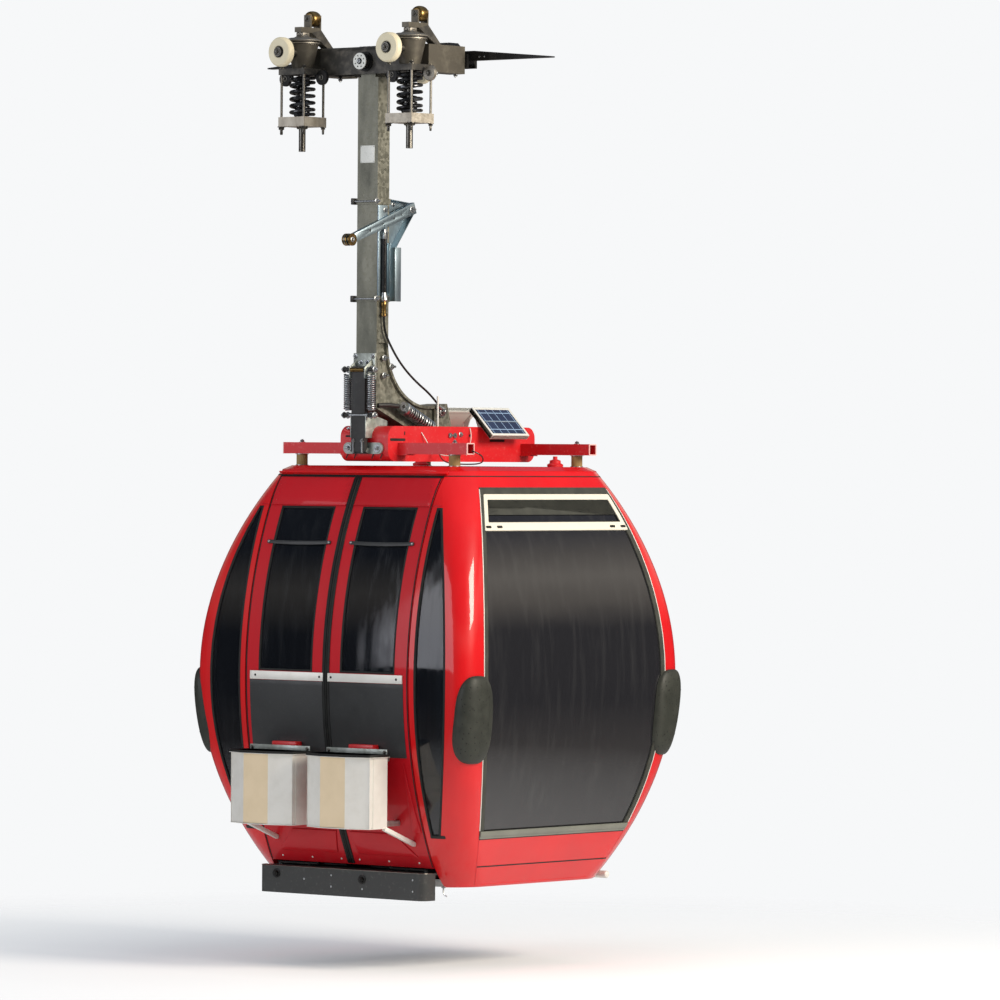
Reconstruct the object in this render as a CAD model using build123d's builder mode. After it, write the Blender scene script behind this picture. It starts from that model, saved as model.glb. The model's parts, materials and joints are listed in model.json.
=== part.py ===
from build123d import *

import math
import os

os.makedirs("parts", exist_ok=True)

# Driving dimensions, millimetres
# The origin is on the rope axis, halfway between the two grip jaws. X runs along the rope, -Y is the
# door side, +Z is up, and the cabin hangs below.

# Rope and grip
ROPE_R = 25.0
HEAD_X = 372.0
ARM_Y = -280.0
BEAM_DEPTH = 140.0
BEAM_WALL = 15.0
BEAM_LOW_Z = -45.0
BEAM_TOP_Z = 100.0
PIVOT_Z = 20.0
PIVOT_R = 22.0
PIN_CLEARANCE = 0.5
HEAD_WIDTH = 104.0
JAW_HALF_DEPTH = 42.0
JAW_LENGTH = 130.0
JAW_LOW_Z = -12.0
JAW_TOP_Z = 60.0
JAW_BAR_TOP_Z = 78.0
JAW_BAR_LENGTH = 760.0
NOSE_REACH = 980.0
NOSE_THICKNESS = 44.0
FRICTION_LENGTH = 680.0
FRICTION_LOW_Z = 96.0
FRICTION_TOP_Z = 126.0
FRICTION_DEPTH = 76.0

# Spring packs of the grip
PACK_SIZE = 180.0
PACK_PLATE = 32.0
CONE_TOP_R = 84.0
CONE_LOW_R = 54.0
DOME_R = 90.0
DOME_LOW_Z = 116.0
DOME_TOP_Z = 162.0
PACK_FOOT_TOP_Z = -268.0
PACK_FOOT_THICK = 50.0
PACK_ROD_R = 18.0
PACK_ROD_LOW_Z = -449.0
TIE_ROD_R = 7.0
TIE_ROD_INSET = 12.0
COIL_R = 66.0
COIL_WIRE = 20.0
COIL_TURNS = 5
ROLLER_R = 42.0
ROLLER_WIDTH = 66.0
ROLLER_Z = 257.0
LEVER_THICK = 46.0

# Wheels of the grip
OUTER_WHEEL_R = 78.0
OUTER_WHEEL_WIDTH = 42.0
OUTER_WHEEL_Y = -600.0
OUTER_WHEEL_Z = 70.0
INNER_WHEEL_X = 182.0
INNER_WHEEL_Y = -100.0
INNER_WHEEL_Z = -28.0
INNER_WHEEL_R = 64.0
INNER_WHEEL_WIDTH = 30.0
AXLE_R = 14.0
AXLE_HEAD_R = 24.0
AXLE_HEAD = 10.0

# Hanger arm
CABIN_Y = 280.0
ARM_WIDTH = 140.0
ARM_DEPTH = 95.0
ARM_TOP_Z = -62.0
ARM_EYE_R = 50.0
KNEE_R = 330.0
KNEE_START_Z = -1460.0
FOOT_LOW_Z = -1985.0
FLANGE = 14.0
WEB_RECESS = 16.0

# Cabin body: its sides bulge with one radius, and its corners are rounder at the roof and the floor
ROOF_TOP_Z = -2109.0
HALF_HEIGHT = 1085.0
HALF_LENGTH = 945.0
HALF_WIDTH = 915.0
BULGE_R = 2290.0
CORNER_R = 100.0
CORNER_R_END = 215.0
BARREL_SECTIONS = 5
WALL = 40.0
PILLAR = 130.0
END_PILLAR = 156.0
ROOF_THICK = 26.0
ROOF_EDGE = 4.0
ROOF_SLOPE = 52.0
RING_HEIGHT = 22.0
SEAT_GAP = 0.3
GLASS = 8.0
GLASS_INSET = 6.0
WIDEST_Z = ROOF_TOP_Z - ROOF_THICK - HALF_HEIGHT
RING_LOW = HALF_HEIGHT - RING_HEIGHT

# Windows: what the walls leave above and below them, and so their levels above the widest level
END_HEADER = 60.0
END_PANEL = 265.0
BACK_HEADER = 93.0
BACK_PANEL = 295.0
SIDE_HEADER = 167.0
SIDE_SILL = 268.0
SIDE_POST = 40.0
END_WINDOW_TOP = RING_LOW - END_HEADER
END_WINDOW_LOW = END_PANEL - HALF_HEIGHT
BACK_WINDOW_TOP = RING_LOW - BACK_HEADER
BACK_WINDOW_LOW = BACK_PANEL - HALF_HEIGHT
SIDE_WINDOW_TOP = RING_LOW - SIDE_HEADER
SIDE_WINDOW_LOW = SIDE_SILL - HALF_HEIGHT

# Doors
DOOR_SIDE = 385.0
DOOR_GAP = 7.0
DOOR_SILL = 101.0
DOOR_SEAM = 6.0
DOOR_LIP = 24.0
DOOR_INNER_STILE = 70.0
DOOR_OUTER_STILE = 90.0
DOOR_HEADER = 160.0
DOOR_WINDOW_LOW = 30.0
DOOR_HALF = HALF_LENGTH - DOOR_SIDE
DOOR_TOP = RING_LOW - DOOR_GAP
DOOR_LOW = DOOR_SILL - HALF_HEIGHT
DOOR_WINDOW_TOP = DOOR_TOP - DOOR_HEADER
SIDE_WINDOW_INNER_X = DOOR_HALF + SIDE_POST
DOOR_ARM = 250.0
DOOR_ARM_START = 177.0
DOOR_ARM_WIDTH = 28.0
DOOR_ARM_THICK = 9.0
DOOR_PIN_R = 8.0
DOOR_EYE_INSET = 305.0
LINK_SPACING = 170.0
LINK_ANGLE = 165.0

# Ski pockets on the doors
POCKET_INNER_GAP = 55.0
POCKET_OUTER_GAP = 83.0
POCKET_CHAMFER = 126.0
POCKET_BACK = 94.0
POCKET_SIDE = 140.0
POCKET_BULGE = 48.0
POCKET_TOP = -392.0
POCKET_LOW = -765.0
POCKET_SHEET = 4.0
POCKET_WIDTH = DOOR_HALF - POCKET_INNER_GAP - POCKET_OUTER_GAP
POCKET_X = POCKET_INNER_GAP + POCKET_WIDTH / 2

# Step under the doors
STEP_END = 12.0
STEP_SETBACK = 125.0
STEP_DEPTH = 230.0
STEP_DROP = 24.0
STEP_HEIGHT = 142.0
STEP_HALF = DOOR_HALF + STEP_END
STEP_OUT = HALF_WIDTH - STEP_SETBACK
STEP_IN = STEP_OUT - STEP_DEPTH
STEP_TOP = DOOR_LOW - STEP_DROP
STEP_LOW = STEP_TOP - STEP_HEIGHT

# Roof frame
RAIL = 60.0
RAIL_WALL = 5.0
RAIL_HALF = 638.0
RAIL_Y = 510.0
RAIL_Z = -2016.0
CHANNEL_WIDTH = 330.0
CHANNEL_FRONT = 620.0
CHANNEL_BACK = 600.0
CHANNEL_TOP_Z = -1898.0
CHANNEL_LOW_Z = -2085.0
CHANNEL_SHEET = 8.0
MOUNT_X = 530.0
MOUNT_R = 30.0

# Solar panels
SOLAR_LENGTH = 310.0
SOLAR_SLANT = 210.0
SOLAR_THICK = 25.0
SOLAR_TOP_X = 118.0
SOLAR_TOP_Z = -1795.0
SOLAR_Y = 275.0
SOLAR_TILT = 45.0

# Suspension strut
STRUT_Y = -660.0
STRUT_TOP_Z = -1585.0
STRUT_LOW_Z = -2035.0
STRUT_WIDTH = 92.0
STRUT_THICK = 24.0
STRUT_SPRING_X = 80.0
STRUT_SPRING_R = 24.0
STRUT_WIRE = 11.0
STRUT_SPRING_TOP_Z = -1612.0
STRUT_SPRING_LOW_Z = -1832.0

# Corner bumpers
BUMPER_PROUD = 34.0
BUMPER_WIDTH = 228.0
BUMPER_HEIGHT = 460.0
BUMPER_LEVEL = -195.0
BUMPER_TURN = 20.0
BUMPER_SHIFT = 31.0

# Seats
SEAT_END_GAP = 215.0
SEAT_BACK_GAP = 133.0
SEAT_DEPTH = 372.0
SEAT_HEIGHT = 405.0
SEAT_THICK = 46.0
BACKREST_HEIGHT = 510.0
BACKREST_THICK = 42.0
SEAT_HALF = HALF_WIDTH - SEAT_END_GAP
SEAT_BACK_X = HALF_LENGTH - SEAT_BACK_GAP
SEAT_FRONT_X = SEAT_BACK_X - SEAT_DEPTH
SEAT_LEVEL = WALL - HALF_HEIGHT + SEAT_HEIGHT
BACKREST_TOP = SEAT_LEVEL + BACKREST_HEIGHT

# Small sizes of the cabin's fittings
VENT_PROUD = 6.0
VENT_INSET = 26.0
VENT_DROP = 37.0
VENT_HEIGHT = 188.0
VENT_BAR = 28.0
STEP_ROUND = 45.0
STEP_PLATE = 10.0
STEP_LIP = 40.0
STEP_WALL_GAP = 12.0
GUIDE_HALF = 620.0
GUIDE_GAP = 12.0
GUIDE_R = 20.0
GUIDE_WALL = 4.0
GUIDE_RISE = 12.0
GUIDE_FOOT_X = 380.0
DOOR_ARM_GAP = 6.0
DOOR_COLLAR_R = 12.0
DOOR_FOOT_END = 26.0
DOOR_FOOT_HIGH = 34.0
DOOR_PIN_UP = 18.0
LINK_CLEARANCE = 1.5
POCKET_FOOT = 32.0
POCKET_FOOT_X = 130.0
SEAT_HINGE_BACK = 27.0
SEAT_EYE_GAP = 32.0
SEAT_EYE_R = 15.0
SEAT_ROD_R = 9.0
SEAT_KNUCKLE_R = 15.0
SEAT_CORNER = 40.0
SEAT_LEG_INSET = 250.0
SEAT_LEG_THICK = 10.0
SEAT_FOOT_INSET = 120.0
SEAT_FOOT = 70.0
SEAT_RIM = 22.0
BACKREST_GAP = 10.0
BACKREST_BAR = 8.0
BACKREST_RISE = 90.0

# Small sizes of the hanger arm and the release linkage
FOOT_SHOULDER = 25.0
FOOT_TOE = 12.0
FOOT_HEEL = 130.0
FOOT_PIN_Z = -1940.0
FOOT_PIN_R = 22.0
ARM_BELLY_Y = -60.0
BOSS_PROUD = 15.0
BOSS_Y = 200.0
BOSS_Z = -1818.0
BOSS_R = 22.0
LINKAGE_GAP = 10.0
LINK_SHEET = 5.0
LEVER_BAR = 35.0
LEVER_TIP_Y = -73.0
LEVER_TIP_Z = -752.0
LEVER_ROLLER_Y = -560.0
LEVER_ROLLER_Z = -925.0
RELEASE_ROLLER_R = 31.0
RELEASE_ROLLER_WIDTH = 30.0
BRACKET_X = 30.0
BRACKET_TOP_Z = -700.0
BRACKET_LOW_Z = -1244.0
BRACKET_REACH = 195.0
BRACKET_WAIST = 45.0
BAND_HEIGHT = 30.0
PULL_Y = -291.0
PULL_R = 8.0
CABLE_TOP_Z = -1319.0
CABLE_R = 6.0
CABLE_BEND_SHARE = 0.45
CABLE_BENDS = ((-291.0, -1390.0), (-236.0, -1475.0), (-150.0, -1572.0), (-31.0, -1660.0), (110.0, -1736.0))

# Small sizes of the roof frame, the solar panels and the strut
CHANNEL_NOSE_R = 60.0
CHANNEL_LIP = 30.0
SOLAR_GUSSET_Y = 120.0
SOLAR_GUSSET = 6.0
STRUT_BRACKET = 70.0
STRUT_PLATE = 12.0
STRUT_LINK = 270.0
STRUT_LINK_HOLE_X = 100.0
STRUT_LINK_HOLE_R = 11.0
STRUT_BOLT_R = 10.0
STRUT_TURNS = 5

# Small sizes of the grip
PACK_OVERLAP = 12.0
BEAM_ROUND = 25.0
PIVOT_HEAD = 20.0
PIVOT_CAP = 45.0
PIVOT_CAP_R = 40.0
NOSE_LOW_Z = 27.0
NOSE_TIP_Z = 34.0
NOSE_SHOULDER = 470.0
JAW_BAR_DEPTH = 64.0
FRICTION_TAPER = 30.0
FRICTION_PITCH = 31.0
FRICTION_GROOVE = 5.0
DOME_CROWN = 34.0
LEVER_LOW_Z = 182.0
LEVER_TAIL = 40.0
LEVER_FOOT_Y = -200.0
ROLLER_Y = -350.0
ROLLER_GAP = 6.0
CHEEK = 10.0
CHEEK_LOW_Z = 190.0
CHEEK_TOP_Z = 277.0
TIE_ROD_END = 27.0
WHEEL_ROUND = 6.0
ROLLER_ROUND = 20.0

LEFT = -1
RIGHT = 1
SIDES = ((LEFT, "left"), (RIGHT, "right"))


def reach(half, level):
    """Half size of a bulged side at a level above the widest one."""
    return half - (BULGE_R - math.sqrt(BULGE_R**2 - level**2))


def corner_radius(level):
    """Corner radius in plan at a level."""
    return CORNER_R + (CORNER_R_END - CORNER_R) * (level / HALF_HEIGHT) ** 2


def barrel(inset):
    """Closed barrel, inset from the outer skin of the cabin."""
    with BuildPart() as solid:
        for step in range(BARREL_SECTIONS):
            level = HALF_HEIGHT * (2 * step / (BARREL_SECTIONS - 1) - 1)
            with BuildSketch(Plane.XY.offset(WIDEST_Z + level)):
                with Locations((0, CABIN_Y)):
                    RectangleRounded(
                        2 * (reach(HALF_LENGTH, level) - inset),
                        2 * (reach(HALF_WIDTH, level) - inset),
                        corner_radius(level) - inset,
                    )
        loft()
    return solid.part


def side_band(half, inset, low, high, near, far, axis):
    """Prism whose two upright edges follow the bulge, inset from it, between two levels."""
    middle = (low + high) / 2
    with BuildPart() as solid:
        plane = Plane.XZ if axis == "Y" else Plane.YZ
        with BuildSketch(plane.offset(-far if axis == "Y" else near)):
            shift = 0 if axis == "Y" else CABIN_Y
            with BuildLine():
                points = [
                    (shift + side * (reach(half, level) - inset), WIDEST_Z + level)
                    for side in (LEFT, RIGHT)
                    for level in (low, middle, high)
                ]
                left_edge = ThreePointArc(points[0], points[1], points[2])
                right_edge = ThreePointArc(points[3], points[4], points[5])
                Line(left_edge @ 0, right_edge @ 0)
                Line(left_edge @ 1, right_edge @ 1)
            make_face()
        extrude(amount=far - near)
    return solid.part


def slab(x0, x1, y0, y1, z0, z1):
    """Box between two corners."""
    with BuildPart() as solid:
        with Locations(((x0 + x1) / 2, (y0 + y1) / 2, (z0 + z1) / 2)):
            Box(x1 - x0, y1 - y0, z1 - z0)
    return solid.part


def span(side, a, b):
    """Two X limits in rising order, on a side of the cabin."""
    return sorted((side * a, side * b))


def keep(name, part):
    """Label a finished piece and write it to its file."""
    part.label = name
    export_step(part, "parts/" + name + ".step")


FAR = 2000.0
outer_barrel = barrel(0)
inner_barrel = barrel(WALL)
wall_ring = outer_barrel - inner_barrel
glass_outer = barrel(GLASS_INSET)
glass_inner = barrel(GLASS_INSET + GLASS)
glass_ring = glass_outer - glass_inner


def level_slab(x0, x1, y0, y1, low, high):
    """Box in cabin terms: Y from the cabin's middle plane, heights as levels."""
    return slab(x0, x1, CABIN_Y + y0, CABIN_Y + y1, WIDEST_Z + low, WIDEST_Z + high)


# Cabin shell
end_band = side_band(HALF_WIDTH, END_PILLAR, -HALF_HEIGHT, RING_LOW, -FAR, FAR, "X")
long_band = side_band(HALF_LENGTH, PILLAR, -HALF_HEIGHT, RING_LOW, -FAR, FAR, "Y")
side_opening = side_band(HALF_LENGTH, PILLAR, SIDE_WINDOW_LOW, SIDE_WINDOW_TOP, -FAR, 0, "Y")

inner_x = DOOR_HALF + DOOR_GAP
door_opening = level_slab(-inner_x, inner_x, -FAR, 0, -HALF_HEIGHT, RING_LOW)

for side, side_name in SIDES:
    for depth, depth_name in ((-1, "door"), (1, "back")):
        with BuildPart() as pillar:
            add(wall_ring)
            add(
                level_slab(*span(side, 0, FAR), *span(depth, 0, FAR), -HALF_HEIGHT, RING_LOW),
                mode=Mode.INTERSECT,
            )
            add(end_band, mode=Mode.SUBTRACT)
            add(long_band, mode=Mode.SUBTRACT)
            add(door_opening, mode=Mode.SUBTRACT)
        keep(f"pillar_{depth_name}_{side_name}", pillar.part)

    with BuildPart() as end_panel:
        add(wall_ring)
        add(end_band, mode=Mode.INTERSECT)
        add(
            level_slab(*span(side, 0, FAR), -FAR, FAR, -HALF_HEIGHT, END_WINDOW_LOW),
            mode=Mode.INTERSECT,
        )
    keep(f"end_panel_{side_name}", end_panel.part)

    with BuildPart() as end_header:
        add(wall_ring)
        add(end_band, mode=Mode.INTERSECT)
        add(
            level_slab(*span(side, 0, FAR), -FAR, FAR, END_WINDOW_TOP, RING_LOW),
            mode=Mode.INTERSECT,
        )
    keep(f"end_header_{side_name}", end_header.part)

    with BuildPart() as end_window:
        add(glass_ring)
        add(
            side_band(
                HALF_WIDTH, END_PILLAR + SEAT_GAP, END_WINDOW_LOW + SEAT_GAP, END_WINDOW_TOP - SEAT_GAP,
                -FAR, FAR, "X",
            ),
            mode=Mode.INTERSECT,
        )
        add(
            level_slab(*span(side, 0, FAR), -FAR, FAR, -HALF_HEIGHT, HALF_HEIGHT),
            mode=Mode.INTERSECT,
        )
    keep(f"end_window_{side_name}", end_window.part)

    with BuildPart() as side_panel:
        add(wall_ring)
        add(long_band, mode=Mode.INTERSECT)
        add(
            level_slab(*span(side, inner_x, FAR), -FAR, 0, -HALF_HEIGHT, RING_LOW),
            mode=Mode.INTERSECT,
        )
        add(
            side_opening
            & level_slab(*span(side, SIDE_WINDOW_INNER_X, FAR), -FAR, 0, -HALF_HEIGHT, HALF_HEIGHT),
            mode=Mode.SUBTRACT,
        )
    keep(f"side_panel_{side_name}", side_panel.part)

    with BuildPart() as side_window:
        add(glass_ring)
        add(
            side_band(
                HALF_LENGTH, PILLAR + SEAT_GAP, SIDE_WINDOW_LOW + SEAT_GAP, SIDE_WINDOW_TOP - SEAT_GAP,
                -FAR, 0, "Y",
            ),
            mode=Mode.INTERSECT,
        )
        glass_x = SIDE_WINDOW_INNER_X + SEAT_GAP
        add(
            level_slab(*span(side, glass_x, FAR), -FAR, 0, -HALF_HEIGHT, HALF_HEIGHT),
            mode=Mode.INTERSECT,
        )
    keep(f"side_window_{side_name}", side_window.part)

with BuildPart() as back_panel:
    add(wall_ring)
    add(long_band, mode=Mode.INTERSECT)
    add(level_slab(-FAR, FAR, 0, FAR, -HALF_HEIGHT, BACK_WINDOW_LOW), mode=Mode.INTERSECT)
keep("back_panel", back_panel.part)

with BuildPart() as back_header:
    add(wall_ring)
    add(long_band, mode=Mode.INTERSECT)
    add(level_slab(-FAR, FAR, 0, FAR, BACK_WINDOW_TOP, RING_LOW), mode=Mode.INTERSECT)
keep("back_header", back_header.part)

with BuildPart() as back_window:
    add(glass_ring)
    add(
        side_band(
            HALF_LENGTH, PILLAR + SEAT_GAP, BACK_WINDOW_LOW + SEAT_GAP, BACK_WINDOW_TOP - SEAT_GAP,
            0, FAR, "Y",
        ),
        mode=Mode.INTERSECT,
    )
keep("back_window", back_window.part)

# Roof: the ring that ties the pillars, and the cap on it
with BuildPart() as roof:
    add(outer_barrel)
    add(level_slab(-FAR, FAR, -FAR, FAR, RING_LOW, HALF_HEIGHT), mode=Mode.INTERSECT)
    with BuildSketch(Plane.XY.offset(WIDEST_Z + HALF_HEIGHT)):
        with Locations((0, CABIN_Y)):
            RectangleRounded(
                2 * reach(HALF_LENGTH, HALF_HEIGHT), 2 * reach(HALF_WIDTH, HALF_HEIGHT), CORNER_R_END
            )
    extrude(amount=ROOF_THICK)
    chamfer(roof.faces().sort_by(Axis.Z)[-1].edges(), ROOF_THICK - ROOF_EDGE, ROOF_SLOPE)
keep("roof", roof.part)

# Floor pan between the walls
with BuildPart() as floor_pan:
    add(barrel(WALL + SEAT_GAP))
    add(level_slab(-FAR, FAR, -FAR, FAR, -HALF_HEIGHT, -HALF_HEIGHT + WALL), mode=Mode.INTERSECT)
keep("floor_pan", floor_pan.part)

# Vent frames on the end windows
vent_top = END_WINDOW_TOP - VENT_DROP
vent_low = vent_top - VENT_HEIGHT
with BuildPart() as vent_frames:
    add(barrel(-VENT_PROUD) - barrel(GLASS_INSET))
    add(
        side_band(HALF_WIDTH, END_PILLAR + VENT_INSET, vent_low, vent_top, -FAR, FAR, "X"),
        mode=Mode.INTERSECT,
    )
    add(
        side_band(
            HALF_WIDTH, END_PILLAR + VENT_INSET + VENT_BAR, vent_low + VENT_BAR, vent_top - VENT_BAR,
            -FAR, FAR, "X",
        ),
        mode=Mode.SUBTRACT,
    )
keep("vent_frames", vent_frames.part)

# Corner bumpers: oval pads bent round the corners
bumper_skin = barrel(-BUMPER_PROUD) - barrel(-SEAT_GAP)
corner_r = corner_radius(BUMPER_LEVEL)
with BuildPart() as corner_bumpers:
    for side in (LEFT, RIGHT):
        for depth in (-1, 1):
            turn = math.radians(BUMPER_TURN)
            out = Vector(side * math.cos(turn), depth * math.sin(turn), 0)
            inwards = Vector(side * math.sin(turn), -depth * math.cos(turn), 0)
            middle = inwards * BUMPER_SHIFT + Vector(
                side * (reach(HALF_LENGTH, BUMPER_LEVEL) - corner_r),
                CABIN_Y + depth * (reach(HALF_WIDTH, BUMPER_LEVEL) - corner_r),
                WIDEST_Z + BUMPER_LEVEL,
            )
            with BuildSketch(Plane(origin=middle, x_dir=Vector(0, 0, 1).cross(out), z_dir=out)):
                Ellipse(BUMPER_WIDTH / 2, BUMPER_HEIGHT / 2)
            extrude(amount=2 * corner_r)
    add(bumper_skin, mode=Mode.INTERSECT)
keep("corner_bumpers", corner_bumpers.part)

# Step under the doors, with the four pins that the door arms turn on
leaf_mid_y = reach(HALF_WIDTH, DOOR_LOW) - WALL / 2
eye_x = DOOR_HALF - DOOR_EYE_INSET
start = math.radians(DOOR_ARM_START)
spread = math.radians(LINK_ANGLE)
eye_main = (eye_x, -leaf_mid_y)
eye_link = (
    eye_x + LINK_SPACING * math.cos(spread),
    -leaf_mid_y + LINK_SPACING * math.sin(spread),
)
pin_main = (eye_main[0] - DOOR_ARM * math.cos(start), eye_main[1] - DOOR_ARM * math.sin(start))
pin_link = (eye_link[0] - DOOR_ARM * math.cos(start), eye_link[1] - DOOR_ARM * math.sin(start))
arm_top = DOOR_LOW - DOOR_ARM_GAP
arm_low = arm_top - DOOR_ARM_THICK
sill_x = DOOR_HALF + DOOR_GAP - SEAT_GAP
step_back_y = reach(HALF_WIDTH, STEP_TOP) + STEP_WALL_GAP

with BuildPart() as door_step:
    with BuildSketch(Plane.XY.offset(WIDEST_Z + STEP_LOW)) as step_plan:
        with Locations((0, CABIN_Y - (STEP_OUT + step_back_y) / 2)):
            Rectangle(2 * STEP_HALF, STEP_OUT - step_back_y)
        fillet(step_plan.vertices().group_by(Axis.Y)[0], STEP_ROUND)
    extrude(amount=STEP_TOP - STEP_LOW)
    add(level_slab(-sill_x, sill_x, -step_back_y, -STEP_IN, STEP_TOP - STEP_PLATE, STEP_TOP))
    add(level_slab(-sill_x, sill_x, -STEP_IN - STEP_LIP, -STEP_IN, -HALF_HEIGHT + WALL, STEP_TOP))
    for side in (LEFT, RIGHT):
        for x, y in (pin_main, pin_link):
            with BuildSketch(Plane.XY.offset(WIDEST_Z + STEP_TOP)):
                with Locations((side * x, CABIN_Y + y)):
                    Circle(DOOR_COLLAR_R)
            extrude(amount=arm_low - SEAT_GAP - STEP_TOP)
            with BuildSketch(Plane.XY.offset(WIDEST_Z + STEP_TOP)):
                with Locations((side * x, CABIN_Y + y)):
                    Circle(DOOR_PIN_R)
            extrude(amount=arm_top - STEP_TOP)
keep("door_step", door_step.part)

# White guide tube outside the lower edge of the back wall
guide_level = GUIDE_RISE - HALF_HEIGHT
guide_y = reach(HALF_WIDTH, guide_level) + GUIDE_GAP + GUIDE_R
seat_skin = barrel(-SEAT_GAP)
with BuildPart() as guide_tube:
    for foot_x in (-GUIDE_FOOT_X, GUIDE_FOOT_X):
        add(
            level_slab(foot_x - GUIDE_R, foot_x + GUIDE_R, 0, guide_y,
                       guide_level - GUIDE_WALL, guide_level + GUIDE_WALL)
            - seat_skin
        )
    with BuildSketch(Plane.YZ.offset(-GUIDE_HALF)):
        with Locations((CABIN_Y + guide_y, WIDEST_Z + guide_level)):
            Circle(GUIDE_R)
    extrude(amount=2 * GUIDE_HALF)
    with BuildSketch(Plane.YZ.offset(-GUIDE_HALF)):
        with Locations((CABIN_Y + guide_y, WIDEST_Z + guide_level)):
            Circle(GUIDE_R - GUIDE_WALL)
    extrude(amount=2 * GUIDE_HALF, mode=Mode.SUBTRACT)
keep("guide_tube", guide_tube.part)

# Doors: leaf, glass, ski pocket and the two parallel arms of each
window_x0 = DOOR_SEAM / 2 + DOOR_LIP + DOOR_INNER_STILE
window_x1 = DOOR_HALF - DOOR_OUTER_STILE
pocket_wall_y = reach(HALF_WIDTH, POCKET_TOP)
for side, side_name in SIDES:
    with BuildPart() as door_leaf:
        add(wall_ring)
        add(
            level_slab(*span(side, DOOR_SEAM / 2, DOOR_HALF), -FAR, 0, DOOR_LOW, DOOR_TOP),
            mode=Mode.INTERSECT,
        )
        add(
            level_slab(*span(side, window_x0, window_x1), -FAR, 0, DOOR_WINDOW_LOW, DOOR_WINDOW_TOP),
            mode=Mode.SUBTRACT,
        )
        add(
            level_slab(
                *span(side, eye_link[0] - DOOR_FOOT_END, eye_main[0] + DOOR_FOOT_END),
                -leaf_mid_y, eye_link[1] + DOOR_FOOT_END, DOOR_LOW, DOOR_LOW + DOOR_FOOT_HIGH,
            )
        )
        for (x, y), clearance in ((eye_main, PIN_CLEARANCE), (eye_link, LINK_CLEARANCE)):
            with BuildSketch(Plane.XY.offset(WIDEST_Z + DOOR_LOW)):
                with Locations((side * x, CABIN_Y + y)):
                    Circle(DOOR_PIN_R + clearance)
            extrude(amount=DOOR_PIN_UP + PIN_CLEARANCE, mode=Mode.SUBTRACT)
    keep(f"door_leaf_{side_name}", door_leaf.part)

    with BuildPart() as door_glass:
        add(glass_ring)
        add(
            level_slab(
                *span(side, window_x0 + SEAT_GAP, window_x1 - SEAT_GAP), -FAR, 0,
                DOOR_WINDOW_LOW + SEAT_GAP, DOOR_WINDOW_TOP - SEAT_GAP,
            ),
            mode=Mode.INTERSECT,
        )
    keep(f"door_glass_{side_name}", door_glass.part)

    with BuildPart() as ski_pocket:
        half = POCKET_WIDTH / 2
        front_half = half - POCKET_CHAMFER
        back_y = pocket_wall_y + POCKET_BACK
        outline = (
            (-half, back_y),
            (-half, back_y + POCKET_SIDE),
            (-front_half, back_y + POCKET_SIDE + POCKET_BULGE),
            (front_half, back_y + POCKET_SIDE + POCKET_BULGE),
            (half, back_y + POCKET_SIDE),
            (half, back_y),
        )
        with BuildSketch(Plane.XY.offset(WIDEST_Z + POCKET_LOW)):
            with BuildLine():
                Polyline(*[(side * POCKET_X + x, CABIN_Y - y) for x, y in outline], close=True)
            make_face()
        extrude(amount=POCKET_TOP - POCKET_LOW)
        top = ski_pocket.faces().sort_by(Axis.Z)[-1]
        offset(amount=-POCKET_SHEET, openings=top)
        for foot_x in (-POCKET_FOOT_X, POCKET_FOOT_X):
            x = side * POCKET_X + foot_x
            for low, high in (
                (POCKET_TOP - POCKET_FOOT, POCKET_TOP - POCKET_SHEET),
                (POCKET_LOW, POCKET_LOW + POCKET_FOOT),
            ):
                add(
                    level_slab(x - POCKET_FOOT / 2, x + POCKET_FOOT / 2, -back_y, 0, low, high)
                    - seat_skin
                )
    keep(f"ski_pocket_{side_name}", ski_pocket.part)

    for kind, pin, eye in (("arm", pin_main, eye_main), ("link", pin_link, eye_link)):
        with BuildPart() as door_arm:
            angle = math.degrees(math.atan2(eye[1] - pin[1], side * (eye[0] - pin[0])))
            centre = (side * (pin[0] + eye[0]) / 2, CABIN_Y + (pin[1] + eye[1]) / 2)
            with BuildSketch(Plane.XY.offset(WIDEST_Z + arm_low)):
                with Locations(Location((centre[0], centre[1], 0), (0, 0, angle))):
                    SlotCenterToCenter(DOOR_ARM, DOOR_ARM_WIDTH)
                with Locations((side * pin[0], CABIN_Y + pin[1])):
                    Circle(DOOR_PIN_R + PIN_CLEARANCE, mode=Mode.SUBTRACT)
            extrude(amount=DOOR_ARM_THICK)
            for radius, rise in (
                (DOOR_COLLAR_R, DOOR_ARM_GAP - SEAT_GAP),
                (DOOR_PIN_R, DOOR_ARM_GAP + DOOR_PIN_UP),
            ):
                with BuildSketch(Plane.XY.offset(WIDEST_Z + arm_top)):
                    with Locations((side * eye[0], CABIN_Y + eye[1])):
                        Circle(radius)
                extrude(amount=rise)
        keep(f"door_{kind}_{side_name}", door_arm.part)

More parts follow.
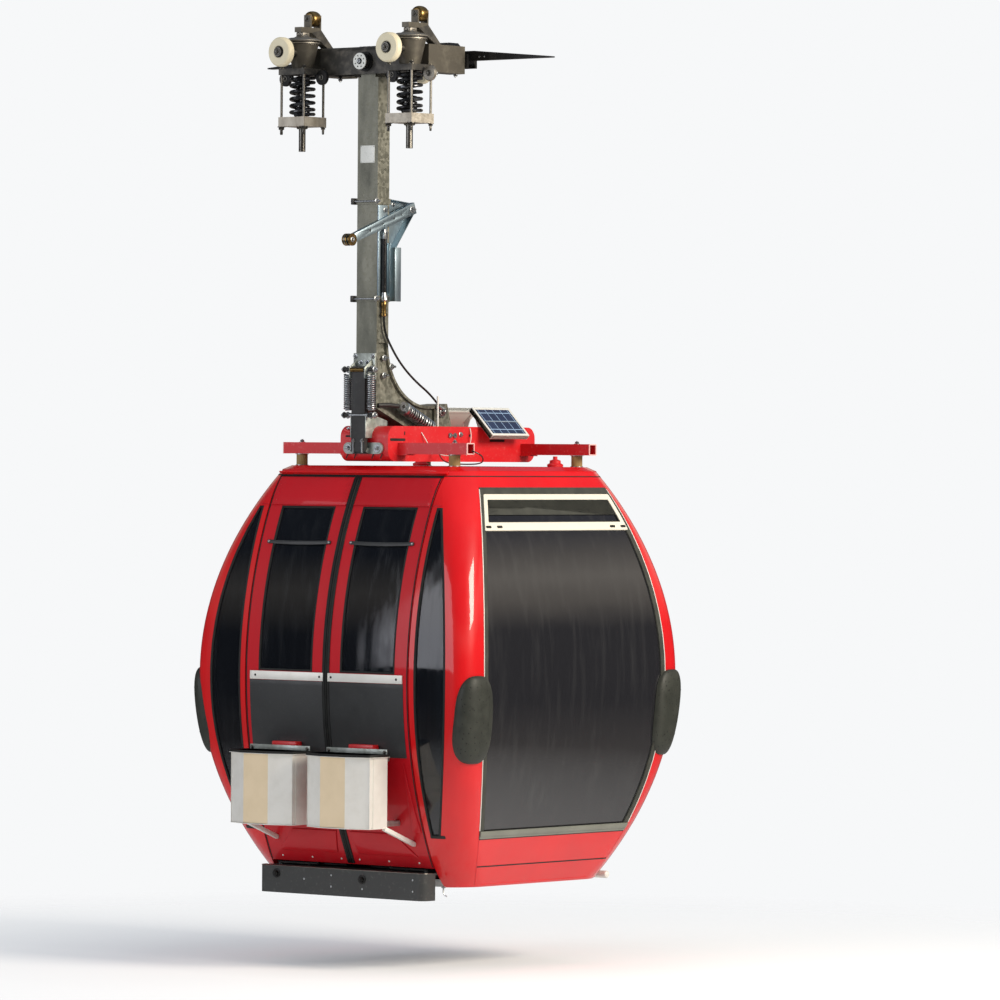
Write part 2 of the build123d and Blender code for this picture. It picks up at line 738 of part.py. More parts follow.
# Seats: folding pans on legs, with a backrest that follows the end window
hinge_x = SEAT_BACK_X - SEAT_HINGE_BACK
hinge_level = SEAT_LEVEL + SEAT_THICK / 2
pan_back_x = hinge_x - SEAT_EYE_GAP
leg_y = SEAT_HALF - SEAT_LEG_INSET
foot_x = SEAT_FRONT_X + SEAT_FOOT_INSET
backrest_x = reach(HALF_LENGTH, BACKREST_TOP) - WALL - BACKREST_GAP
backrest_skin = barrel(WALL + BACKREST_GAP) - barrel(WALL + BACKREST_GAP + BACKREST_THICK)
for side, side_name in SIDES:
    with BuildPart() as seat_pan:
        with BuildSketch(Plane.XY.offset(WIDEST_Z + SEAT_LEVEL)):
            with Locations((side * (SEAT_FRONT_X + pan_back_x) / 2, CABIN_Y)):
                RectangleRounded(pan_back_x - SEAT_FRONT_X, 2 * SEAT_HALF, SEAT_CORNER)
        extrude(amount=SEAT_THICK)
        knuckle_y = leg_y - SEAT_LEG_THICK
        with BuildSketch(Plane.XZ.offset(-CABIN_Y - knuckle_y)):
            with Locations((side * hinge_x, WIDEST_Z + hinge_level)):
                Circle(SEAT_KNUCKLE_R)
            with Locations((side * (hinge_x - SEAT_EYE_GAP / 2), WIDEST_Z + hinge_level)):
                Rectangle(SEAT_EYE_GAP, 2 * SEAT_ROD_R)
        extrude(amount=2 * knuckle_y)
        with BuildSketch(Plane.XZ.offset(-CABIN_Y - FAR)):
            with Locations((side * hinge_x, WIDEST_Z + hinge_level)):
                Circle(SEAT_ROD_R + PIN_CLEARANCE)
        extrude(amount=2 * FAR, mode=Mode.SUBTRACT)
    keep(f"seat_{side_name}", seat_pan.part)

    with BuildPart() as seat_frame:
        add(backrest_skin)
        add(
            level_slab(
                *span(side, 0, FAR), -SEAT_HALF, SEAT_HALF,
                SEAT_LEVEL + BACKREST_RISE, BACKREST_TOP,
            ),
            mode=Mode.INTERSECT,
        )
        under = SEAT_LEVEL - SEAT_GAP
        floor_top = -HALF_HEIGHT + WALL
        leg = (
            (foot_x, floor_top),
            (foot_x + SEAT_FOOT, floor_top),
            (hinge_x + SEAT_EYE_R, under - SEAT_FOOT),
            (hinge_x + SEAT_EYE_R, hinge_level),
            (hinge_x - SEAT_EYE_R, hinge_level),
            (hinge_x - SEAT_EYE_R, under),
            (SEAT_FRONT_X + SEAT_FOOT, under),
            (SEAT_FRONT_X + SEAT_FOOT, under - SEAT_RIM),
        )
        bar = (
            (hinge_x + SEAT_EYE_R - SEAT_RIM, under - SEAT_FOOT),
            (hinge_x + SEAT_EYE_R, under - SEAT_FOOT),
            (backrest_x - BACKREST_BAR, BACKREST_TOP - SEAT_RIM),
            (backrest_x - BACKREST_THICK, BACKREST_TOP - SEAT_RIM),
        )
        for y in (-leg_y, leg_y):
            with BuildSketch(Plane.XZ.offset(-CABIN_Y - y - SEAT_LEG_THICK / 2)):
                with BuildLine():
                    Polyline(*[(side * x, WIDEST_Z + z) for x, z in leg], close=True)
                make_face()
                with Locations((side * hinge_x, WIDEST_Z + hinge_level)):
                    Circle(SEAT_EYE_R)
                with BuildLine():
                    Polyline(*[(side * x, WIDEST_Z + z) for x, z in bar], close=True)
                make_face()
            extrude(amount=SEAT_LEG_THICK)
        with BuildSketch(Plane.XZ.offset(-CABIN_Y - leg_y)):
            with Locations((side * hinge_x, WIDEST_Z + hinge_level)):
                Circle(SEAT_ROD_R)
        extrude(amount=2 * leg_y)
    keep(f"seat_frame_{side_name}", seat_frame.part)


def rod(radius, start, end):
    """Round bar between two points."""
    with BuildPart() as solid:
        with BuildSketch(Plane(origin=start, z_dir=Vector(*end) - Vector(*start))):
            Circle(radius)
        extrude(amount=(Vector(*end) - Vector(*start)).length)
    return solid.part


def plate_x(outline, x0, x1):
    """Plate square to the X axis, its outline given as (y, z) corners."""
    with BuildPart() as solid:
        with BuildSketch(Plane.YZ.offset(x0)):
            with BuildLine():
                Polyline(*outline, close=True)
            make_face()
        extrude(amount=x1 - x0)
    return solid.part


def plate_y(outline, y0, y1):
    """Plate square to the Y axis, its outline given as (x, z) corners."""
    with BuildPart() as solid:
        with BuildSketch(Plane.XZ.offset(-y1)):
            with BuildLine():
                Polyline(*outline, close=True)
            make_face()
        extrude(amount=y1 - y0)
    return solid.part


def coil(x, y, radius, wire, low, high, turns):
    """Coil spring of square wire about an upright axis, just inside two heights."""
    rise = high - low - wire
    with BuildPart() as solid:
        with BuildLine() as path:
            Helix(pitch=rise / turns, height=rise, radius=radius, center=(x, y, low + wire / 2))
        with BuildSketch(Plane(origin=path.line @ 0, z_dir=path.line % 0)):
            Rectangle(wire, wire)
        sweep(is_frenet=True)
    return solid.part


# Hanger arm: a box column, a knee with a flanged web, and the foot that sits in the roof channel
arm_out_y = ARM_Y - ARM_DEPTH / 2
arm_in_y = ARM_Y + ARM_DEPTH / 2
knee_y = arm_in_y + KNEE_R
knee_low_z = KNEE_START_Z - KNEE_R
foot_pin_y = CABIN_Y - FOOT_HEEL / 2
with BuildPart() as hanger_arm:
    with BuildSketch(Plane.YZ.offset(-ARM_WIDTH / 2)):
        with BuildLine():
            Line((arm_in_y, ARM_TOP_Z), (arm_in_y, KNEE_START_Z))
            CenterArc((knee_y, KNEE_START_Z), KNEE_R, 180, 90)
            Polyline(
                (knee_y, knee_low_z),
                (CABIN_Y - FOOT_SHOULDER, knee_low_z + FLANGE),
                (CABIN_Y + FOOT_TOE, CHANNEL_TOP_Z),
                (CABIN_Y + FOOT_TOE, FOOT_LOW_Z),
                (CABIN_Y - FOOT_HEEL, FOOT_LOW_Z),
                (ARM_BELLY_Y, CHANNEL_TOP_Z - FLANGE),
                (arm_out_y, knee_low_z - FLANGE),
                (arm_out_y, ARM_TOP_Z),
                (arm_in_y, ARM_TOP_Z),
            )
        make_face()
    extrude(amount=ARM_WIDTH)
    for face_x in (-ARM_WIDTH / 2, ARM_WIDTH / 2 - WEB_RECESS):
        with BuildSketch(Plane.YZ.offset(face_x)):
            with BuildLine():
                CenterArc((knee_y, KNEE_START_Z), KNEE_R + FLANGE, 180, 90)
                Polyline(
                    (knee_y, knee_low_z - FLANGE),
                    (CABIN_Y - FOOT_HEEL, knee_low_z - FLANGE),
                    (CABIN_Y - FOOT_HEEL, CHANNEL_TOP_Z),
                    (ARM_BELLY_Y, CHANNEL_TOP_Z),
                    (arm_out_y + FLANGE, knee_low_z),
                    (arm_out_y + FLANGE, KNEE_START_Z),
                    (arm_in_y - FLANGE, KNEE_START_Z),
                )
            make_face()
        extrude(amount=WEB_RECESS, mode=Mode.SUBTRACT)
    add(rod(ARM_EYE_R, (0, arm_out_y, PIVOT_Z), (0, arm_in_y, PIVOT_Z)))
    add(slab(-ARM_EYE_R, ARM_EYE_R, arm_out_y, arm_in_y, ARM_TOP_Z, PIVOT_Z))
    add(
        rod(PIVOT_R + PIN_CLEARANCE, (0, arm_out_y, PIVOT_Z), (0, arm_in_y, PIVOT_Z)),
        mode=Mode.SUBTRACT,
    )
    add(
        rod(FOOT_PIN_R + SEAT_GAP, (-ARM_WIDTH, foot_pin_y, FOOT_PIN_Z),
            (ARM_WIDTH, foot_pin_y, FOOT_PIN_Z)),
        mode=Mode.SUBTRACT,
    )
    boss_x = ARM_WIDTH / 2 + BOSS_PROUD
    add(rod(BOSS_R, (-boss_x, BOSS_Y, BOSS_Z), (boss_x, BOSS_Y, BOSS_Z)))
keep("hanger_arm", hanger_arm.part)

# Roof frame: folded channel open at the top, with two square tubes and the foot's pin through it
half_channel = CHANNEL_WIDTH / 2
channel_end_y = CABIN_Y - CHANNEL_FRONT
channel_length = CHANNEL_FRONT + CHANNEL_BACK
channel_height = CHANNEL_TOP_Z - CHANNEL_LOW_Z
lip_x = half_channel - CHANNEL_LIP
with BuildPart() as roof_frame:
    for inset, mode in ((0, Mode.ADD), (CHANNEL_SHEET, Mode.SUBTRACT)):
        with BuildSketch(Plane.YZ.offset(-half_channel + inset)) as channel_side:
            with Locations((channel_end_y + channel_length / 2, CHANNEL_LOW_Z + channel_height / 2)):
                Rectangle(channel_length - 2 * inset, channel_height - 2 * inset)
            fillet(channel_side.vertices().group_by(Axis.Z)[-1], CHANNEL_NOSE_R - inset)
        extrude(amount=CHANNEL_WIDTH - 2 * inset, mode=mode)
    add(
        slab(-lip_x, lip_x, channel_end_y + CHANNEL_NOSE_R, channel_end_y + channel_length - CHANNEL_NOSE_R,
             RAIL_Z, 0),
        mode=Mode.SUBTRACT,
    )
    for size, mode in ((RAIL, Mode.ADD), (RAIL - 2 * RAIL_WALL, Mode.SUBTRACT)):
        for rail_y in (CABIN_Y - RAIL_Y, CABIN_Y + RAIL_Y):
            add(
                slab(-RAIL_HALF, RAIL_HALF, rail_y - size / 2, rail_y + size / 2,
                     RAIL_Z - size / 2, RAIL_Z + size / 2),
                mode=mode,
            )
    add(rod(FOOT_PIN_R, (-half_channel, foot_pin_y, FOOT_PIN_Z), (half_channel, foot_pin_y, FOOT_PIN_Z)))
keep("roof_frame", roof_frame.part)

# Rubber blocks between the tubes and the roof
mount_low_z = ROOF_TOP_Z + SEAT_GAP
mount_top_z = RAIL_Z - RAIL / 2 - SEAT_GAP
with BuildPart() as roof_mounts:
    with Locations(*[
        (x, CABIN_Y + y, (mount_low_z + mount_top_z) / 2)
        for x in (-MOUNT_X, MOUNT_X)
        for y in (-RAIL_Y, RAIL_Y)
    ]):
        Cylinder(MOUNT_R, mount_top_z - mount_low_z)
keep("roof_mounts", roof_mounts.part)

# Solar panels, each on two gussets that stand on the channel
solar_mid_y = CABIN_Y + SOLAR_Y
along = (math.cos(math.radians(SOLAR_TILT)), -math.sin(math.radians(SOLAR_TILT)))
low_edge = (SOLAR_TOP_X + SOLAR_SLANT * along[0], SOLAR_TOP_Z + SOLAR_SLANT * along[1])
back_low = (low_edge[0] + SOLAR_THICK * along[1], low_edge[1] - SOLAR_THICK * along[0])
back_top = (SOLAR_TOP_X + SOLAR_THICK * along[1], SOLAR_TOP_Z - SOLAR_THICK * along[0])
gusset_x = half_channel - CHANNEL_SHEET
gusset_foot_z = CHANNEL_TOP_Z + SEAT_GAP
slope = along[1] / along[0]
for side, side_name in SIDES:
    panel = ((SOLAR_TOP_X, SOLAR_TOP_Z), low_edge, back_low, back_top)
    gusset = (
        back_top, (gusset_x, back_top[1] + (gusset_x - back_top[0]) * slope), (gusset_x, gusset_foot_z),
        (lip_x, gusset_foot_z),
    )
    with BuildPart() as solar_panel:
        for outline, y, thickness in (
            (panel, solar_mid_y, SOLAR_LENGTH),
            (gusset, solar_mid_y - SOLAR_GUSSET_Y, SOLAR_GUSSET),
            (gusset, solar_mid_y + SOLAR_GUSSET_Y, SOLAR_GUSSET),
        ):
            add(plate_y([(side * x, z) for x, z in outline], y - thickness / 2, y + thickness / 2))
    keep(f"solar_panel_{side_name}", solar_panel.part)

# Suspension strut: flat bar from the arm down to the channel's end, with its brackets and spring bolts
strut_y = CABIN_Y + STRUT_Y
strut_x = STRUT_WIDTH / 2
spring_top_z = STRUT_SPRING_TOP_Z + STRUT_BOLT_R + SEAT_GAP
spring_low_z = STRUT_SPRING_LOW_Z - STRUT_BOLT_R - SEAT_GAP
strut_back_y = arm_out_y - SEAT_GAP
link_back_y = channel_end_y - SEAT_GAP
with BuildPart() as suspension_strut:
    add(
        slab(-strut_x, strut_x, strut_y - STRUT_THICK / 2, strut_y + STRUT_THICK / 2,
             STRUT_LOW_Z, STRUT_TOP_Z)
    )
    add(slab(-strut_x, strut_x, strut_y, strut_back_y, STRUT_TOP_Z - STRUT_BRACKET, STRUT_TOP_Z))
    add(
        slab(-ARM_WIDTH / 2, ARM_WIDTH / 2, strut_back_y - STRUT_PLATE, strut_back_y,
             STRUT_TOP_Z - STRUT_BRACKET, STRUT_TOP_Z + STRUT_BRACKET)
    )
    add(slab(-strut_x, strut_x, strut_y, link_back_y, RAIL_Z - RAIL / 2, RAIL_Z))
    with BuildSketch(Plane.XZ.offset(-link_back_y)):
        with Locations((0, RAIL_Z)):
            SlotOverall(STRUT_LINK, RAIL)
        with Locations((-STRUT_LINK_HOLE_X, RAIL_Z), (STRUT_LINK_HOLE_X, RAIL_Z)):
            Circle(STRUT_LINK_HOLE_R, mode=Mode.SUBTRACT)
    extrude(amount=STRUT_PLATE)
    bolt_x = STRUT_SPRING_X + STRUT_SPRING_R
    for bolt_z in (spring_top_z, spring_low_z):
        add(rod(STRUT_BOLT_R, (-bolt_x, strut_y, bolt_z), (bolt_x, strut_y, bolt_z)))
keep("suspension_strut", suspension_strut.part)

with BuildPart() as suspension_springs:
    for x in (-STRUT_SPRING_X, STRUT_SPRING_X):
        add(
            coil(x, strut_y, STRUT_SPRING_R, STRUT_WIRE, STRUT_SPRING_LOW_Z, STRUT_SPRING_TOP_Z,
                 STRUT_TURNS)
        )
keep("suspension_springs", suspension_springs.part)

# Release linkage: two bands round the column, a bracket, and a lever with a roller and a pull rod
lever_x = ARM_WIDTH / 2 + LINKAGE_GAP
lever_tip = Vector(LEVER_TIP_Y, LEVER_TIP_Z)
lever_roller = Vector(LEVER_ROLLER_Y, LEVER_ROLLER_Z)
lever_mid = (lever_tip + lever_roller) / 2
lever_run = lever_tip - lever_roller
lever_angle = math.degrees(math.atan2(lever_run.Y, lever_run.X))
band_x = ARM_WIDTH / 2 + LINK_SHEET + SEAT_GAP
band_y = ARM_DEPTH / 2 + LINK_SHEET + SEAT_GAP
bracket_y = arm_in_y + SEAT_GAP
bracket_front_y = arm_in_y + BRACKET_REACH
bracket = (
    (bracket_y, BRACKET_TOP_Z),
    (bracket_front_y, BRACKET_TOP_Z - LEVER_BAR / 2),
    (bracket_front_y, BRACKET_TOP_Z - 2 * LEVER_BAR),
    (bracket_y + BRACKET_WAIST, (BRACKET_TOP_Z + BRACKET_LOW_Z) / 2),
    (bracket_y + BRACKET_WAIST, BRACKET_LOW_Z),
    (bracket_y, BRACKET_LOW_Z),
)
pull = (
    (PULL_Y - PULL_R, lever_mid.Y), (PULL_Y + PULL_R, lever_mid.Y),
    (PULL_Y + PULL_R, CABLE_TOP_Z), (PULL_Y - PULL_R, CABLE_TOP_Z),
)
with BuildPart() as release_linkage:
    for band_z in (BRACKET_TOP_Z - BAND_HEIGHT, BRACKET_LOW_Z):
        add(
            slab(-band_x, band_x, ARM_Y - band_y, ARM_Y + band_y, band_z, band_z + BAND_HEIGHT)
            - slab(-band_x + LINK_SHEET, band_x - LINK_SHEET, ARM_Y - band_y + LINK_SHEET,
                   ARM_Y + band_y - LINK_SHEET, band_z, band_z + BAND_HEIGHT)
        )
    add(plate_x(bracket, BRACKET_X, BRACKET_X + LINK_SHEET))
    add(plate_x(pull, lever_x, lever_x + 2 * PULL_R))
    with BuildSketch(Plane.YZ.offset(lever_x)):
        with Locations(Location((lever_mid.X, lever_mid.Y, 0), (0, 0, lever_angle))):
            SlotCenterToCenter(lever_run.length, LEVER_BAR)
    extrude(amount=2 * LINK_SHEET)
    add(
        rod(LEVER_BAR / 2, (BRACKET_X, lever_tip.X, lever_tip.Y), (lever_x, lever_tip.X, lever_tip.Y))
    )
    add(
        rod(RELEASE_ROLLER_R, (lever_x - RELEASE_ROLLER_WIDTH, lever_roller.X, lever_roller.Y),
            (lever_x, lever_roller.X, lever_roller.Y))
    )
    add(rod(LEVER_BAR / 2, (ARM_WIDTH / 2 + SEAT_GAP, ARM_Y, lever_mid.Y), (lever_x, ARM_Y, lever_mid.Y)))
keep("release_linkage", release_linkage.part)

# Control cable from the pull rod to the boss at the foot, held at both ends
cable_x = lever_x + PULL_R
cable_route = [(PULL_Y, CABLE_TOP_Z - SEAT_GAP)]
cable_route += [(y, z) for y, z in CABLE_BENDS]
boss = Vector(BOSS_Y, BOSS_Z)
cable_end = boss + (Vector(*CABLE_BENDS[-1]) - boss).normalized() * (BOSS_R + SEAT_GAP)
cable_route += [(cable_end.X, cable_end.Y)]
cable_radii = []
for n in range(1, len(cable_route) - 1):
    before = Vector(*cable_route[n]) - Vector(*cable_route[n - 1])
    after = Vector(*cable_route[n + 1]) - Vector(*cable_route[n])
    turn = math.radians(before.get_angle(after))
    cable_radii.append(CABLE_BEND_SHARE * min(before.length, after.length) / math.tan(turn / 2))
with BuildPart() as release_cable:
    with BuildLine(Plane.YZ.offset(cable_x)) as cable_path:
        FilletPolyline(*cable_route, radius=cable_radii)
    cable_line = cable_path.wires()[0]
    with BuildSketch(Plane(origin=cable_line @ 0, z_dir=cable_line % 0)):
        Circle(CABLE_R)
    sweep(path=cable_line)
print("Cable bends of radius", [round(r) for r in cable_radii], "and length", round(cable_line.length))
keep("release_cable", release_cable.part)

# Grip frame: a hollow beam over the arm's eye, the heads behind the jaws, the pivot pin and two axles
beam_out_y = ARM_Y - BEAM_DEPTH / 2
beam_in_y = ARM_Y + BEAM_DEPTH / 2
head_in_x = HEAD_X - HEAD_WIDTH / 2
head_out_x = HEAD_X + HEAD_WIDTH / 2
pack_y = beam_out_y - PACK_SIZE / 2 + PACK_OVERLAP
pack_in_y = pack_y + PACK_SIZE / 2
jaw_back_y = -JAW_HALF_DEPTH - SEAT_GAP
with BuildPart() as grip_frame:
    add(slab(-head_in_x, head_in_x, beam_out_y, beam_in_y, BEAM_LOW_Z, BEAM_TOP_Z))
    fillet(grip_frame.edges().filter_by(Axis.X).group_by(Axis.Z)[-1], BEAM_ROUND)
    add(
        slab(-head_in_x + BEAM_WALL, head_in_x - BEAM_WALL, beam_out_y + BEAM_WALL, beam_in_y - BEAM_WALL,
             BEAM_LOW_Z, BEAM_TOP_Z - BEAM_WALL),
        mode=Mode.SUBTRACT,
    )
    for side in (LEFT, RIGHT):
        low_x, high_x = sorted((side * head_in_x, side * head_out_x))
        add(slab(low_x, high_x, pack_in_y + SEAT_GAP, jaw_back_y, BEAM_LOW_Z, BEAM_TOP_Z))
        x = side * INNER_WHEEL_X
        for radius, start_y, end_y in (
            (AXLE_HEAD_R, beam_in_y, INNER_WHEEL_Y - INNER_WHEEL_WIDTH / 2 - SEAT_GAP),
            (AXLE_R, beam_in_y, INNER_WHEEL_Y + INNER_WHEEL_WIDTH / 2 + SEAT_GAP),
            (AXLE_HEAD_R, INNER_WHEEL_Y + INNER_WHEEL_WIDTH / 2 + SEAT_GAP,
             INNER_WHEEL_Y + INNER_WHEEL_WIDTH / 2 + SEAT_GAP + AXLE_HEAD),
        ):
            add(rod(radius, (x, start_y, INNER_WHEEL_Z), (x, end_y, INNER_WHEEL_Z)))
    for radius, start_y, end_y in (
        (PIVOT_R, beam_out_y, beam_in_y),
        (PIVOT_CAP_R, beam_out_y - PIVOT_CAP, beam_out_y),
        (PIVOT_R, beam_in_y, beam_in_y + PIVOT_HEAD),
    ):
        add(rod(radius, (0, start_y, PIVOT_Z), (0, end_y, PIVOT_Z)))
keep("grip_frame", grip_frame.part)

# Jaws round the rope, the bar over them with its tapered noses, and the ribbed friction plate
with BuildPart() as grip_jaw:
    for side in (LEFT, RIGHT):
        x = side * HEAD_X
        nose = (
            (x, NOSE_LOW_Z), (side * NOSE_REACH, NOSE_LOW_Z), (side * NOSE_REACH, NOSE_TIP_Z),
            (side * NOSE_SHOULDER, JAW_BAR_TOP_Z), (x, JAW_BAR_TOP_Z),
        )
        add(
            slab(x - JAW_LENGTH / 2, x + JAW_LENGTH / 2, -JAW_HALF_DEPTH, JAW_HALF_DEPTH,
                 JAW_LOW_Z, JAW_TOP_Z)
        )
        add(plate_y(nose, -NOSE_THICKNESS / 2, NOSE_THICKNESS / 2))
    half_bar = JAW_BAR_LENGTH / 2
    add(slab(-half_bar, half_bar, -JAW_BAR_DEPTH / 2, JAW_BAR_DEPTH / 2, NOSE_LOW_Z, JAW_BAR_TOP_Z))
    add(
        slab(-FRICTION_LENGTH / 3, FRICTION_LENGTH / 3, -JAW_BAR_DEPTH / 2, 0,
             JAW_BAR_TOP_Z, FRICTION_LOW_Z)
    )
    half_plate = FRICTION_LENGTH / 2
    top_half = half_plate - FRICTION_TAPER
    friction = (
        (-half_plate, FRICTION_LOW_Z), (half_plate, FRICTION_LOW_Z),
        (top_half, FRICTION_TOP_Z), (-top_half, FRICTION_TOP_Z),
    )
    add(plate_y(friction, -FRICTION_DEPTH / 2, FRICTION_DEPTH / 2))
    groove_count = round(2 * top_half / FRICTION_PITCH)
    with Locations(*[
        ((n - (groove_count - 1) / 2) * FRICTION_PITCH, 0, FRICTION_TOP_Z) for n in range(groove_count)
    ]):
        Box(FRICTION_PITCH / 3, FRICTION_DEPTH, 2 * FRICTION_GROOVE, mode=Mode.SUBTRACT)
    add(rod(ROPE_R, (-NOSE_REACH, 0, 0), (NOSE_REACH, 0, 0)), mode=Mode.SUBTRACT)
keep("grip_jaw", grip_jaw.part)

# Spring packs: plates, tie rods, spring seat, centre rod, roller lever and the outer wheel's axle
lever_top_z = ROLLER_Z - ROLLER_R - ROLLER_GAP
cheek_y = ROLLER_WIDTH / 2 + SEAT_GAP
wheel_in_y = OUTER_WHEEL_Y + OUTER_WHEEL_WIDTH / 2 + SEAT_GAP
wheel_out_y = OUTER_WHEEL_Y - OUTER_WHEEL_WIDTH / 2 - SEAT_GAP
half = PACK_SIZE / 2
tie = half - TIE_ROD_INSET
tie_low_z = PACK_FOOT_TOP_Z - PACK_FOOT_THICK - TIE_ROD_END
tie_high_z = BEAM_LOW_Z + PACK_PLATE + TIE_ROD_R
for side, side_name in SIDES:
    x = side * HEAD_X
    seat = (
        (x, BEAM_LOW_Z), (x + CONE_LOW_R, BEAM_LOW_Z), (x + CONE_LOW_R, BEAM_LOW_Z + PACK_PLATE),
        (x + CONE_TOP_R, DOME_LOW_Z), (x + DOME_R, DOME_LOW_Z), (x + DOME_R, DOME_TOP_Z - DOME_CROWN),
        (x + DOME_CROWN, DOME_TOP_Z), (x + PACK_ROD_R, LEVER_LOW_Z), (x, LEVER_LOW_Z),
    )
    lever = (
        (pack_y - LEVER_TAIL, LEVER_LOW_Z), (pack_y - LEVER_TAIL, lever_top_z),
        (ROLLER_Y + ROLLER_WIDTH / 2, lever_top_z), (LEVER_FOOT_Y, BEAM_TOP_Z + SEAT_GAP),
        (LEVER_FOOT_Y - LEVER_THICK, BEAM_TOP_Z + SEAT_GAP), (ROLLER_Y - ROLLER_WIDTH / 2, LEVER_LOW_Z),
    )
    with BuildPart() as spring_pack:
        with BuildSketch(Plane.XZ.offset(-pack_y)):
            with BuildLine():
                Polyline(*seat, close=True)
            make_face()
        revolve(axis=Axis((x, pack_y, 0), (0, 0, 1)))
        for low_z, high_z in (
            (BEAM_LOW_Z, BEAM_LOW_Z + PACK_PLATE),
            (PACK_FOOT_TOP_Z - PACK_FOOT_THICK, PACK_FOOT_TOP_Z),
        ):
            add(slab(x - half, x + half, pack_y - half, pack_y + half, low_z, high_z))
        add(rod(PACK_ROD_R, (x, pack_y, PACK_ROD_LOW_Z), (x, pack_y, BEAM_LOW_Z)))
        for tie_x in (x - tie, x + tie):
            for tie_y in (pack_y - tie, pack_y + tie):
                with BuildSketch(Plane.XY.offset(tie_low_z)):
                    with Locations((tie_x, tie_y)):
                        RegularPolygon(TIE_ROD_R, 6)
                extrude(amount=tie_high_z - tie_low_z)
        add(
            slab(-head_in_x - SEAT_GAP, head_in_x + SEAT_GAP, beam_out_y - SEAT_GAP, pack_in_y + TIE_ROD_R,
                 BEAM_LOW_Z - SEAT_GAP, BEAM_TOP_Z),
            mode=Mode.SUBTRACT,
        )
        add(plate_x(lever, x - LEVER_THICK / 2, x + LEVER_THICK / 2))
        for cheek in (ROLLER_Y - cheek_y - CHEEK, ROLLER_Y + cheek_y):
            add(
                slab(x - LEVER_THICK / 2, x + LEVER_THICK / 2, cheek, cheek + CHEEK,
                     CHEEK_LOW_Z, CHEEK_TOP_Z)
            )
        add(rod(AXLE_R, (x, ROLLER_Y - cheek_y, ROLLER_Z), (x, ROLLER_Y + cheek_y, ROLLER_Z)))
        for radius, start_y, end_y in (
            (AXLE_HEAD_R, pack_y, wheel_in_y),
            (AXLE_R, pack_y, wheel_out_y),
            (AXLE_HEAD_R, wheel_out_y, wheel_out_y - AXLE_HEAD),
        ):
            add(rod(radius, (x, start_y, OUTER_WHEEL_Z), (x, end_y, OUTER_WHEEL_Z)))
    keep(f"spring_pack_{side_name}", spring_pack.part)

with BuildPart() as grip_springs:
    for side in (LEFT, RIGHT):
        add(coil(side * HEAD_X, pack_y, COIL_R, COIL_WIRE, PACK_FOOT_TOP_Z + SEAT_GAP,
                 BEAM_LOW_Z - SEAT_GAP, COIL_TURNS))
keep("grip_springs", grip_springs.part)

# Wheels and rollers: kind, distance along X, Y, Z, radius, width, rim rounding
WHEELS = (
    ("outer_wheel", HEAD_X, OUTER_WHEEL_Y, OUTER_WHEEL_Z, OUTER_WHEEL_R, OUTER_WHEEL_WIDTH,
     WHEEL_ROUND),
    ("inner_wheel", INNER_WHEEL_X, INNER_WHEEL_Y, INNER_WHEEL_Z, INNER_WHEEL_R, INNER_WHEEL_WIDTH,
     WHEEL_ROUND),
    ("lever_roller", HEAD_X, ROLLER_Y, ROLLER_Z, ROLLER_R, ROLLER_WIDTH, ROLLER_ROUND),
)
for kind, wheel_x, wheel_y, wheel_z, wheel_r, wheel_width, rounding in WHEELS:
    for side, side_name in SIDES:
        x = side * wheel_x
        front = (x, wheel_y - wheel_width / 2, wheel_z)
        back = (x, wheel_y + wheel_width / 2, wheel_z)
        with BuildPart() as wheel:
            add(rod(wheel_r, front, back))
            chamfer(wheel.edges(), rounding)
            add(rod(AXLE_R + PIN_CLEARANCE, front, back), mode=Mode.SUBTRACT)
        keep(f"{kind}_{side_name}", wheel.part)
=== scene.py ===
"""Looks of a rope-hung cabin with its hanger arm and rope grip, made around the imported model."""

import json
import logging
import math
from collections.abc import Iterable, Sequence
from dataclasses import dataclass, field
from enum import Enum
from typing import Any

import bmesh
import bpy
from mathutils import Matrix, Vector

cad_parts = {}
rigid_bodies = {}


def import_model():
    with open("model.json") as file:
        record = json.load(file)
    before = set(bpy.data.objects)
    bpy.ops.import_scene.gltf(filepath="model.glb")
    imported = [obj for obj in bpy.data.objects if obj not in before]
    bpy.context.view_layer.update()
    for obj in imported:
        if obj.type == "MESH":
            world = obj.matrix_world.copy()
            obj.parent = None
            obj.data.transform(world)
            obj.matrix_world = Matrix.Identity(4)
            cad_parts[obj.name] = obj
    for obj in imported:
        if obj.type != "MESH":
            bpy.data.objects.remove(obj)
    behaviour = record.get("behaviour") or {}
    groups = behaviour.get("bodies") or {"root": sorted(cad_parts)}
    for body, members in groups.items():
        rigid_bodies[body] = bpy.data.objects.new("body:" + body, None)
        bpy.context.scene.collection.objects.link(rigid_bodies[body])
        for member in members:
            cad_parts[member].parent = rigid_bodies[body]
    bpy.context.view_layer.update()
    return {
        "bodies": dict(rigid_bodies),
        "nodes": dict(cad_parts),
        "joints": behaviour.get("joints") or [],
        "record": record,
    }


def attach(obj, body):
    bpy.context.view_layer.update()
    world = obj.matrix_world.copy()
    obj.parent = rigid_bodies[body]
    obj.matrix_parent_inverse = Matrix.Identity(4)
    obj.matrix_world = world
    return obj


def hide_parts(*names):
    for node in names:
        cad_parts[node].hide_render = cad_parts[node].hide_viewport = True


log = logging.getLogger("cabin")

Flat = tuple[float, float]
Solid = tuple[float, float, float]

SMOOTH_ANGLE = math.radians(32)
MILLIMETRE = 0.001
SIDES = ((-1, "left"), (1, "right"))
ENDS = (-1, 1)

# Directions of the row frame; forward is out of the doors
RIGHTWARD, LEFTWARD = (1, 0, 0), (-1, 0, 0)
FORWARD, BACKWARD = (0, -1, 0), (0, 1, 0)
UPWARD, DOWNWARD = (0, 0, 1), (0, 0, -1)


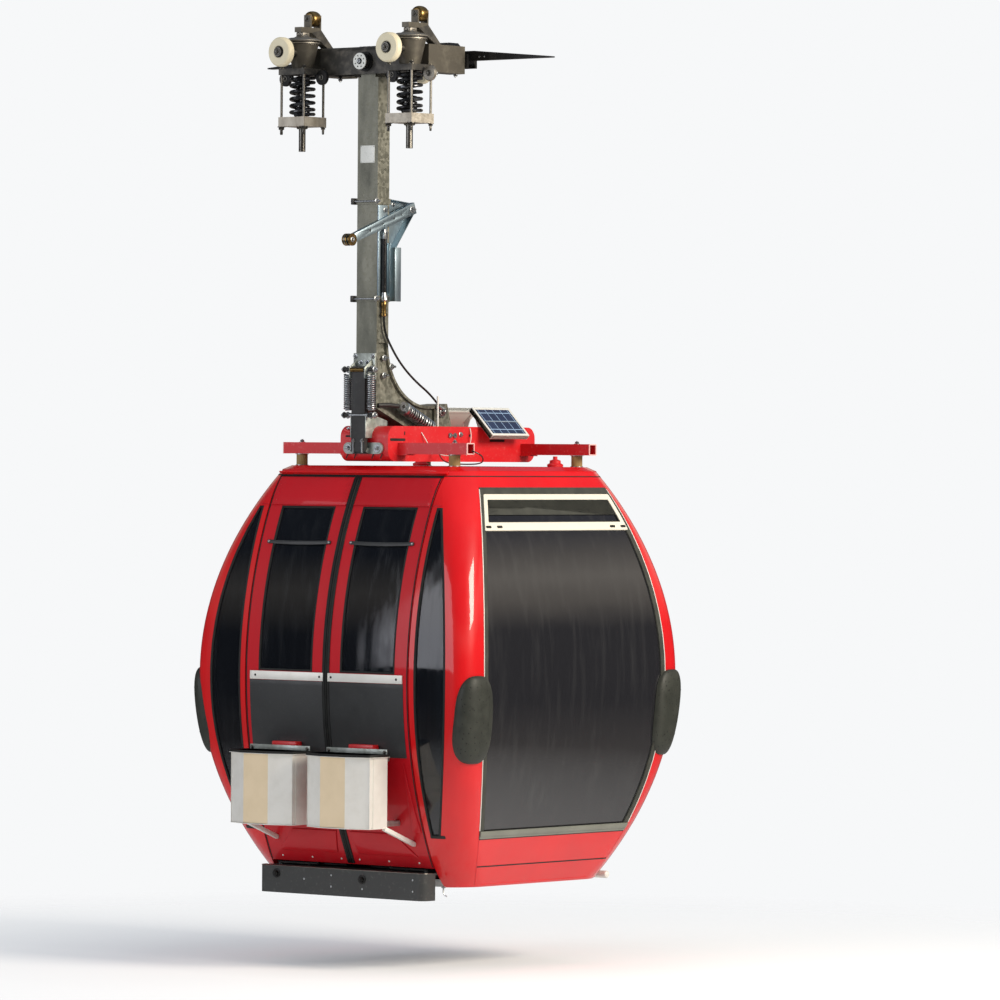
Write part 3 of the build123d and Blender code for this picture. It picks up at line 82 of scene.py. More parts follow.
class Axis(Enum):
    """The axis that a flat outline is pulled along."""

    X = "x"
    Y = "y"
    Z = "z"

    def lift(self, a: float, b: float, height: float) -> Vector:
        """Puts an outline's point (a, b) at a height along this axis."""
        return Vector({"x": (height, a, b), "y": (a, height, b), "z": (a, b, height)}[self.value])

    def unit(self) -> Vector:
        """Unit vector along this axis."""
        return self.lift(0, 0, 1)


class Side(Enum):
    """A face of the cabin, with the X and Y parts of its outward direction."""

    DOOR = (0, -1)
    BACK = (0, 1)
    LEFT = (-1, 0)
    RIGHT = (1, 0)


@dataclass(frozen=True)
class Skin:
    """Outer skin of the cabin: four bulged sides with one radius, and corners that open up and down."""

    centre_y: float = 0.280
    widest_z: float = -3.220
    half_length: float = 0.945
    half_width: float = 0.915
    half_height: float = 1.085
    bulge_r: float = 2.290
    corner_r: float = 0.100
    corner_r_end: float = 0.215
    wall: float = 0.040
    pillar: float = 0.130
    end_pillar: float = 0.156

    def edge(self, side: Side) -> float:
        """Width of the pillars beside a face."""
        return self.end_pillar if side in (Side.LEFT, Side.RIGHT) else self.pillar

    def reach(self, half: float, level: float) -> float:
        """Half size of a side at a level above the widest one."""
        return half - (self.bulge_r - math.sqrt(self.bulge_r**2 - level**2))

    def corner(self, level: float) -> float:
        """Corner radius in plan at a level."""
        return self.corner_r + (self.corner_r_end - self.corner_r) * (level / self.half_height) ** 2

    def point(self, side: Side, u: float, level: float, proud: float) -> Vector:
        """Finds a point on a side of the cabin.

        Args:
            side: The face of the cabin.
            u: Distance along the face from its middle.
            level: Height above the widest level.
            proud: Distance outside the skin.

        Returns:
            The point in the row frame.
        """
        ends = side in (Side.LEFT, Side.RIGHT)
        out = self.reach(self.half_length if ends else self.half_width, level)
        across = self.reach(self.half_width if ends else self.half_length, level)
        radius = self.corner(level)
        over = min(max(abs(u) - (across - radius), 0.0), radius)
        drop = math.sqrt(radius**2 - over**2)
        plan_out, plan_u = drop / radius, math.copysign(over / radius, u)
        rise = level / self.bulge_r
        flat = math.sqrt(1 - rise**2)
        depth = out - radius + drop + proud * plan_out * flat
        along = u + proud * plan_u * flat
        height = self.widest_z + level + proud * rise
        x, y = side.value
        if ends:
            return Vector((x * depth, self.centre_y + along, height))
        return Vector((along, self.centre_y + y * depth, height))

    def band(self, side: Side, inset: float, low: float, high: float, steps: int = 14) -> list[Flat]:
        """Outline between two levels whose upright edges follow the corner pillars.

        Args:
            side: The face of the cabin.
            inset: Distance of the upright edges from the face's ends.
            low: Lower level.
            high: Upper level.
            steps: Number of runs in each upright edge.

        Returns:
            The outline as (u, level) points.
        """
        half = self.half_width if side in (Side.LEFT, Side.RIGHT) else self.half_length
        levels = [low + (high - low) * n / steps for n in range(steps + 1)]
        right = [(self.reach(half, level) - inset, level) for level in levels]
        return right + [(-u, level) for u, level in reversed(right)]


def axes(direction: Vector) -> tuple[Vector, Vector, Vector]:
    """Finds three unit vectors square to each other.

    Args:
        direction: Where the last one points.

    Returns:
        The two across the direction and the one along it.
    """
    along = direction.normalized()
    helper = Vector((0, 0, 1)) if abs(along.z) < 0.9 else Vector((1, 0, 0))
    across = helper.cross(along).normalized()
    return across, along.cross(across), along


def rounded(low: Flat, high: Flat, radius: float, steps: int = 6) -> list[Flat]:
    """Outline of a rectangle with round corners.

    Args:
        low: Lower left corner.
        high: Upper right corner.
        radius: Corner radius.
        steps: Number of runs in each corner.

    Returns:
        The outline's points.
    """
    corners = ((high[0], high[1], 0), (low[0], high[1], 1), (low[0], low[1], 2), (high[0], low[1], 3))
    points = []
    for x, y, quarter in corners:
        middle_x = x - math.copysign(radius, x - low[0] - radius)
        middle_y = y - math.copysign(radius, y - low[1] - radius)
        for n in range(steps + 1):
            angle = math.pi / 2 * (quarter + n / steps)
            points.append((middle_x + radius * math.cos(angle), middle_y + radius * math.sin(angle)))
    return points


def shrink(outline: Sequence[Flat], distance: float) -> list[Flat]:
    """Moves an outline's edges inwards by a distance.

    Args:
        outline: A closed outline that runs anticlockwise.
        distance: How far the edges move; outwards where it is negative.

    Returns:
        The new outline, with as many points.
    """
    moved = []
    count = len(outline)
    for n in range(count):
        here = Vector(outline[n])
        before = (here - Vector(outline[n - 1])).normalized()
        after = (Vector(outline[(n + 1) % count]) - here).normalized()
        normal_a, normal_b = Vector((-before.y, before.x)), Vector((-after.y, after.x))
        middle = (normal_a + normal_b).normalized()
        shift = distance / max(middle.dot(normal_a), 0.3)
        moved.append(tuple(here + middle * shift))
    return moved


def soften(outline: Sequence[Flat], radius: float, steps: int = 5) -> list[Flat]:
    """Rounds the sharp corners of an outline.

    Args:
        outline: A closed outline.
        radius: Distance from each corner at which the rounding starts.
        steps: Number of runs in each corner.

    Returns:
        The rounded outline.
    """
    points = []
    count = len(outline)
    for n in range(count):
        here = Vector(outline[n])
        back = Vector(outline[n - 1]) - here
        ahead = Vector(outline[(n + 1) % count]) - here
        if back.angle(-ahead, 0.0) < math.radians(25):
            points.append(tuple(here))
            continue
        start = here + back.normalized() * min(radius, back.length / 2)
        end = here + ahead.normalized() * min(radius, ahead.length / 2)
        for k in range(steps + 1):
            t = k / steps
            points.append(tuple(start * (1 - t) ** 2 + here * 2 * t * (1 - t) + end * t**2))
    return points


def circle(centre: Flat, radius: float, steps: int = 24) -> list[Flat]:
    """Outline of a circle."""
    angles = [math.tau * n / steps for n in range(steps)]
    return [(centre[0] + radius * math.cos(t), centre[1] + radius * math.sin(t)) for t in angles]


def strip(start: Flat, end: Flat, half: float, end_half: float | None = None) -> list[Flat]:
    """Outline of a straight bar between two points.

    Args:
        start: Middle of its first end.
        end: Middle of its other end.
        half: Half its width at the start.
        end_half: Half its width at the end, the same where left out.

    Returns:
        Its four corners, anticlockwise.
    """
    run = (Vector(end) - Vector(start)).normalized()
    side = Vector((-run.y, run.x))
    last = half if end_half is None else end_half
    corners = ((start, -half), (end, -last), (end, last), (start, half))
    return [tuple(Vector(place) + side * shift) for place, shift in corners]


class Form:
    """A mesh under construction, in metres in the row frame."""

    level_step = 0.045
    edge_step = 0.022
    straight_u = 0.430
    weld = 1e-6

    def __init__(self) -> None:
        """Starts with no faces."""
        self.bm = bmesh.new()

    def hoop(self, centre: Vector, across: tuple[Vector, Vector], radius: float, segments: int) -> list[Any]:
        """Adds the corners of a ring.

        Args:
            centre: Its middle.
            across: Two unit vectors in its plane.
            radius: Its radius.
            segments: Number of corners.

        Returns:
            The corners, in order.
        """
        a, b = across
        angles = [math.tau * n / segments for n in range(segments)]
        return [self.bm.verts.new(centre + radius * (a * math.cos(t) + b * math.sin(t))) for t in angles]

    def join(self, lower: list[Any], upper: list[Any]) -> None:
        """Fills the faces between two rings, either of which may be one point.

        Args:
            lower: Corners of the first ring.
            upper: Corners of the second ring.
        """
        count = max(len(lower), len(upper))
        for n in range(count):
            m = (n + 1) % count
            if len(lower) == 1:
                self.bm.faces.new((lower[0], upper[m], upper[n]))
            elif len(upper) == 1:
                self.bm.faces.new((lower[n], lower[m], upper[0]))
            else:
                self.bm.faces.new((lower[n], lower[m], upper[m], upper[n]))

    def lathe(
        self, origin: Sequence[float], axis: Sequence[float], profile: Sequence[Flat],
        segments: int = 40, closed: bool = False,
    ) -> "Form":
        """Turns a profile about an axis.

        Args:
            origin: Point on the axis where heights start.
            axis: Direction of the axis.
            profile: Points (radius, height); a radius of 0 closes an end.
            segments: Number of flats round the axis.
            closed: Whether the last point joins the first, as on a ring.

        Returns:
            This form.
        """
        a, b, along = axes(Vector(axis))
        rings = []
        for radius, height in profile:
            centre = Vector(origin) + along * height
            if radius == 0:
                rings.append([self.bm.verts.new(centre)])
                continue
            rings.append(self.hoop(centre, (a, b), radius, segments))
        for lower, upper in zip(rings, rings[1:]):
            self.join(lower, upper)
        if closed:
            self.join(rings[-1], rings[0])
        return self

    def rod(
        self, origin: Sequence[float], axis: Sequence[float], radius: float, high: float, segments: int,
        low: float = 0.0,
    ) -> "Form":
        """Adds a plain round bar or disc.

        Args:
            origin: Point on its axis where heights start.
            axis: Direction of its axis.
            radius: Its radius.
            high: Height of its far end.
            segments: Number of flats round it.
            low: Height of its near end.

        Returns:
            This form.
        """
        return self.lathe(origin, axis, ((0, low), (radius, low), (radius, high), (0, high)), segments)

    def collar(
        self, origin: Sequence[float], axis: Sequence[float], radii: Flat, high: float, segments: int,
        low: float = 0.0,
    ) -> "Form":
        """Adds a ring of square section.

        Args:
            origin: Point on its axis where heights start.
            axis: Direction of its axis.
            radii: Radius of its bore and its outer radius.
            high: Height of its far face.
            segments: Number of flats round it.
            low: Height of its near face.

        Returns:
            This form.
        """
        bore, outer = radii
        profile = ((bore, low), (outer, low), (outer, high), (bore, high))
        return self.lathe(origin, axis, profile, segments, True)

    def tube(
        self, path: Iterable[Sequence[float]], radius: float, segments: int = 12, closed: bool = False,
    ) -> "Form":
        """Sweeps a round bar along a path.

        Args:
            path: Points of the path.
            radius: Radius of the bar.
            segments: Number of flats round the bar.
            closed: Whether the path's end joins its start.

        Returns:
            This form.
        """
        points = [Vector(p) for p in path]
        count = len(points)
        rings = []
        across = None
        for n, here in enumerate(points):
            back = points[n - 1] if n or closed else here
            ahead = points[(n + 1) % count] if n + 1 < count or closed else here
            tangent = (ahead - back).normalized()
            if across is None:
                across = axes(tangent)[0]
            across = (across - tangent * across.dot(tangent)).normalized()
            other = tangent.cross(across)
            rings.append(self.hoop(here, (across, other), radius, segments))
        for lower, upper in zip(rings, rings[1:]):
            self.join(lower, upper)
        if closed:
            self.join(rings[-1], rings[0])
        else:
            self.bm.faces.new(rings[0])
            self.bm.faces.new(rings[-1])
        return self

    def prism(
        self, axis: Axis, outline: Sequence[Flat], low: float, high: float,
        bevel: float = 0.0, holes: Sequence[Sequence[Flat]] = (), segments: int = 2,
    ) -> "Form":
        """Pulls a flat outline along an axis, with its holes, and rounds its edges.

        Args:
            axis: The axis that it is pulled along.
            outline: The closed outline.
            low: Where it starts along the axis.
            high: Where it ends along the axis.
            bevel: Width of the rounding on each sharp edge.
            holes: Closed outlines of the holes.
            segments: Number of flats in each rounding.

        Returns:
            This form.
        """
        part = bmesh.new()
        loops = [outline, *holes]
        caps = []
        for height in (low, high):
            rims = [[part.verts.new(axis.lift(a, b, height)) for a, b in loop] for loop in loops]
            caps.append(rims)
            if holes:
                edges = [part.edges.new((rim[n - 1], rim[n])) for rim in rims for n in range(len(rim))]
                bmesh.ops.triangle_fill(part, edges=edges, use_beauty=True, use_dissolve=False)
            else:
                part.faces.new(rims[0])
        for lower, upper in zip(*caps):
            for n in range(len(lower)):
                part.faces.new((lower[n - 1], lower[n], upper[n], upper[n - 1]))
        bmesh.ops.recalc_face_normals(part, faces=part.faces[:])
        if bevel:
            sharp = [e for e in part.edges if e.is_manifold and e.calc_face_angle(0.0) > SMOOTH_ANGLE]
            bmesh.ops.bevel(
                part, geom=sharp, offset=bevel, segments=segments, profile=0.5, affect="EDGES",
                clamp_overlap=True,
            )
        self.take(part)
        return self

    def block(self, low: Sequence[float], high: Sequence[float], bevel: float = 0.0) -> "Form":
        """Adds a bar with square ends between two corners, its edges rounded."""
        outline = ((low[0], low[1]), (high[0], low[1]), (high[0], high[1]), (low[0], high[1]))
        return self.prism(Axis.Z, outline, low[2], high[2], bevel)

    def take(self, part: Any) -> None:
        """Moves the faces of another bmesh into this form.

        Args:
            part: The other bmesh, which is freed.
        """
        mesh = bpy.data.meshes.new("part")
        part.to_mesh(mesh)
        part.free()
        self.bm.from_mesh(mesh)
        bpy.data.meshes.remove(mesh)

    def panel(
        self, skin: Skin, side: Side, outline: Sequence[Flat], low: float, high: float,
        bevel: float = 0.0, holes: Sequence[Sequence[Flat]] = (),
    ) -> "Form":
        """Lays a plate on the cabin's bulged skin.

        Args:
            skin: The skin that it follows.
            side: The face of the cabin.
            outline: The plate's outline as (u, level) points.
            low: Distance of its back from the skin.
            high: Distance of its face from the skin.
            bevel: Width of the rounding on its edges.
            holes: Outlines of its holes.

        Returns:
            This form.
        """
        flat = Form().prism(Axis.Z, outline, low, high, bevel, holes)
        flat.slice_at(1, self.level_step, 0.0)
        flat.slice_at(0, self.edge_step, self.straight_u)
        for vert in flat.bm.verts:
            vert.co = skin.point(side, *vert.co)
        self.take(flat.bm)
        return self

    def moved(self, matrix: Matrix) -> "Form":
        """Moves all of the form by a matrix."""
        bmesh.ops.transform(self.bm, matrix=matrix, verts=self.bm.verts[:])
        return self

    def slice_at(self, part: int, step: float, start: float) -> None:
        """Cuts the faces at even steps of one coordinate, past a distance from zero.

        Args:
            part: Which coordinate, 0 or 1.
            step: Distance between the cuts.
            start: Distance from zero at which the cuts start.
        """
        values = [vert.co[part] for vert in self.bm.verts]
        normal = Vector((1, 0, 0)) if part == 0 else Vector((0, 1, 0))
        for n in range(math.ceil(min(values) / step), math.floor(max(values) / step) + 1):
            if abs(n * step) < start:
                continue
            geometry = [*self.bm.verts, *self.bm.edges, *self.bm.faces]
            place = normal * n * step
            bmesh.ops.bisect_plane(self.bm, geom=geometry, plane_co=place, plane_no=normal, dist=self.weld)

    def bolt(
        self, place: Sequence[float], axis: Sequence[float], size: float, stud: float = 0.0,
        washer: bool = True,
    ) -> "Form":
        """Adds a hexagon head on a washer.

        Args:
            place: Where the washer touches its seat.
            axis: Direction that the head faces.
            size: Half width of the head over its corners.
            stud: Length of thread that stands out of it, as on a nut.
            washer: Whether it has a washer.

        Returns:
            This form.
        """
        seat = size * 0.25 if washer else 0.0
        if washer:
            rim = ((size * 1.45, 0), (size * 1.45, seat * 0.8), (size * 1.35, seat))
            self.lathe(place, axis, ((0, 0), *rim, (0, seat)), 24)
        top = seat + size * 0.9
        flats = ((size, seat), (size, seat + size * 0.75), (size * 0.86, top))
        self.lathe(place, axis, ((0, seat), *flats, (0, top)), 6)
        if stud:
            tip = top + stud
            thread = ((size * 0.52, top), (size * 0.52, top + stud * 0.85), (size * 0.4, tip))
            self.lathe(place, axis, ((0, top), *thread, (0, tip)), 12)
        return self

    def rivet(self, place: Sequence[float], axis: Sequence[float], size: float) -> "Form":
        """Adds a low domed head of a radius."""
        profile = ((size, 0), (size * 0.92, size * 0.25), (size * 0.6, size * 0.45), (0, size * 0.52))
        return self.lathe(place, axis, ((0, 0), *profile), 16)

    def spring(
        self, start: Sequence[float], end: Sequence[float], radius: float, wire: float, turns: float,
        steps: int = 28, ends: float = 1.0,
    ) -> "Form":
        """Adds a coil of round wire between two points, with its end turns closed.

        Args:
            start: Middle of its first end.
            end: Middle of its other end.
            radius: Radius of the coil to the wire's middle.
            wire: Radius of the wire.
            turns: Number of turns.
            steps: Number of points in each turn.
            ends: Number of closed turns at each end.

        Returns:
            This form.
        """
        a, b, along = axes(Vector(end) - Vector(start))
        length = (Vector(end) - Vector(start)).length - 2 * wire
        flat = 2 * wire * ends
        path = []
        count = round(turns * steps)
        for n in range(count + 1):
            turn = turns * n / count
            if turn < ends:
                height = flat * turn / ends
            elif turn > turns - ends:
                height = length - flat * (turns - turn) / ends
            else:
                height = flat + (length - 2 * flat) * (turn - ends) / (turns - 2 * ends)
            angle = math.tau * turn
            path.append(
                Vector(start) + along * (wire + height) + radius * (a * math.cos(angle) + b * math.sin(angle))
            )
        return self.tube(path, wire, 10)


def linear(colour: str) -> tuple[float, float, float, float]:
    """Turns an sRGB hex colour into linear red, green, blue and alpha."""
    parts = [int(colour[n:n + 2], 16) / 255 for n in (1, 3, 5)]
    return (*[c / 12.92 if c <= 0.04045 else ((c + 0.055) / 1.055) ** 2.4 for c in parts], 1.0)


def node(
    tree: Any, kind: str, settings: dict[Any, Any] | None = None, links: dict[Any, Any] | None = None,
) -> Any:
    """Adds a node with its settings and links.

    Args:
        tree: The node tree.
        kind: The node's type, without the words ShaderNode.
        settings: Values for its properties, or for its sockets by name or number.
        links: Output sockets that feed its sockets, by name or number.

    Returns:
        The new node.
    """
    made = tree.nodes.new("ShaderNode" + kind)
    for key, value in (settings or {}).items():
        if isinstance(key, str) and hasattr(made, key):
            setattr(made, key, value)
        else:
            made.inputs[key].default_value = value
    for key, socket in (links or {}).items():
        tree.links.new(socket, made.inputs[key])
    return made


@dataclass(frozen=True)
class Finish:
    """Base of every finish: a named real material."""

    name: str
    colour: str
    roughness: float = 0.5

    def material(self) -> bpy.types.Material:
        """Gives the material, made once.

        Returns:
            The material.
        """
        found = bpy.data.materials.get(self.name)
        if found:
            return found
        made = bpy.data.materials.new(self.name)
        made.use_nodes = True
        tree = made.node_tree
        tree.nodes.clear()
        place = node(tree, "TexCoord").outputs["Object"]
        surface = self.surface(tree, place)
        node(tree, "OutputMaterial", links={"Surface": surface})
        return made

    def surface(self, tree: Any, place: Any) -> Any:
        """Builds the shader.

        Args:
            tree: The material's node tree.
            place: Socket with the point in metres.

        Returns:
            The shader's output socket.
        """
        raise NotImplementedError

    def noise(
        self, tree: Any, place: Any, grain: float, detail: float = 2.0, stretch: Solid = (1, 1, 1),
    ) -> Any:
        """Adds a noise.

        Args:
            tree: The material's node tree.
            place: Socket with the point in metres.
            grain: Size of its patches in metres.
            detail: Number of finer layers in it.
            stretch: How much longer its patches are along each axis.

        Returns:
            The socket with its value, 0 to 1.
        """
        scaled = node(tree, "Mapping", {"Scale": tuple(1 / (grain * s) for s in stretch)}, {"Vector": place})
        settings = {"Scale": 1.0, "Detail": detail, "Roughness": 0.55}
        return node(tree, "TexNoise", settings, {"Vector": scaled.outputs[0]}).outputs["Fac"]

    def spread(
        self, tree: Any, value: Any, low: float, high: float, from_low: float = 0.3, from_high: float = 0.7,
    ) -> Any:
        """Stretches a value between two limits."""
        settings = {"From Min": from_low, "From Max": from_high, "To Min": low, "To Max": high}
        return node(tree, "MapRange", settings, {"Value": value}).outputs[0]

    def blend(self, tree: Any, share: Any, first: Any, second: Any) -> Any:
        """Mixes two colours.

        Args:
            tree: The material's node tree.
            share: Socket with the share of the second colour.
            first: A hex value or a socket.
            second: A hex value or a socket.

        Returns:
            The socket with the mixed colour.
        """
        settings: dict[Any, Any] = {"data_type": "RGBA"}
        links = {0: share}
        for key, value in ((6, first), (7, second)):
            if isinstance(value, str):
                settings[key] = linear(value)
            else:
                links[key] = value
        return node(tree, "Mix", settings, links).outputs[2]

    def shader(self, tree: Any, settings: dict[str, Any], colour: Any, rough: Any, normal: Any) -> Any:
        """Adds a Principled shader.

        Args:
            tree: The material's node tree.
            settings: Values for its sockets.
            colour: Socket that feeds its colour.
            rough: Socket that feeds its roughness.
            normal: Socket that feeds its normal.

        Returns:
            The shader's output socket.
        """
        links = {"Base Color": colour, "Roughness": rough, "Normal": normal}
        return node(tree, "BsdfPrincipled", settings, links).outputs[0]

    def bump(self, tree: Any, height: Any, depth: float, strength: float = 1.0, under: Any = None) -> Any:
        """Bump from a height of 0 to 1, as deep as a distance in metres."""
        links = {"Height": height} | ({"Normal": under} if under else {})
        return node(tree, "Bump", {"Distance": depth, "Strength": strength}, links).outputs[0]


@dataclass(frozen=True)
class Gelcoat(Finish):
    """Glossy moulded skin: a deep colour under a clear coat, with faint waves and dust low down."""

    dark: str = "#8f0d16"
    dust: str = "#8b7468"
    orange_peel: float = 6 * MILLIMETRE
    wave: float = 0.35
    coat: float = 0.9

    def surface(self, tree: Any, place: Any) -> Any:
        """Builds a coated colour that varies a little over a panel.

        Args:
            tree: The material's node tree.
            place: Socket with the point in metres.

        Returns:
            The shader's output socket.
        """
        cloud = self.spread(tree, self.noise(tree, place, self.wave), 0.0, 0.22)
        colour = self.blend(tree, cloud, self.colour, self.dark)
        streaks = self.noise(tree, place, 0.05, 4.0, (1, 1, 7))
        height = node(tree, "SeparateXYZ", links={0: place}).outputs["Z"]
        low_down = self.spread(tree, height, 0.07, 0.0, -4.3, -3.7)
        uneven = self.spread(tree, streaks, 0.1, 1.0)
        film = node(tree, "Math", {"operation": "MULTIPLY"}, {0: low_down, 1: uneven})
        colour = self.blend(tree, film.outputs[0], colour, self.dust)
        peel = self.noise(tree, place, self.orange_peel, 1.0)
        waves = self.noise(tree, place, 0.12, 1.0)
        normal = self.bump(tree, waves, 0.6 * MILLIMETRE, 0.5)
        normal = self.bump(tree, peel, 0.03 * MILLIMETRE, 0.6, normal)
        rough = self.spread(tree, streaks, self.roughness - 0.05, self.roughness + 0.08)
        settings = {"Coat Weight": self.coat, "Coat Roughness": 0.05, "Specular IOR Level": 0.2}
        return self.shader(tree, settings, colour, rough, normal)


@dataclass(frozen=True)
class Coated(Finish):
    """Paint or powder coat on steel: an even colour with a fine grain and lighter worn specks."""

    worn: str = "#8c8c8c"
    wear: float = 0.15
    grain: float = 2.5 * MILLIMETRE
    depth: float = 0.08 * MILLIMETRE
    coat: float = 0.2

    def surface(self, tree: Any, place: Any) -> Any:
        """Builds a coat with scuffs.

        Args:
            tree: The material's node tree.
            place: Socket with the point in metres.

        Returns:
            The shader's output socket.
        """
        scuffs = self.spread(tree, self.noise(tree, place, 0.018, 6.0), 0.0, self.wear, 0.58, 0.75)
        colour = self.blend(tree, scuffs, self.colour, self.worn)
        patches = self.noise(tree, place, 0.10)
        rough = self.spread(tree, patches, self.roughness - 0.07, self.roughness + 0.1)
        normal = self.bump(tree, self.noise(tree, place, self.grain, 1.5), self.depth, 0.7)
        return self.shader(tree, {"Coat Weight": self.coat, "Coat Roughness": 0.25}, colour, rough, normal)


@dataclass(frozen=True)
class BareMetal(Finish):
    """Uncoated metal, rolled, drawn or machined: fine lines one way, stains and scratches."""

    stain: str = "#8d8a82"
    line: float = 1.2 * MILLIMETRE
    stretch: Solid = (1, 1, 60)
    depth: float = 0.03 * MILLIMETRE
    metal: float = 1.0

    def surface(self, tree: Any, place: Any) -> Any:
        """Builds a metal with a drawn grain.

        Args:
            tree: The material's node tree.
            place: Socket with the point in metres.

        Returns:
            The shader's output socket.
        """
        stains = self.spread(tree, self.noise(tree, place, 0.09, 5.0), 0.0, 0.45, 0.42, 0.75)
        lines = self.noise(tree, place, self.line, 3.0, self.stretch)
        colour = self.blend(tree, stains, self.colour, self.stain)
        rough = self.spread(tree, lines, self.roughness - 0.08, self.roughness + 0.12)
        normal = self.bump(tree, lines, self.depth, 0.6)
        return self.shader(tree, {"Metallic": self.metal}, colour, rough, normal)


@dataclass(frozen=True)
class Galvanised(Finish):
    """Hot-dipped zinc on steel: dull crystals the size of a thumbnail, runs and darker weathering."""

    pale: str = "#b4b3a6"
    dark: str = "#5f6057"
    crystal: float = 16 * MILLIMETRE
    metallic: float = 0.72

    def surface(self, tree: Any, place: Any) -> Any:
        """Builds a zinc skin with crystals of three tones.

        Args:
            tree: The material's node tree.
            place: Socket with the point in metres.

        Returns:
            The shader's output socket.
        """
        settings = {"Scale": 1 / self.crystal, "Randomness": 1.0}
        cells = node(tree, "TexVoronoi", settings, {"Vector": place}).outputs["Color"]
        tone = node(tree, "SeparateColor", links={0: cells}).outputs[0]
        weather = self.spread(tree, self.noise(tree, place, 0.09, 5.0, (1, 1, 3)), 0.0, 0.75, 0.38, 0.68)
        colour = self.blend(tree, self.spread(tree, tone, 0.0, 0.55, 0.0, 1.0), self.colour, self.pale)
        colour = self.blend(tree, weather, colour, self.dark)
        rough = self.spread(tree, tone, self.roughness - 0.08, self.roughness + 0.14, 0.0, 1.0)
        pits = self.noise(tree, place, 3 * MILLIMETRE, 3.0)
        normal = self.bump(tree, pits, 0.12 * MILLIMETRE, 0.7)
        return self.shader(tree, {"Metallic": self.metallic}, colour, rough, normal)


@dataclass(frozen=True)
class Cast(Finish):
    """Cast or forged steel with a burnt-on coat: a sandy grain and rubbed edges; on the spring steel the
    paler patches are painted glints.
    """

    # Paler tone in noise patches: rubbed metal on the castings, painted glints on the spring steel
    rubbed: str = "#8a8377"
    grain: float = 1.8 * MILLIMETRE
    metallic: float = 0.55

    def surface(self, tree: Any, place: Any) -> Any:
        """Builds a grainy metal skin.

        Args:
            tree: The material's node tree.
            place: Socket with the point in metres.

        Returns:
            The shader's output socket.
        """
        rub_and_glint_share = self.spread(tree, self.noise(tree, place, 0.05, 5.0), 0.0, 0.5, 0.45, 0.8)
        colour = self.blend(tree, rub_and_glint_share, self.colour, self.rubbed)
        sand = self.noise(tree, place, self.grain, 3.0)
        rough = self.spread(tree, sand, self.roughness - 0.06, self.roughness + 0.12)
        normal = self.bump(tree, sand, 0.15 * MILLIMETRE, 0.8)
        return self.shader(tree, {"Metallic": self.metallic}, colour, rough, normal)


@dataclass(frozen=True)
class Rubber(Finish):
    """Moulded rubber or soft plastic: dull, with a chalky bloom."""

    bloom: str = "#5a5c56"
    grain: float = 1.5 * MILLIMETRE
    hole_pitch: float = 0.0

    def surface(self, tree: Any, place: Any) -> Any:
        """Builds a dull skin, with small scattered holes where it has a pitch.

        Args:
            tree: The material's node tree.
            place: Socket with the point in metres.

        Returns:
            The shader's output socket.
        """
        haze = self.spread(tree, self.noise(tree, place, 0.06, 5.0), 0.0, 0.5, 0.4, 0.75)
        colour = self.blend(tree, haze, self.colour, self.bloom)
        normal = self.bump(tree, self.noise(tree, place, self.grain, 2.0), 0.06 * MILLIMETRE, 0.8)
        if self.hole_pitch:
            settings = {"Scale": 1 / self.hole_pitch, "Randomness": 0.9}
            dots = node(tree, "TexVoronoi", settings, {"Vector": place}).outputs["Distance"]
            pit = self.spread(tree, dots, 1.0, 0.0, 0.13, 0.19)
            colour = self.blend(tree, pit, colour, "#0c0d0b")
            normal = self.bump(tree, pit, -0.8 * MILLIMETRE, 1.0, normal)
        rough = self.spread(tree, haze, self.roughness, self.roughness + 0.12, 0.0, 0.5)
        return self.shader(tree, {"Specular IOR Level": 0.35}, colour, rough, normal)


@dataclass(frozen=True)
class Moulded(Finish):
    """Moulded plastic: an even colour with a fine leathery grain and a soft shine."""

    shade: str = "#2a2a2a"
    grain: float = 1.2 * MILLIMETRE
    depth: float = 0.05 * MILLIMETRE

    def surface(self, tree: Any, place: Any) -> Any:
        """Builds a grained plastic skin.

        Args:
            tree: The material's node tree.
            place: Socket with the point in metres.

        Returns:
            The shader's output socket.
        """
        patches = self.spread(tree, self.noise(tree, place, 0.14, 4.0), 0.0, 0.4)
        colour = self.blend(tree, patches, self.colour, self.shade)
        grain = self.noise(tree, place, self.grain, 2.0)
        rough = self.spread(tree, patches, self.roughness - 0.04, self.roughness + 0.1, 0.0, 0.4)
        normal = self.bump(tree, grain, self.depth, 0.8)
        return self.shader(tree, {"IOR": 1.5}, colour, rough, normal)


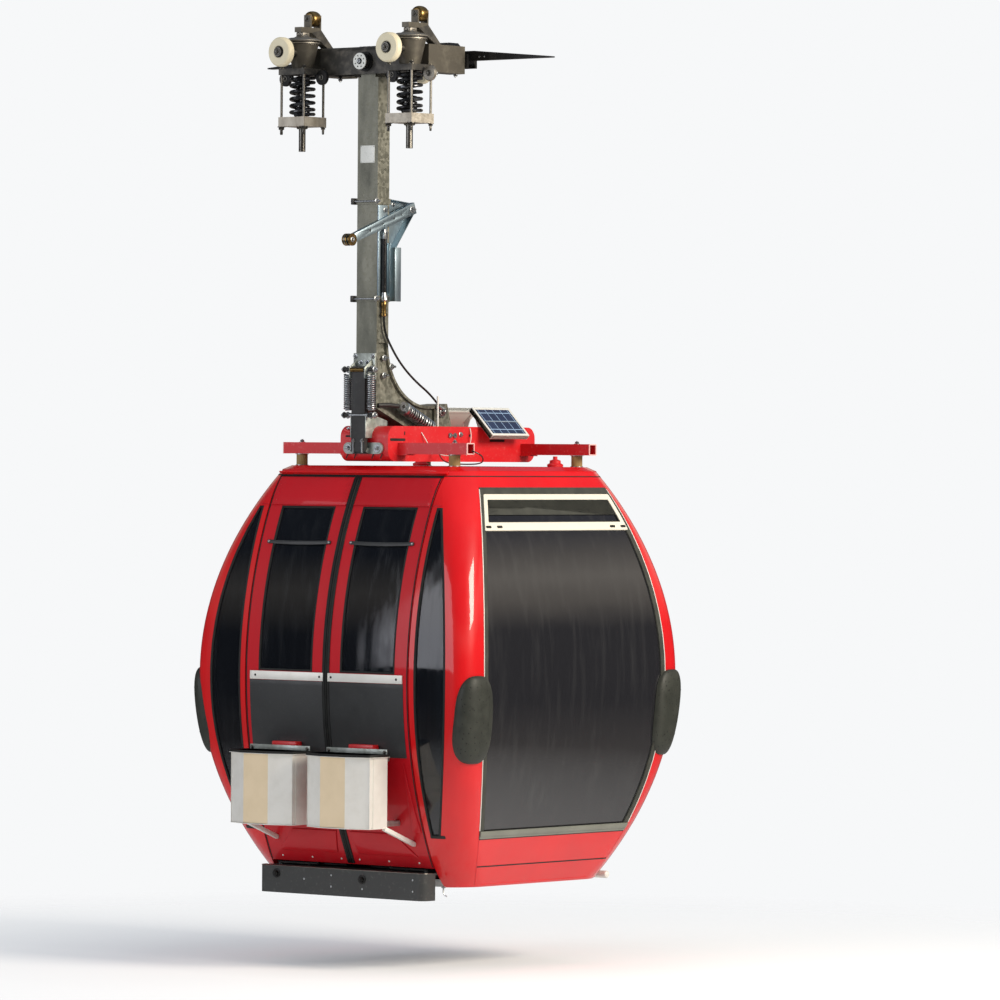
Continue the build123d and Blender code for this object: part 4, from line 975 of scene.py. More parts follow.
@dataclass(frozen=True)
class Glazing(Finish):
    """Tinted plastic pane: it mirrors more at a glance, lets some light through and has wiped smears."""

    tint: str = "#7d8286"
    film: float = 0.35
    mirror: float = 0.05

    def surface(self, tree: Any, place: Any) -> Any:
        """Builds a pane from what it lets through, its film and its mirror.

        Args:
            tree: The material's node tree.
            place: Socket with the point in metres.

        Returns:
            The shader's output socket.
        """
        smears = self.noise(tree, place, 0.05, 5.0, (1, 1, 9))
        haze = self.spread(tree, smears, self.film, self.film + 0.04, 0.45, 0.8)
        through = node(tree, "BsdfTransparent", {"Color": linear(self.tint)}).outputs[0]
        streaked = self.blend(tree, self.spread(tree, smears, 0.0, 0.10, 0.5, 0.8), self.colour, "#6f6f6c")
        film = node(tree, "BsdfDiffuse", {"Roughness": 0.4}, {"Color": streaked}).outputs[0]
        body = node(tree, "MixShader", links={0: haze, 1: through, 2: film}).outputs[0]
        facing = node(tree, "LayerWeight", {"Blend": 0.5}).outputs["Facing"]
        steep = node(tree, "Math", {"operation": "POWER", 1: 4.0}, {0: facing}).outputs[0]
        share = self.spread(tree, steep, self.mirror, 1.0, 0.0, 1.0)
        normal = self.bump(tree, self.noise(tree, place, 0.25, 1.0), 1.2 * MILLIMETRE, 0.5)
        rough = self.spread(tree, smears, self.roughness, self.roughness + 0.12, 0.45, 0.8)
        shine = node(
            tree, "BsdfGlossy", {"Color": (1, 1, 1, 1)}, {"Roughness": rough, "Normal": normal}
        ).outputs[0]
        return node(tree, "MixShader", links={0: share, 1: body, 2: shine}).outputs[0]


@dataclass(frozen=True)
class Cells(Finish):
    """Silicon cells behind a clear front: dark blue squares with pale lines between them."""

    line: str = "#8fa9c4"
    pitch: float = 0.062
    gap: float = 2.2 * MILLIMETRE

    def surface(self, tree: Any, place: Any) -> Any:
        """Builds the cells on a plane that slopes along X and Z.

        Args:
            tree: The material's node tree.
            place: Socket with the point in metres.

        Returns:
            The shader's output socket.
        """
        parts = node(tree, "SeparateXYZ", links={0: place})
        flat = node(tree, "CombineXYZ", links={0: parts.outputs["Y"], 1: parts.outputs["Z"]}).outputs[0]
        settings = {
            "offset": 0.0, "Scale": 1.0, "Brick Width": self.pitch, "Row Height": self.pitch * 0.7,
            "Mortar Size": self.gap, "Mortar Smooth": 0.1, "Color1": linear(self.colour),
            "Color2": linear("#26314d"), "Mortar": linear(self.line),
        }
        colour = node(tree, "TexBrick", settings, {"Vector": flat}).outputs["Color"]
        settings = {"Roughness": self.roughness, "Coat Weight": 0.6, "Coat Roughness": 0.03}
        return node(tree, "BsdfPrincipled", settings, {"Base Color": colour}).outputs[0]


@dataclass(frozen=True)
class Ground(Finish):
    """Plain pale floor that melts into the pale background past its rim."""

    fade_start: float = 1.6
    fade_end: float = 5.5

    def surface(self, tree: Any, place: Any) -> Any:
        """Builds a matt floor that is clear towards its rim.

        Args:
            tree: The material's node tree.
            place: Socket with the point in metres.

        Returns:
            The shader's output socket.
        """
        flat = node(tree, "VectorMath", {"operation": "MULTIPLY", 1: (1, 1, 0)}, {0: place}).outputs[0]
        far = node(tree, "VectorMath", {"operation": "LENGTH"}, {0: flat}).outputs["Value"]
        share = self.spread(tree, far, 0.0, 1.0, self.fade_start, self.fade_end)
        body = node(tree, "BsdfDiffuse", {"Color": linear(self.colour)}).outputs[0]
        clear = node(tree, "BsdfTransparent").outputs[0]
        return node(tree, "MixShader", links={0: share, 1: body, 2: clear}).outputs[0]


# Moulded body skin: deep red under a clear coat, so that highlights are crisp and the colour stays full
BODY_RED = Gelcoat("red gelcoat", "#cd0a0f", 0.36, coat=0.7)
# Stove-enamelled door panels: the same red, with a thinner coat and less shine
DOOR_RED = Gelcoat("red enamel", "#b90617", 0.46, dark="#980717", coat=0.3)
# Powder-coated steel of the roof frame: satin, with knocks down to a paler primer
FRAME_RED = Coated("red powder coat", "#c8141b", 0.42, worn="#d98078", wear=0.35, coat=0.3)
# Sawn ends of the square tubes and the lip under the walls' rim: red coat painted pale pink as a highlight,
# with paler specks of wear
WORN_RED_WITH_PAINTED_HIGHLIGHT = Coated("worn red coat with painted highlight", "#e6a9a2", 0.5, worn="#f2e4e0", wear=0.6, coat=0.1)
# Hot-dipped zinc of the arm: mottled grey with crystals
GALVANISED = Galvanised("galvanised steel", "#7b7a6c", 0.46)
# Pale zinc of brackets and link plates: cleaner than the arm, faintly green
PALE_ZINC = Galvanised("pale galvanised plate", "#b4bbb6", 0.42, pale="#cfd3cd", dark="#84897f")
# Bright zinc plate of bolts, rods and washers: clean, a little blue
ZINC = BareMetal("zinc plated steel", "#bcc0c2", 0.32, stain="#8f9496", stretch=(1, 1, 4))
# Greased steel of hubs, rods and axle ends: darker than fresh zinc
DARK_ZINC = BareMetal("greased steel", "#77756f", 0.34, stain="#3c3a36", stretch=(1, 1, 6))
# Blue-passivated sheet of the release bracket: a cool tint on a fine rolled grain
BLUE_ZINC = BareMetal("blue passivated sheet", "#a9bcc6", 0.36, stain="#8799a3", stretch=(1, 1, 30))
# Cast beam of the grip: a charcoal coat, rubbed at its edges
CASTING = Cast("charcoal coated casting", "#3d3b37", 0.44, metallic=0.35)
# Machined heads, cones and levers of the grip: warm grey steel that mirrors softly
WARM_STEEL = Cast("warm grey machined steel", "#615c52", 0.42, rubbed="#8d8778", metallic=0.6)
# Cast lower plates of the spring packs: zinc gone cream
CREAM_ZINC = Galvanised("cream zinc casting", "#c4bcac", 0.5, pale="#dcd6ca", dark="#867c6c", crystal=0.01)
# Black forged jaws and noses: nearly black with a low sheen
BLACK_STEEL = Cast("black forged steel", "#1b1b1b", 0.42, rubbed="#45423d", metallic=0.5)
# Black painted flat bar of the strut
BLACK_PAINT = Coated("black paint", "#232220", 0.48, worn="#57544d", wear=0.25)
# Oiled spring steel of the coils: black, with pale patches painted on as glints
SPRING_STEEL_WITH_PAINTED_GLINTS = Cast("black spring steel with painted glints", "#2a2a2c", 0.20, rubbed="#b9bcc0", metallic=0.8)
# Ground rollers with a tan of old grease
ROLLER_BRASS = BareMetal("greased bronze", "#94794a", 0.3, stain="#57462b", stretch=(1, 1, 1))
# Cast nylon wheels: cream, waxy, with darker marks from the rail
NYLON = Moulded("cream nylon", "#ddd2b4", 0.42, shade="#b9aa84")
# Domes and blocks of the spring packs: zinc casting gone matt
MATT_ZINC = BareMetal("matt zinc casting", "#aca79c", 0.5, stain="#837d72", stretch=(1, 1, 2))
# Control cable: black plastic sheath that catches a white line of light
SHEATH = Moulded("black cable sheath", "#141414", 0.16, shade="#232323")
# Black seals and edge trims: extruded rubber, dull
SEAL = Rubber("black extruded rubber", "#161716", 0.55, bloom="#2f312d")
# Frames of the end windows: dark green-grey rubber
PANE_SEAL = Rubber("grey window rubber", "#363731", 0.5, bloom="#4c4d44")
# Corner bumpers: dark green-grey moulded rubber with small scattered pits
BUMPER = Rubber("pitted bumper rubber", "#2c2e28", 0.46, bloom="#3b3d35", hole_pitch=21 * MILLIMETRE)
# Rubber blocks under the roof frame: tan natural rubber
TAN_RUBBER = Rubber("tan natural rubber", "#8a7142", 0.6, bloom="#a89260")
# Scuff panels of the doors: textured anthracite coat on steel
ANTHRACITE = Coated("anthracite textured coat", "#2e2f2f", 0.45, worn="#454645", wear=0.3, coat=0.15)
# Step under the doors: the same coat, worn by boots to pale specks
STEP_COAT = Coated("scuffed anthracite coat", "#323332", 0.46, worn="#63635e", wear=0.4, grain=4 * MILLIMETRE)
# Seat frames: grey powder coat
FRAME_GREY = Coated("grey powder coat", "#84868a", 0.42)
# Guide tube, plates and solar frames: white powder coat
WHITE = Coated("white powder coat", "#d6d5cd", 0.38, worn="#a8a69d", wear=0.35)
# Vent frames: anodised aluminium, warm white with a fine grain along the bars
VENT_WHITE = Coated("warm white anodised frame", "#ddd6c4", 0.36, worn="#c6bead", wear=0.5)
# Bent sheet of the ski pockets: bare aluminium with a vertical rolled grain
SHEET = BareMetal("bare rolled aluminium", "#e4e1d9", 0.46, stain="#cdc8bc", stretch=(1, 1, 80), metal=0.35)
# Front facet of the pockets: the same sheet, tinted tan as a painted reflection of warm ground
PAINTED_REFLECTION_SHEET = BareMetal(
    "aluminium with painted warm reflection", "#e0cba9", 0.5, stain="#d2bd98", stretch=(1, 1, 80), metal=0.25,
)
# Sill strips under the windows: grey moulded plastic
SILL = Moulded("grey moulded strip", "#77786d", 0.4, shade="#5c5d54")
# End panes: smoked plastic with a dark film that lets little through
END_PANE = Glazing("smoked plastic with dark film", "#252528", 0.05, tint="#3c3d42", film=0.80, mirror=0.06)
# Door and side panes: smoked plastic that shows the inside
DOOR_PANE = Glazing("smoked plastic", "#2b2f36", 0.04, tint="#8a8f94", film=0.22, mirror=0.05)
# Seats: anthracite moulded shells
SEAT = Moulded("anthracite seat shell", "#3a3c40", 0.48, shade="#26272a")
# Floor: bare aluminium sheet, walked dull
FLOOR_SHEET = BareMetal("walked aluminium sheet", "#8e8f8f", 0.5, stain="#5f5f5d", stretch=(1, 30, 1))
# Solar cells: navy silicon behind clear plastic, with fine pale lines
CELLS = Cells("solar cells", "#1e2740", 0.12)

# The record's material slot of each finish, where a piece names no other
SLOTS = {
    BODY_RED: "red_body", DOOR_RED: "red_body", FRAME_RED: "red_steel", WORN_RED_WITH_PAINTED_HIGHLIGHT: "red_steel",
    ZINC: "zinc_steel", DARK_ZINC: "zinc_steel", MATT_ZINC: "grip_zinc", PALE_ZINC: "galvanised_steel",
    BLUE_ZINC: "galvanised_steel", BLACK_STEEL: "black_steel", BLACK_PAINT: "black_steel",
    SPRING_STEEL_WITH_PAINTED_GLINTS: "spring_steel", ROLLER_BRASS: "roller_brass", NYLON: "cream_nylon", SHEATH: "cable_sheath",
    SEAL: "bumper_rubber", PANE_SEAL: "bumper_rubber", BUMPER: "bumper_rubber", SILL: "anthracite_steel",
    ANTHRACITE: "anthracite_steel", WHITE: "white_steel", VENT_WHITE: "white_frame", SHEET: "bare_aluminium",
    CELLS: "solar_cells", SEAT: "seat_pad",
}


@dataclass
class Workshop:
    """Keeps the frame and turns finished forms into pieces of the model."""

    frame: dict[str, Any]
    skin: Skin = field(default_factory=Skin)
    count: int = 0

    def add(
        self, name: str, form: Form, finish: Finish, body: str = "carrier", slot: str = "",
        replaces: Sequence[str] = (), smooth: float = SMOOTH_ANGLE, accents: Sequence[Any] = (),
    ) -> bpy.types.Object:
        """Makes a piece from a form.

        Args:
            name: The piece's name.
            form: Its mesh.
            finish: Its finish.
            body: The body that it rides on.
            slot: The record's material slot, the finish's own where left out; looked up but not given to the
                piece.
            replaces: Nodes of the frame that it stands for.
            smooth: Edges sharper than this angle stay crisp.
            accents: Rows of another finish and the two corners of a box whose faces it covers.

        Returns:
            The piece's object.
        """
        bmesh.ops.recalc_face_normals(form.bm, faces=form.bm.faces[:])
        mesh = bpy.data.meshes.new(name)
        form.bm.to_mesh(mesh)
        form.bm.free()
        mesh.polygons.foreach_set("use_smooth", [True] * len(mesh.polygons))
        mesh.set_sharp_from_angle(angle=smooth)
        self.paint(mesh, finish, accents)
        piece = bpy.data.objects.new(name, mesh)
        bpy.context.scene.collection.objects.link(piece)
        slot = slot or SLOTS[finish]
        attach(piece, body)
        if replaces:
            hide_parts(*replaces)
        self.count += 1
        log.info("%s: %d faces on %s", name, len(mesh.polygons), body)
        return piece

    def cord(
        self, name: str, points: Sequence[Solid], diameter: float, finish: Finish, stiffness: str,
        replaces: Sequence[str] = (),
    ) -> None:
        """Args:
            name: The piece's name.
            points: Control points of its smooth line.
            diameter: Its diameter.
            finish: Its finish.
            stiffness: How stiff it is; not used.
            replaces: Nodes of the frame that it stands for.
        """
        curve = bpy.data.curves.new(name, "CURVE")
        curve.dimensions = "3D"
        curve.resolution_u = 12
        spline = curve.splines.new("NURBS")
        spline.points.add(len(points) - 1)
        for spot, point in zip(spline.points, points):
            spot.co = (*point, 1)
        spline.order_u = 3
        spline.use_endpoint_u = True
        piece = bpy.data.objects.new(name, curve)
        bpy.context.scene.collection.objects.link(piece)
        line = [spot.co.copy() for spot in bpy.data.meshes.new_from_object(piece).vertices]
        curve.bevel_depth = diameter / 2
        curve.bevel_resolution = 3
        curve.use_fill_caps = True
        curve.materials.append(finish.material())
        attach(piece, "carrier")
        if replaces:
            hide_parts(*replaces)
        self.count += 1

    def paint(self, mesh: bpy.types.Mesh, finish: Finish, accents: Sequence[Any]) -> None:
        """Gives a mesh its finish, and others to the faces whose middles lie in boxes.

        Args:
            mesh: The mesh.
            finish: Its main finish.
            accents: Rows of a finish and the two corners of its box; a later row wins.
        """
        mesh.materials.clear()
        mesh.materials.append(finish.material())
        for index, (accent, low, high) in enumerate(accents, 1):
            mesh.materials.append(accent.material())
            for face in mesh.polygons:
                if all(a <= part <= b for a, part, b in zip(low, face.center, high)):
                    face.material_index = index

    def dress(self, finish: Finish, *names: str, accents: Sequence[Any] = ()) -> None:
        """Gives nodes of the frame their finishes.

        Args:
            finish: The main finish.
            names: The nodes.
            accents: Rows of another finish and the two corners of a box whose faces it covers.
        """
        for name in names:
            self.paint(self.frame["nodes"][name].data, finish, accents)
            log.info("%s: %s", name, finish.name)


@dataclass
class Studio:
    """Pale floor, soft light and the camera."""

    sight: Solid = (0.0, 0.280, -2.047)
    distance: float = 34.6
    heading: float = 40.0
    turn_right: float = 0.536
    pitch_down: float = 0.398
    roll: float = 0.41
    lens: float = 233.1
    floor_z: float = -4.75
    floor_r: float = 16.0
    background: str = "#f7f8f9"
    sky: float = 0.78
    mirror: float = 1.45
    bands: tuple[tuple[float, str], ...] = (
        (-1.0, "#6d6966"), (-0.24, "#7b746e"), (-0.10, "#353337"), (0.12, "#38373b"), (0.20, "#b9afa2"),
        (0.27, "#e0d6c8"), (0.33, "#b0a89e"), (0.40, "#4c5160"), (0.62, "#59606e"), (1.0, "#98a2b0"),
    )
    bright_side: Solid = (0.64, 0.77, 0.0)

    def camera(self) -> None:
        """Sets the camera at the photograph's angle."""
        angle = math.radians(self.heading)
        data = bpy.data.cameras.new("camera")
        data.lens = self.lens
        data.sensor_width = 36.0
        data.clip_end = 200.0
        camera = bpy.data.objects.new("camera", data)
        place = Vector(self.sight) + self.distance * Vector((math.sin(angle), -math.cos(angle), 0))
        turned = (
            Matrix.Rotation(math.radians(self.heading - self.turn_right), 4, "Z")
            @ Matrix.Rotation(math.radians(90 - self.pitch_down), 4, "X")
            @ Matrix.Rotation(math.radians(self.roll), 4, "Z")
        )
        camera.matrix_world = Matrix.Translation(place) @ turned
        bpy.context.scene.collection.objects.link(camera)
        bpy.context.scene.camera = camera

    def lamp(self, name: str, direction: Solid, size: float, power: float, colour: str) -> None:
        """Adds a soft square lamp that faces the cabin's middle.

        Args:
            name: The lamp's name.
            direction: Where it stands, seen from the cabin's middle.
            size: Side of its square in metres.
            power: Its power in watts.
            colour: Its colour.
        """
        data = bpy.data.lights.new(name, "AREA")
        data.size = size
        data.energy = power
        data.color = linear(colour)[:3]
        lamp = bpy.data.objects.new(name, data)
        middle = Vector((0, 0.28, -2.6))
        lamp.location = middle + Vector(direction)
        lamp.rotation_euler = (-Vector(direction)).to_track_quat("-Z", "Y").to_euler()
        bpy.context.scene.collection.objects.link(lamp)

    def light(self) -> None:
        """Sets the lamps and a sky of level bands, dark round the horizon."""
        self.lamp("key_lamp", (10.0, 0.5, 4.5), 4.0, 1250.0, "#fff4e4")
        self.lamp("fill_lamp", (-5.0, -12.0, 3.0), 7.0, 400.0, "#f4f6ff")
        world = bpy.data.worlds.new("studio")
        bpy.context.scene.world = world
        world.use_nodes = True
        tree = world.node_tree
        tree.nodes.clear()
        way = node(tree, "TexCoord").outputs["Generated"]
        height = node(tree, "SeparateXYZ", links={0: way}).outputs["Z"]
        place = node(tree, "MapRange", {"From Min": -1.0, "From Max": 1.0}, {"Value": height}).outputs[0]
        ramp = node(tree, "ValToRGB", links={0: place})
        while len(ramp.color_ramp.elements) < len(self.bands):
            ramp.color_ramp.elements.new(0.5)
        for element, (level, colour) in zip(ramp.color_ramp.elements, self.bands):
            element.position = (level + 1) / 2
            element.color = linear(colour)
        settings = {"operation": "DOT_PRODUCT", 1: self.bright_side}
        toward = node(tree, "VectorMath", settings, {0: way}).outputs["Value"]
        settings = {"From Min": -0.6, "From Max": 0.5, "To Min": 0.30 * self.mirror, "To Max": self.mirror}
        power = node(tree, "MapRange", settings, {"Value": toward}).outputs[0]
        banded = node(tree, "Background", links={"Color": ramp.outputs[0], "Strength": power}).outputs[0]
        soft = node(tree, "Background", {"Color": linear("#e9eef4"), "Strength": self.sky}).outputs[0]
        pale = node(tree, "Background", {"Color": linear(self.background), "Strength": 1.0}).outputs[0]
        rays = node(tree, "LightPath").outputs
        lit = node(tree, "MixShader", links={0: rays["Is Glossy Ray"], 1: soft, 2: banded}).outputs[0]
        mixed = node(tree, "MixShader", links={0: rays["Is Camera Ray"], 1: lit, 2: pale}).outputs[0]
        node(tree, "OutputWorld", links={"Surface": mixed})

    def floor(self) -> None:
        """Lays the pale floor."""
        form = bmesh.new()
        bmesh.ops.create_circle(form, cap_ends=True, segments=96, radius=self.floor_r)
        mesh = bpy.data.meshes.new("floor")
        form.to_mesh(mesh)
        form.free()
        mesh.materials.append(Ground("pale floor", "#f4f4f4").material())
        floor = bpy.data.objects.new("floor", mesh)
        floor.location = (0, 0.28, self.floor_z)
        bpy.context.scene.collection.objects.link(floor)

    def build(self) -> None:
        """Builds the studio."""
        self.camera()
        self.light()
        self.floor()
        scene = bpy.context.scene
        scene.view_settings.view_transform = "Standard"


@dataclass
class CabinShell:
    """Red shell: its joints, rims, gutter and sills on top of the frame's panels."""

    shop: Workshop
    ring_low: float = 1.063
    joint: float = 5 * MILLIMETRE
    low_joint: Flat = (-0.977, -0.971)
    end_window: Flat = (-0.820, 1.003)
    back_window: Flat = (-0.790, 0.970)
    side_window: Flat = (-0.817, 0.896)
    side_window_inner: float = 0.600
    side_foot: Flat = (0.600, 0.690)
    seal: float = 34 * MILLIMETRE
    side_seal: float = 13 * MILLIMETRE
    seal_proud: Flat = (-8 * MILLIMETRE, 1.5 * MILLIMETRE)
    sill: float = 38 * MILLIMETRE
    rim_r: float = 13 * MILLIMETRE
    hook: Solid = (0.610, -0.392, -4.296)
    guide_end: Solid = (0.620, 0.960, -4.293)
    gutter_half: float = 0.575

    def build(self) -> None:
        """Dresses the shell's nodes and adds its trim."""
        for _, name in SIDES:
            self.shop.dress(
                BODY_RED, f"pillar_door_{name}", f"pillar_back_{name}", f"end_panel_{name}",
                f"end_header_{name}", f"side_panel_{name}",
            )
            self.shop.dress(END_PANE, f"end_window_{name}")
            self.shop.dress(DOOR_PANE, f"side_window_{name}")
        self.shop.dress(BODY_RED, "back_panel", "back_header", "roof")
        self.shop.dress(DOOR_PANE, "back_window")
        self.shop.dress(FLOOR_SHEET, "floor_pan")
        self.shop.dress(WHITE, "guide_tube")
        self.seals()
        self.sills()
        self.grooves()
        self.bottom_rim()
        self.gutter()

    def ring(self, form: Form, side: Side, outline: Sequence[Flat], width: float) -> None:
        """Adds a rubber frame of even width inside an outline to a form."""
        hole = shrink(outline, width)
        form.panel(self.shop.skin, side, outline, *self.seal_proud, 1.2 * MILLIMETRE, [hole])

    def seals(self) -> None:
        """Adds the rubber frames round the windows, and the pale strips beside the end ones, painted
        highlights on the panes' edges.
        """
        skin = self.shop.skin
        grey, black, bright = Form(), Form(), Form()
        low, high = self.end_window
        corner = 12 * MILLIMETRE
        for side in (Side.LEFT, Side.RIGHT):
            outline = soften(skin.band(side, skin.end_pillar, low, high), corner)
            self.ring(grey, side, outline, self.seal)
            # Pale strips along the end panes' upright edges: painted highlights
            for edge in ENDS:
                inset = skin.end_pillar - 1 * MILLIMETRE
                edge_strip = self.upright(side, edge, inset, 5 * MILLIMETRE, low + 0.04, high - 0.01)
                bright.panel(skin, side, edge_strip, -0.002, 3.5 * MILLIMETRE, 0.001)
        outline = soften(skin.band(Side.BACK, skin.pillar, *self.back_window), corner)
        self.ring(grey, Side.BACK, outline, self.seal)
        level = self.side_window[0]
        for sign, _ in SIDES:
            self.ring(black, Side.DOOR, self.side_outline(sign), self.side_seal)
            left, right = sorted(sign * u for u in self.side_foot)
            foot = rounded((left, level - 0.004), (right, level + 0.012), 0.003, 2)
            black.panel(skin, Side.DOOR, foot, -0.004, 3 * MILLIMETRE, 0.001)
        self.shop.add("end_window_seals", grey, PANE_SEAL)
        self.shop.add("side_window_seals", black, SEAL)
        self.shop.add("pane_edge_painted_highlights", bright, SHEET)

    def upright(
        self, side: Side, edge: int, inset: float, width: float, low: float, high: float,
    ) -> list[Flat]:
        """Outline of an upright strip that follows a pillar.

        Args:
            side: The face of the cabin.
            edge: -1 or 1, for the face's left or right pillar.
            inset: Distance of its outer edge from the face's end.
            width: Its width, towards the face's middle.
            low: Its lower level.
            high: Its upper level.

        Returns:
            The outline as (u, level) points, anticlockwise.
        """
        skin = self.shop.skin
        half = skin.half_width if side in (Side.LEFT, Side.RIGHT) else skin.half_length
        steps = 16
        levels = [low + (high - low) * n / steps for n in range(steps + 1)]
        outer = [(edge * (skin.reach(half, level) - inset), level) for level in levels]
        inner = [(edge * (skin.reach(half, level) - inset - width), level) for level in levels]
        return inner[::-1] + outer if edge > 0 else outer[::-1] + inner

    def side_outline(self, sign: int) -> list[Flat]:
        """Outline of a crescent side window.

        Args:
            sign: -1 for the one left of the doors and 1 for the right.

        Returns:
            The outline as (u, level) points, anticlockwise.
        """
        skin = self.shop.skin
        low, high = self.side_window
        steps = 14
        levels = [low + (high - low) * n / steps for n in range(steps + 1)]
        outer = [(skin.reach(skin.half_length, level) - skin.pillar, level) for level in levels]
        outline = [(self.side_window_inner, low), *outer, (self.side_window_inner, high)]
        if sign < 0:
            outline = [(-u, level) for u, level in reversed(outline)]
        return outline

    def sills(self) -> None:
        """Adds the grey strips under the end and back windows, and a black line under each strip as its
        painted shadow.
        """
        skin = self.shop.skin
        form, line = Form(), Form()
        low, back = self.end_window[0], self.back_window[0]
        for side, level in ((Side.LEFT, low), (Side.RIGHT, low), (Side.BACK, back)):
            edge = skin.edge(side)
            low = skin.band(side, edge + 2 * MILLIMETRE, level - 0.003, level + 0.012, 2)
            high = skin.band(side, edge + 4 * MILLIMETRE, level + 0.010, level + self.sill, 2)
            # under: black line below the strip, its painted shadow
            under = skin.band(side, edge + 2 * MILLIMETRE, level - 0.008, level - 0.003, 2)
            form.panel(skin, side, low, 0.0, 5 * MILLIMETRE, 1 * MILLIMETRE)
            form.panel(skin, side, high, 0.0, 10 * MILLIMETRE, 4 * MILLIMETRE)
            line.panel(skin, side, under, 0.0, 2 * MILLIMETRE)
        self.shop.add("window_sills", form, SILL)
        self.shop.add("sill_shadow_joints", line, SEAL)

    def grooves(self) -> None:
        """Adds the dark joints between the panels."""
        skin = self.shop.skin
        form, soft = Form(), Form()
        for side in Side:
            lines = [(self.ring_low - self.joint, self.ring_low, 0.05)]
            if side is not Side.DOOR:
                lines.append((*self.low_joint, skin.edge(side) + 0.002))
            for low, high, inset in lines:
                form.panel(skin, side, skin.band(side, inset, low, high, 1), -0.002, 1.2 * MILLIMETRE)
            if side is Side.DOOR:
                continue
            for edge in ENDS:
                line = self.upright(
                    side, edge, skin.edge(side) - 0.0015, 3 * MILLIMETRE, 0.004 - skin.half_height,
                    self.end_window[0] - 0.012,
                )
                soft.panel(skin, side, line, -0.002, 0.8 * MILLIMETRE)
        for sign, _ in SIDES:
            low, high = self.side_window[1] + 0.008, self.side_window[1] + 0.012
            left, right = sorted((sign * 0.570, sign * (skin.reach(skin.half_length, high) - skin.pillar)))
            cap = [(left, low), (right, low), (right, high), (left, high)]
            soft.panel(skin, Side.DOOR, cap, -0.002, 3 * MILLIMETRE, 0.001)
        self.shop.add("panel_joints", form, SEAL)
        self.shop.add("panel_edges", soft, DOOR_RED)

    def bottom_rim(self) -> None:
        """Adds the rolled lower edge of the end and back walls, a pale bead under it as painted highlight,
        and the hook under it.
        """
        skin = self.shop.skin
        level = -skin.half_height
        steps = 24
        path = []
        for side, direction in ((Side.LEFT, 1), (Side.BACK, 1), (Side.RIGHT, -1)):
            half = skin.half_width if side in (Side.LEFT, Side.RIGHT) else skin.half_length
            reach = skin.reach(half, level)
            for n in range(steps + 1):
                share = n / steps * 2 - 1
                u = direction * share * (reach - 0.06)
                path.append(skin.point(side, u, level + 0.010, -self.rim_r + 0.002))
        self.shop.add("bottom_rim", Form().tube(path, self.rim_r, 14), BODY_RED)
        # A thin pale pink bead under the rim: painted highlight
        lip = [point + Vector((0, 0, -self.rim_r * 0.9)) for point in path]
        self.shop.add("bottom_lip_painted_highlight", Form().tube(lip, 3.5 * MILLIMETRE, 8), WORN_RED_WITH_PAINTED_HIGHLIGHT)
        hook = Form()
        x, y, z = self.hook
        bend = [(x, y, z), (x, y, z - 0.03), (x + 0.008, y, z - 0.045), (x + 0.022, y, z - 0.05)]
        hook.tube(bend, 0.004, 8)
        hook.rod((x, y, z), DOWNWARD, 0.011, 0.007, 6)
        self.shop.add("corner_hook", hook, ZINC)
        caps = Form()
        x, y, z = self.guide_end
        rim = 0.0203
        dome = ((0, 0.010), (0.012, 0.008), (0.0185, 0.003), (rim, -0.002), (rim, -0.012), (0, -0.012))
        for side in ENDS:
            caps.lathe((side * x, y, z), (side, 0, 0), dome, 28)
        self.shop.add("guide_tube_caps", caps, WHITE)

    def gutter(self) -> None:
        """Adds the rain gutter over the doors, the dark joint under it, and the strips on the roof."""
        skin = self.shop.skin
        form, line, trim = Form(), Form(), Form()
        half = self.gutter_half
        for low, high, proud in ((1.066, 1.0735, 0.018), (1.0735, 1.083, 0.007)):
            outline = ((-half, low), (half, low), (half, high), (-half, high))
            form.panel(skin, Side.DOOR, outline, 0, proud, 0.002)
        half, low, high = 0.566, 1.0505, 1.0560
        line.panel(skin, Side.DOOR, ((-half, low), (half, low), (half, high), (-half, high)), 0, 0.002)
        self.shop.add("door_gutter", form, BODY_RED)
        self.shop.add("door_top_joint", line, SEAL)
        for sign, _ in SIDES:
            x = sign * 0.655
            trim.block((x - 0.004, -0.17, -2.1345), (x + 0.004, 0.73, -2.127), 0.002)
        self.shop.add("roof_edge_trim", trim, SEAL)


@dataclass
class Vents:
    """Tilting vent lights in the tops of the end windows, with white frames."""

    shop: Workshop
    inset: float = 0.182
    levels: Flat = (0.778, 0.966)
    bar: float = 28 * MILLIMETRE
    foot: float = 42 * MILLIMETRE
    proud: float = 6 * MILLIMETRE
    gasket: float = 6 * MILLIMETRE
    slot_size: Flat = (0.044, 0.013)
    slot_places: Flat = (0.035, 0.125)

    def build(self) -> None:
        """Adds the frames, their gaskets and slots."""
        skin = self.shop.skin
        frames, gaskets, slots = Form(), Form(), Form()
        low, high = self.levels
        inset, foot, top = self.inset + self.bar, low + self.foot, high - self.bar
        width, height = self.slot_size
        near, far = self.slot_places
        for side in (Side.LEFT, Side.RIGHT):
            outer = skin.band(side, self.inset, low, high, 4)
            inner = skin.band(side, inset, foot, top, 4)
            frames.panel(skin, side, soften(outer, 0.008), -0.006, self.proud, 0.002, [soften(inner, 0.006)])
            outer = skin.band(side, inset - 0.002, foot - 0.002, top + 0.002, 4)
            inner = skin.band(side, inset + self.gasket, foot + self.gasket, top - self.gasket, 4)
            gaskets.panel(skin, side, outer, -0.008, 0.002, 0.001, [inner])
            reach = skin.reach(skin.half_width, low) - self.inset
            for u in (-reach + near, -reach + far, reach - far, reach - near):
                corner = (u - width / 2, low + 0.012)
                outline = rounded(corner, (corner[0] + width, corner[1] + height), 0.005, 3)
                slots.panel(skin, side, outline, self.proud - 0.004, self.proud + 0.0004)
        self.shop.add("vent_frames_white", frames, VENT_WHITE, replaces=["vent_frames"])
        self.shop.add("vent_gaskets", gaskets, SEAL)
        self.shop.add("vent_slots", slots, SEAL)


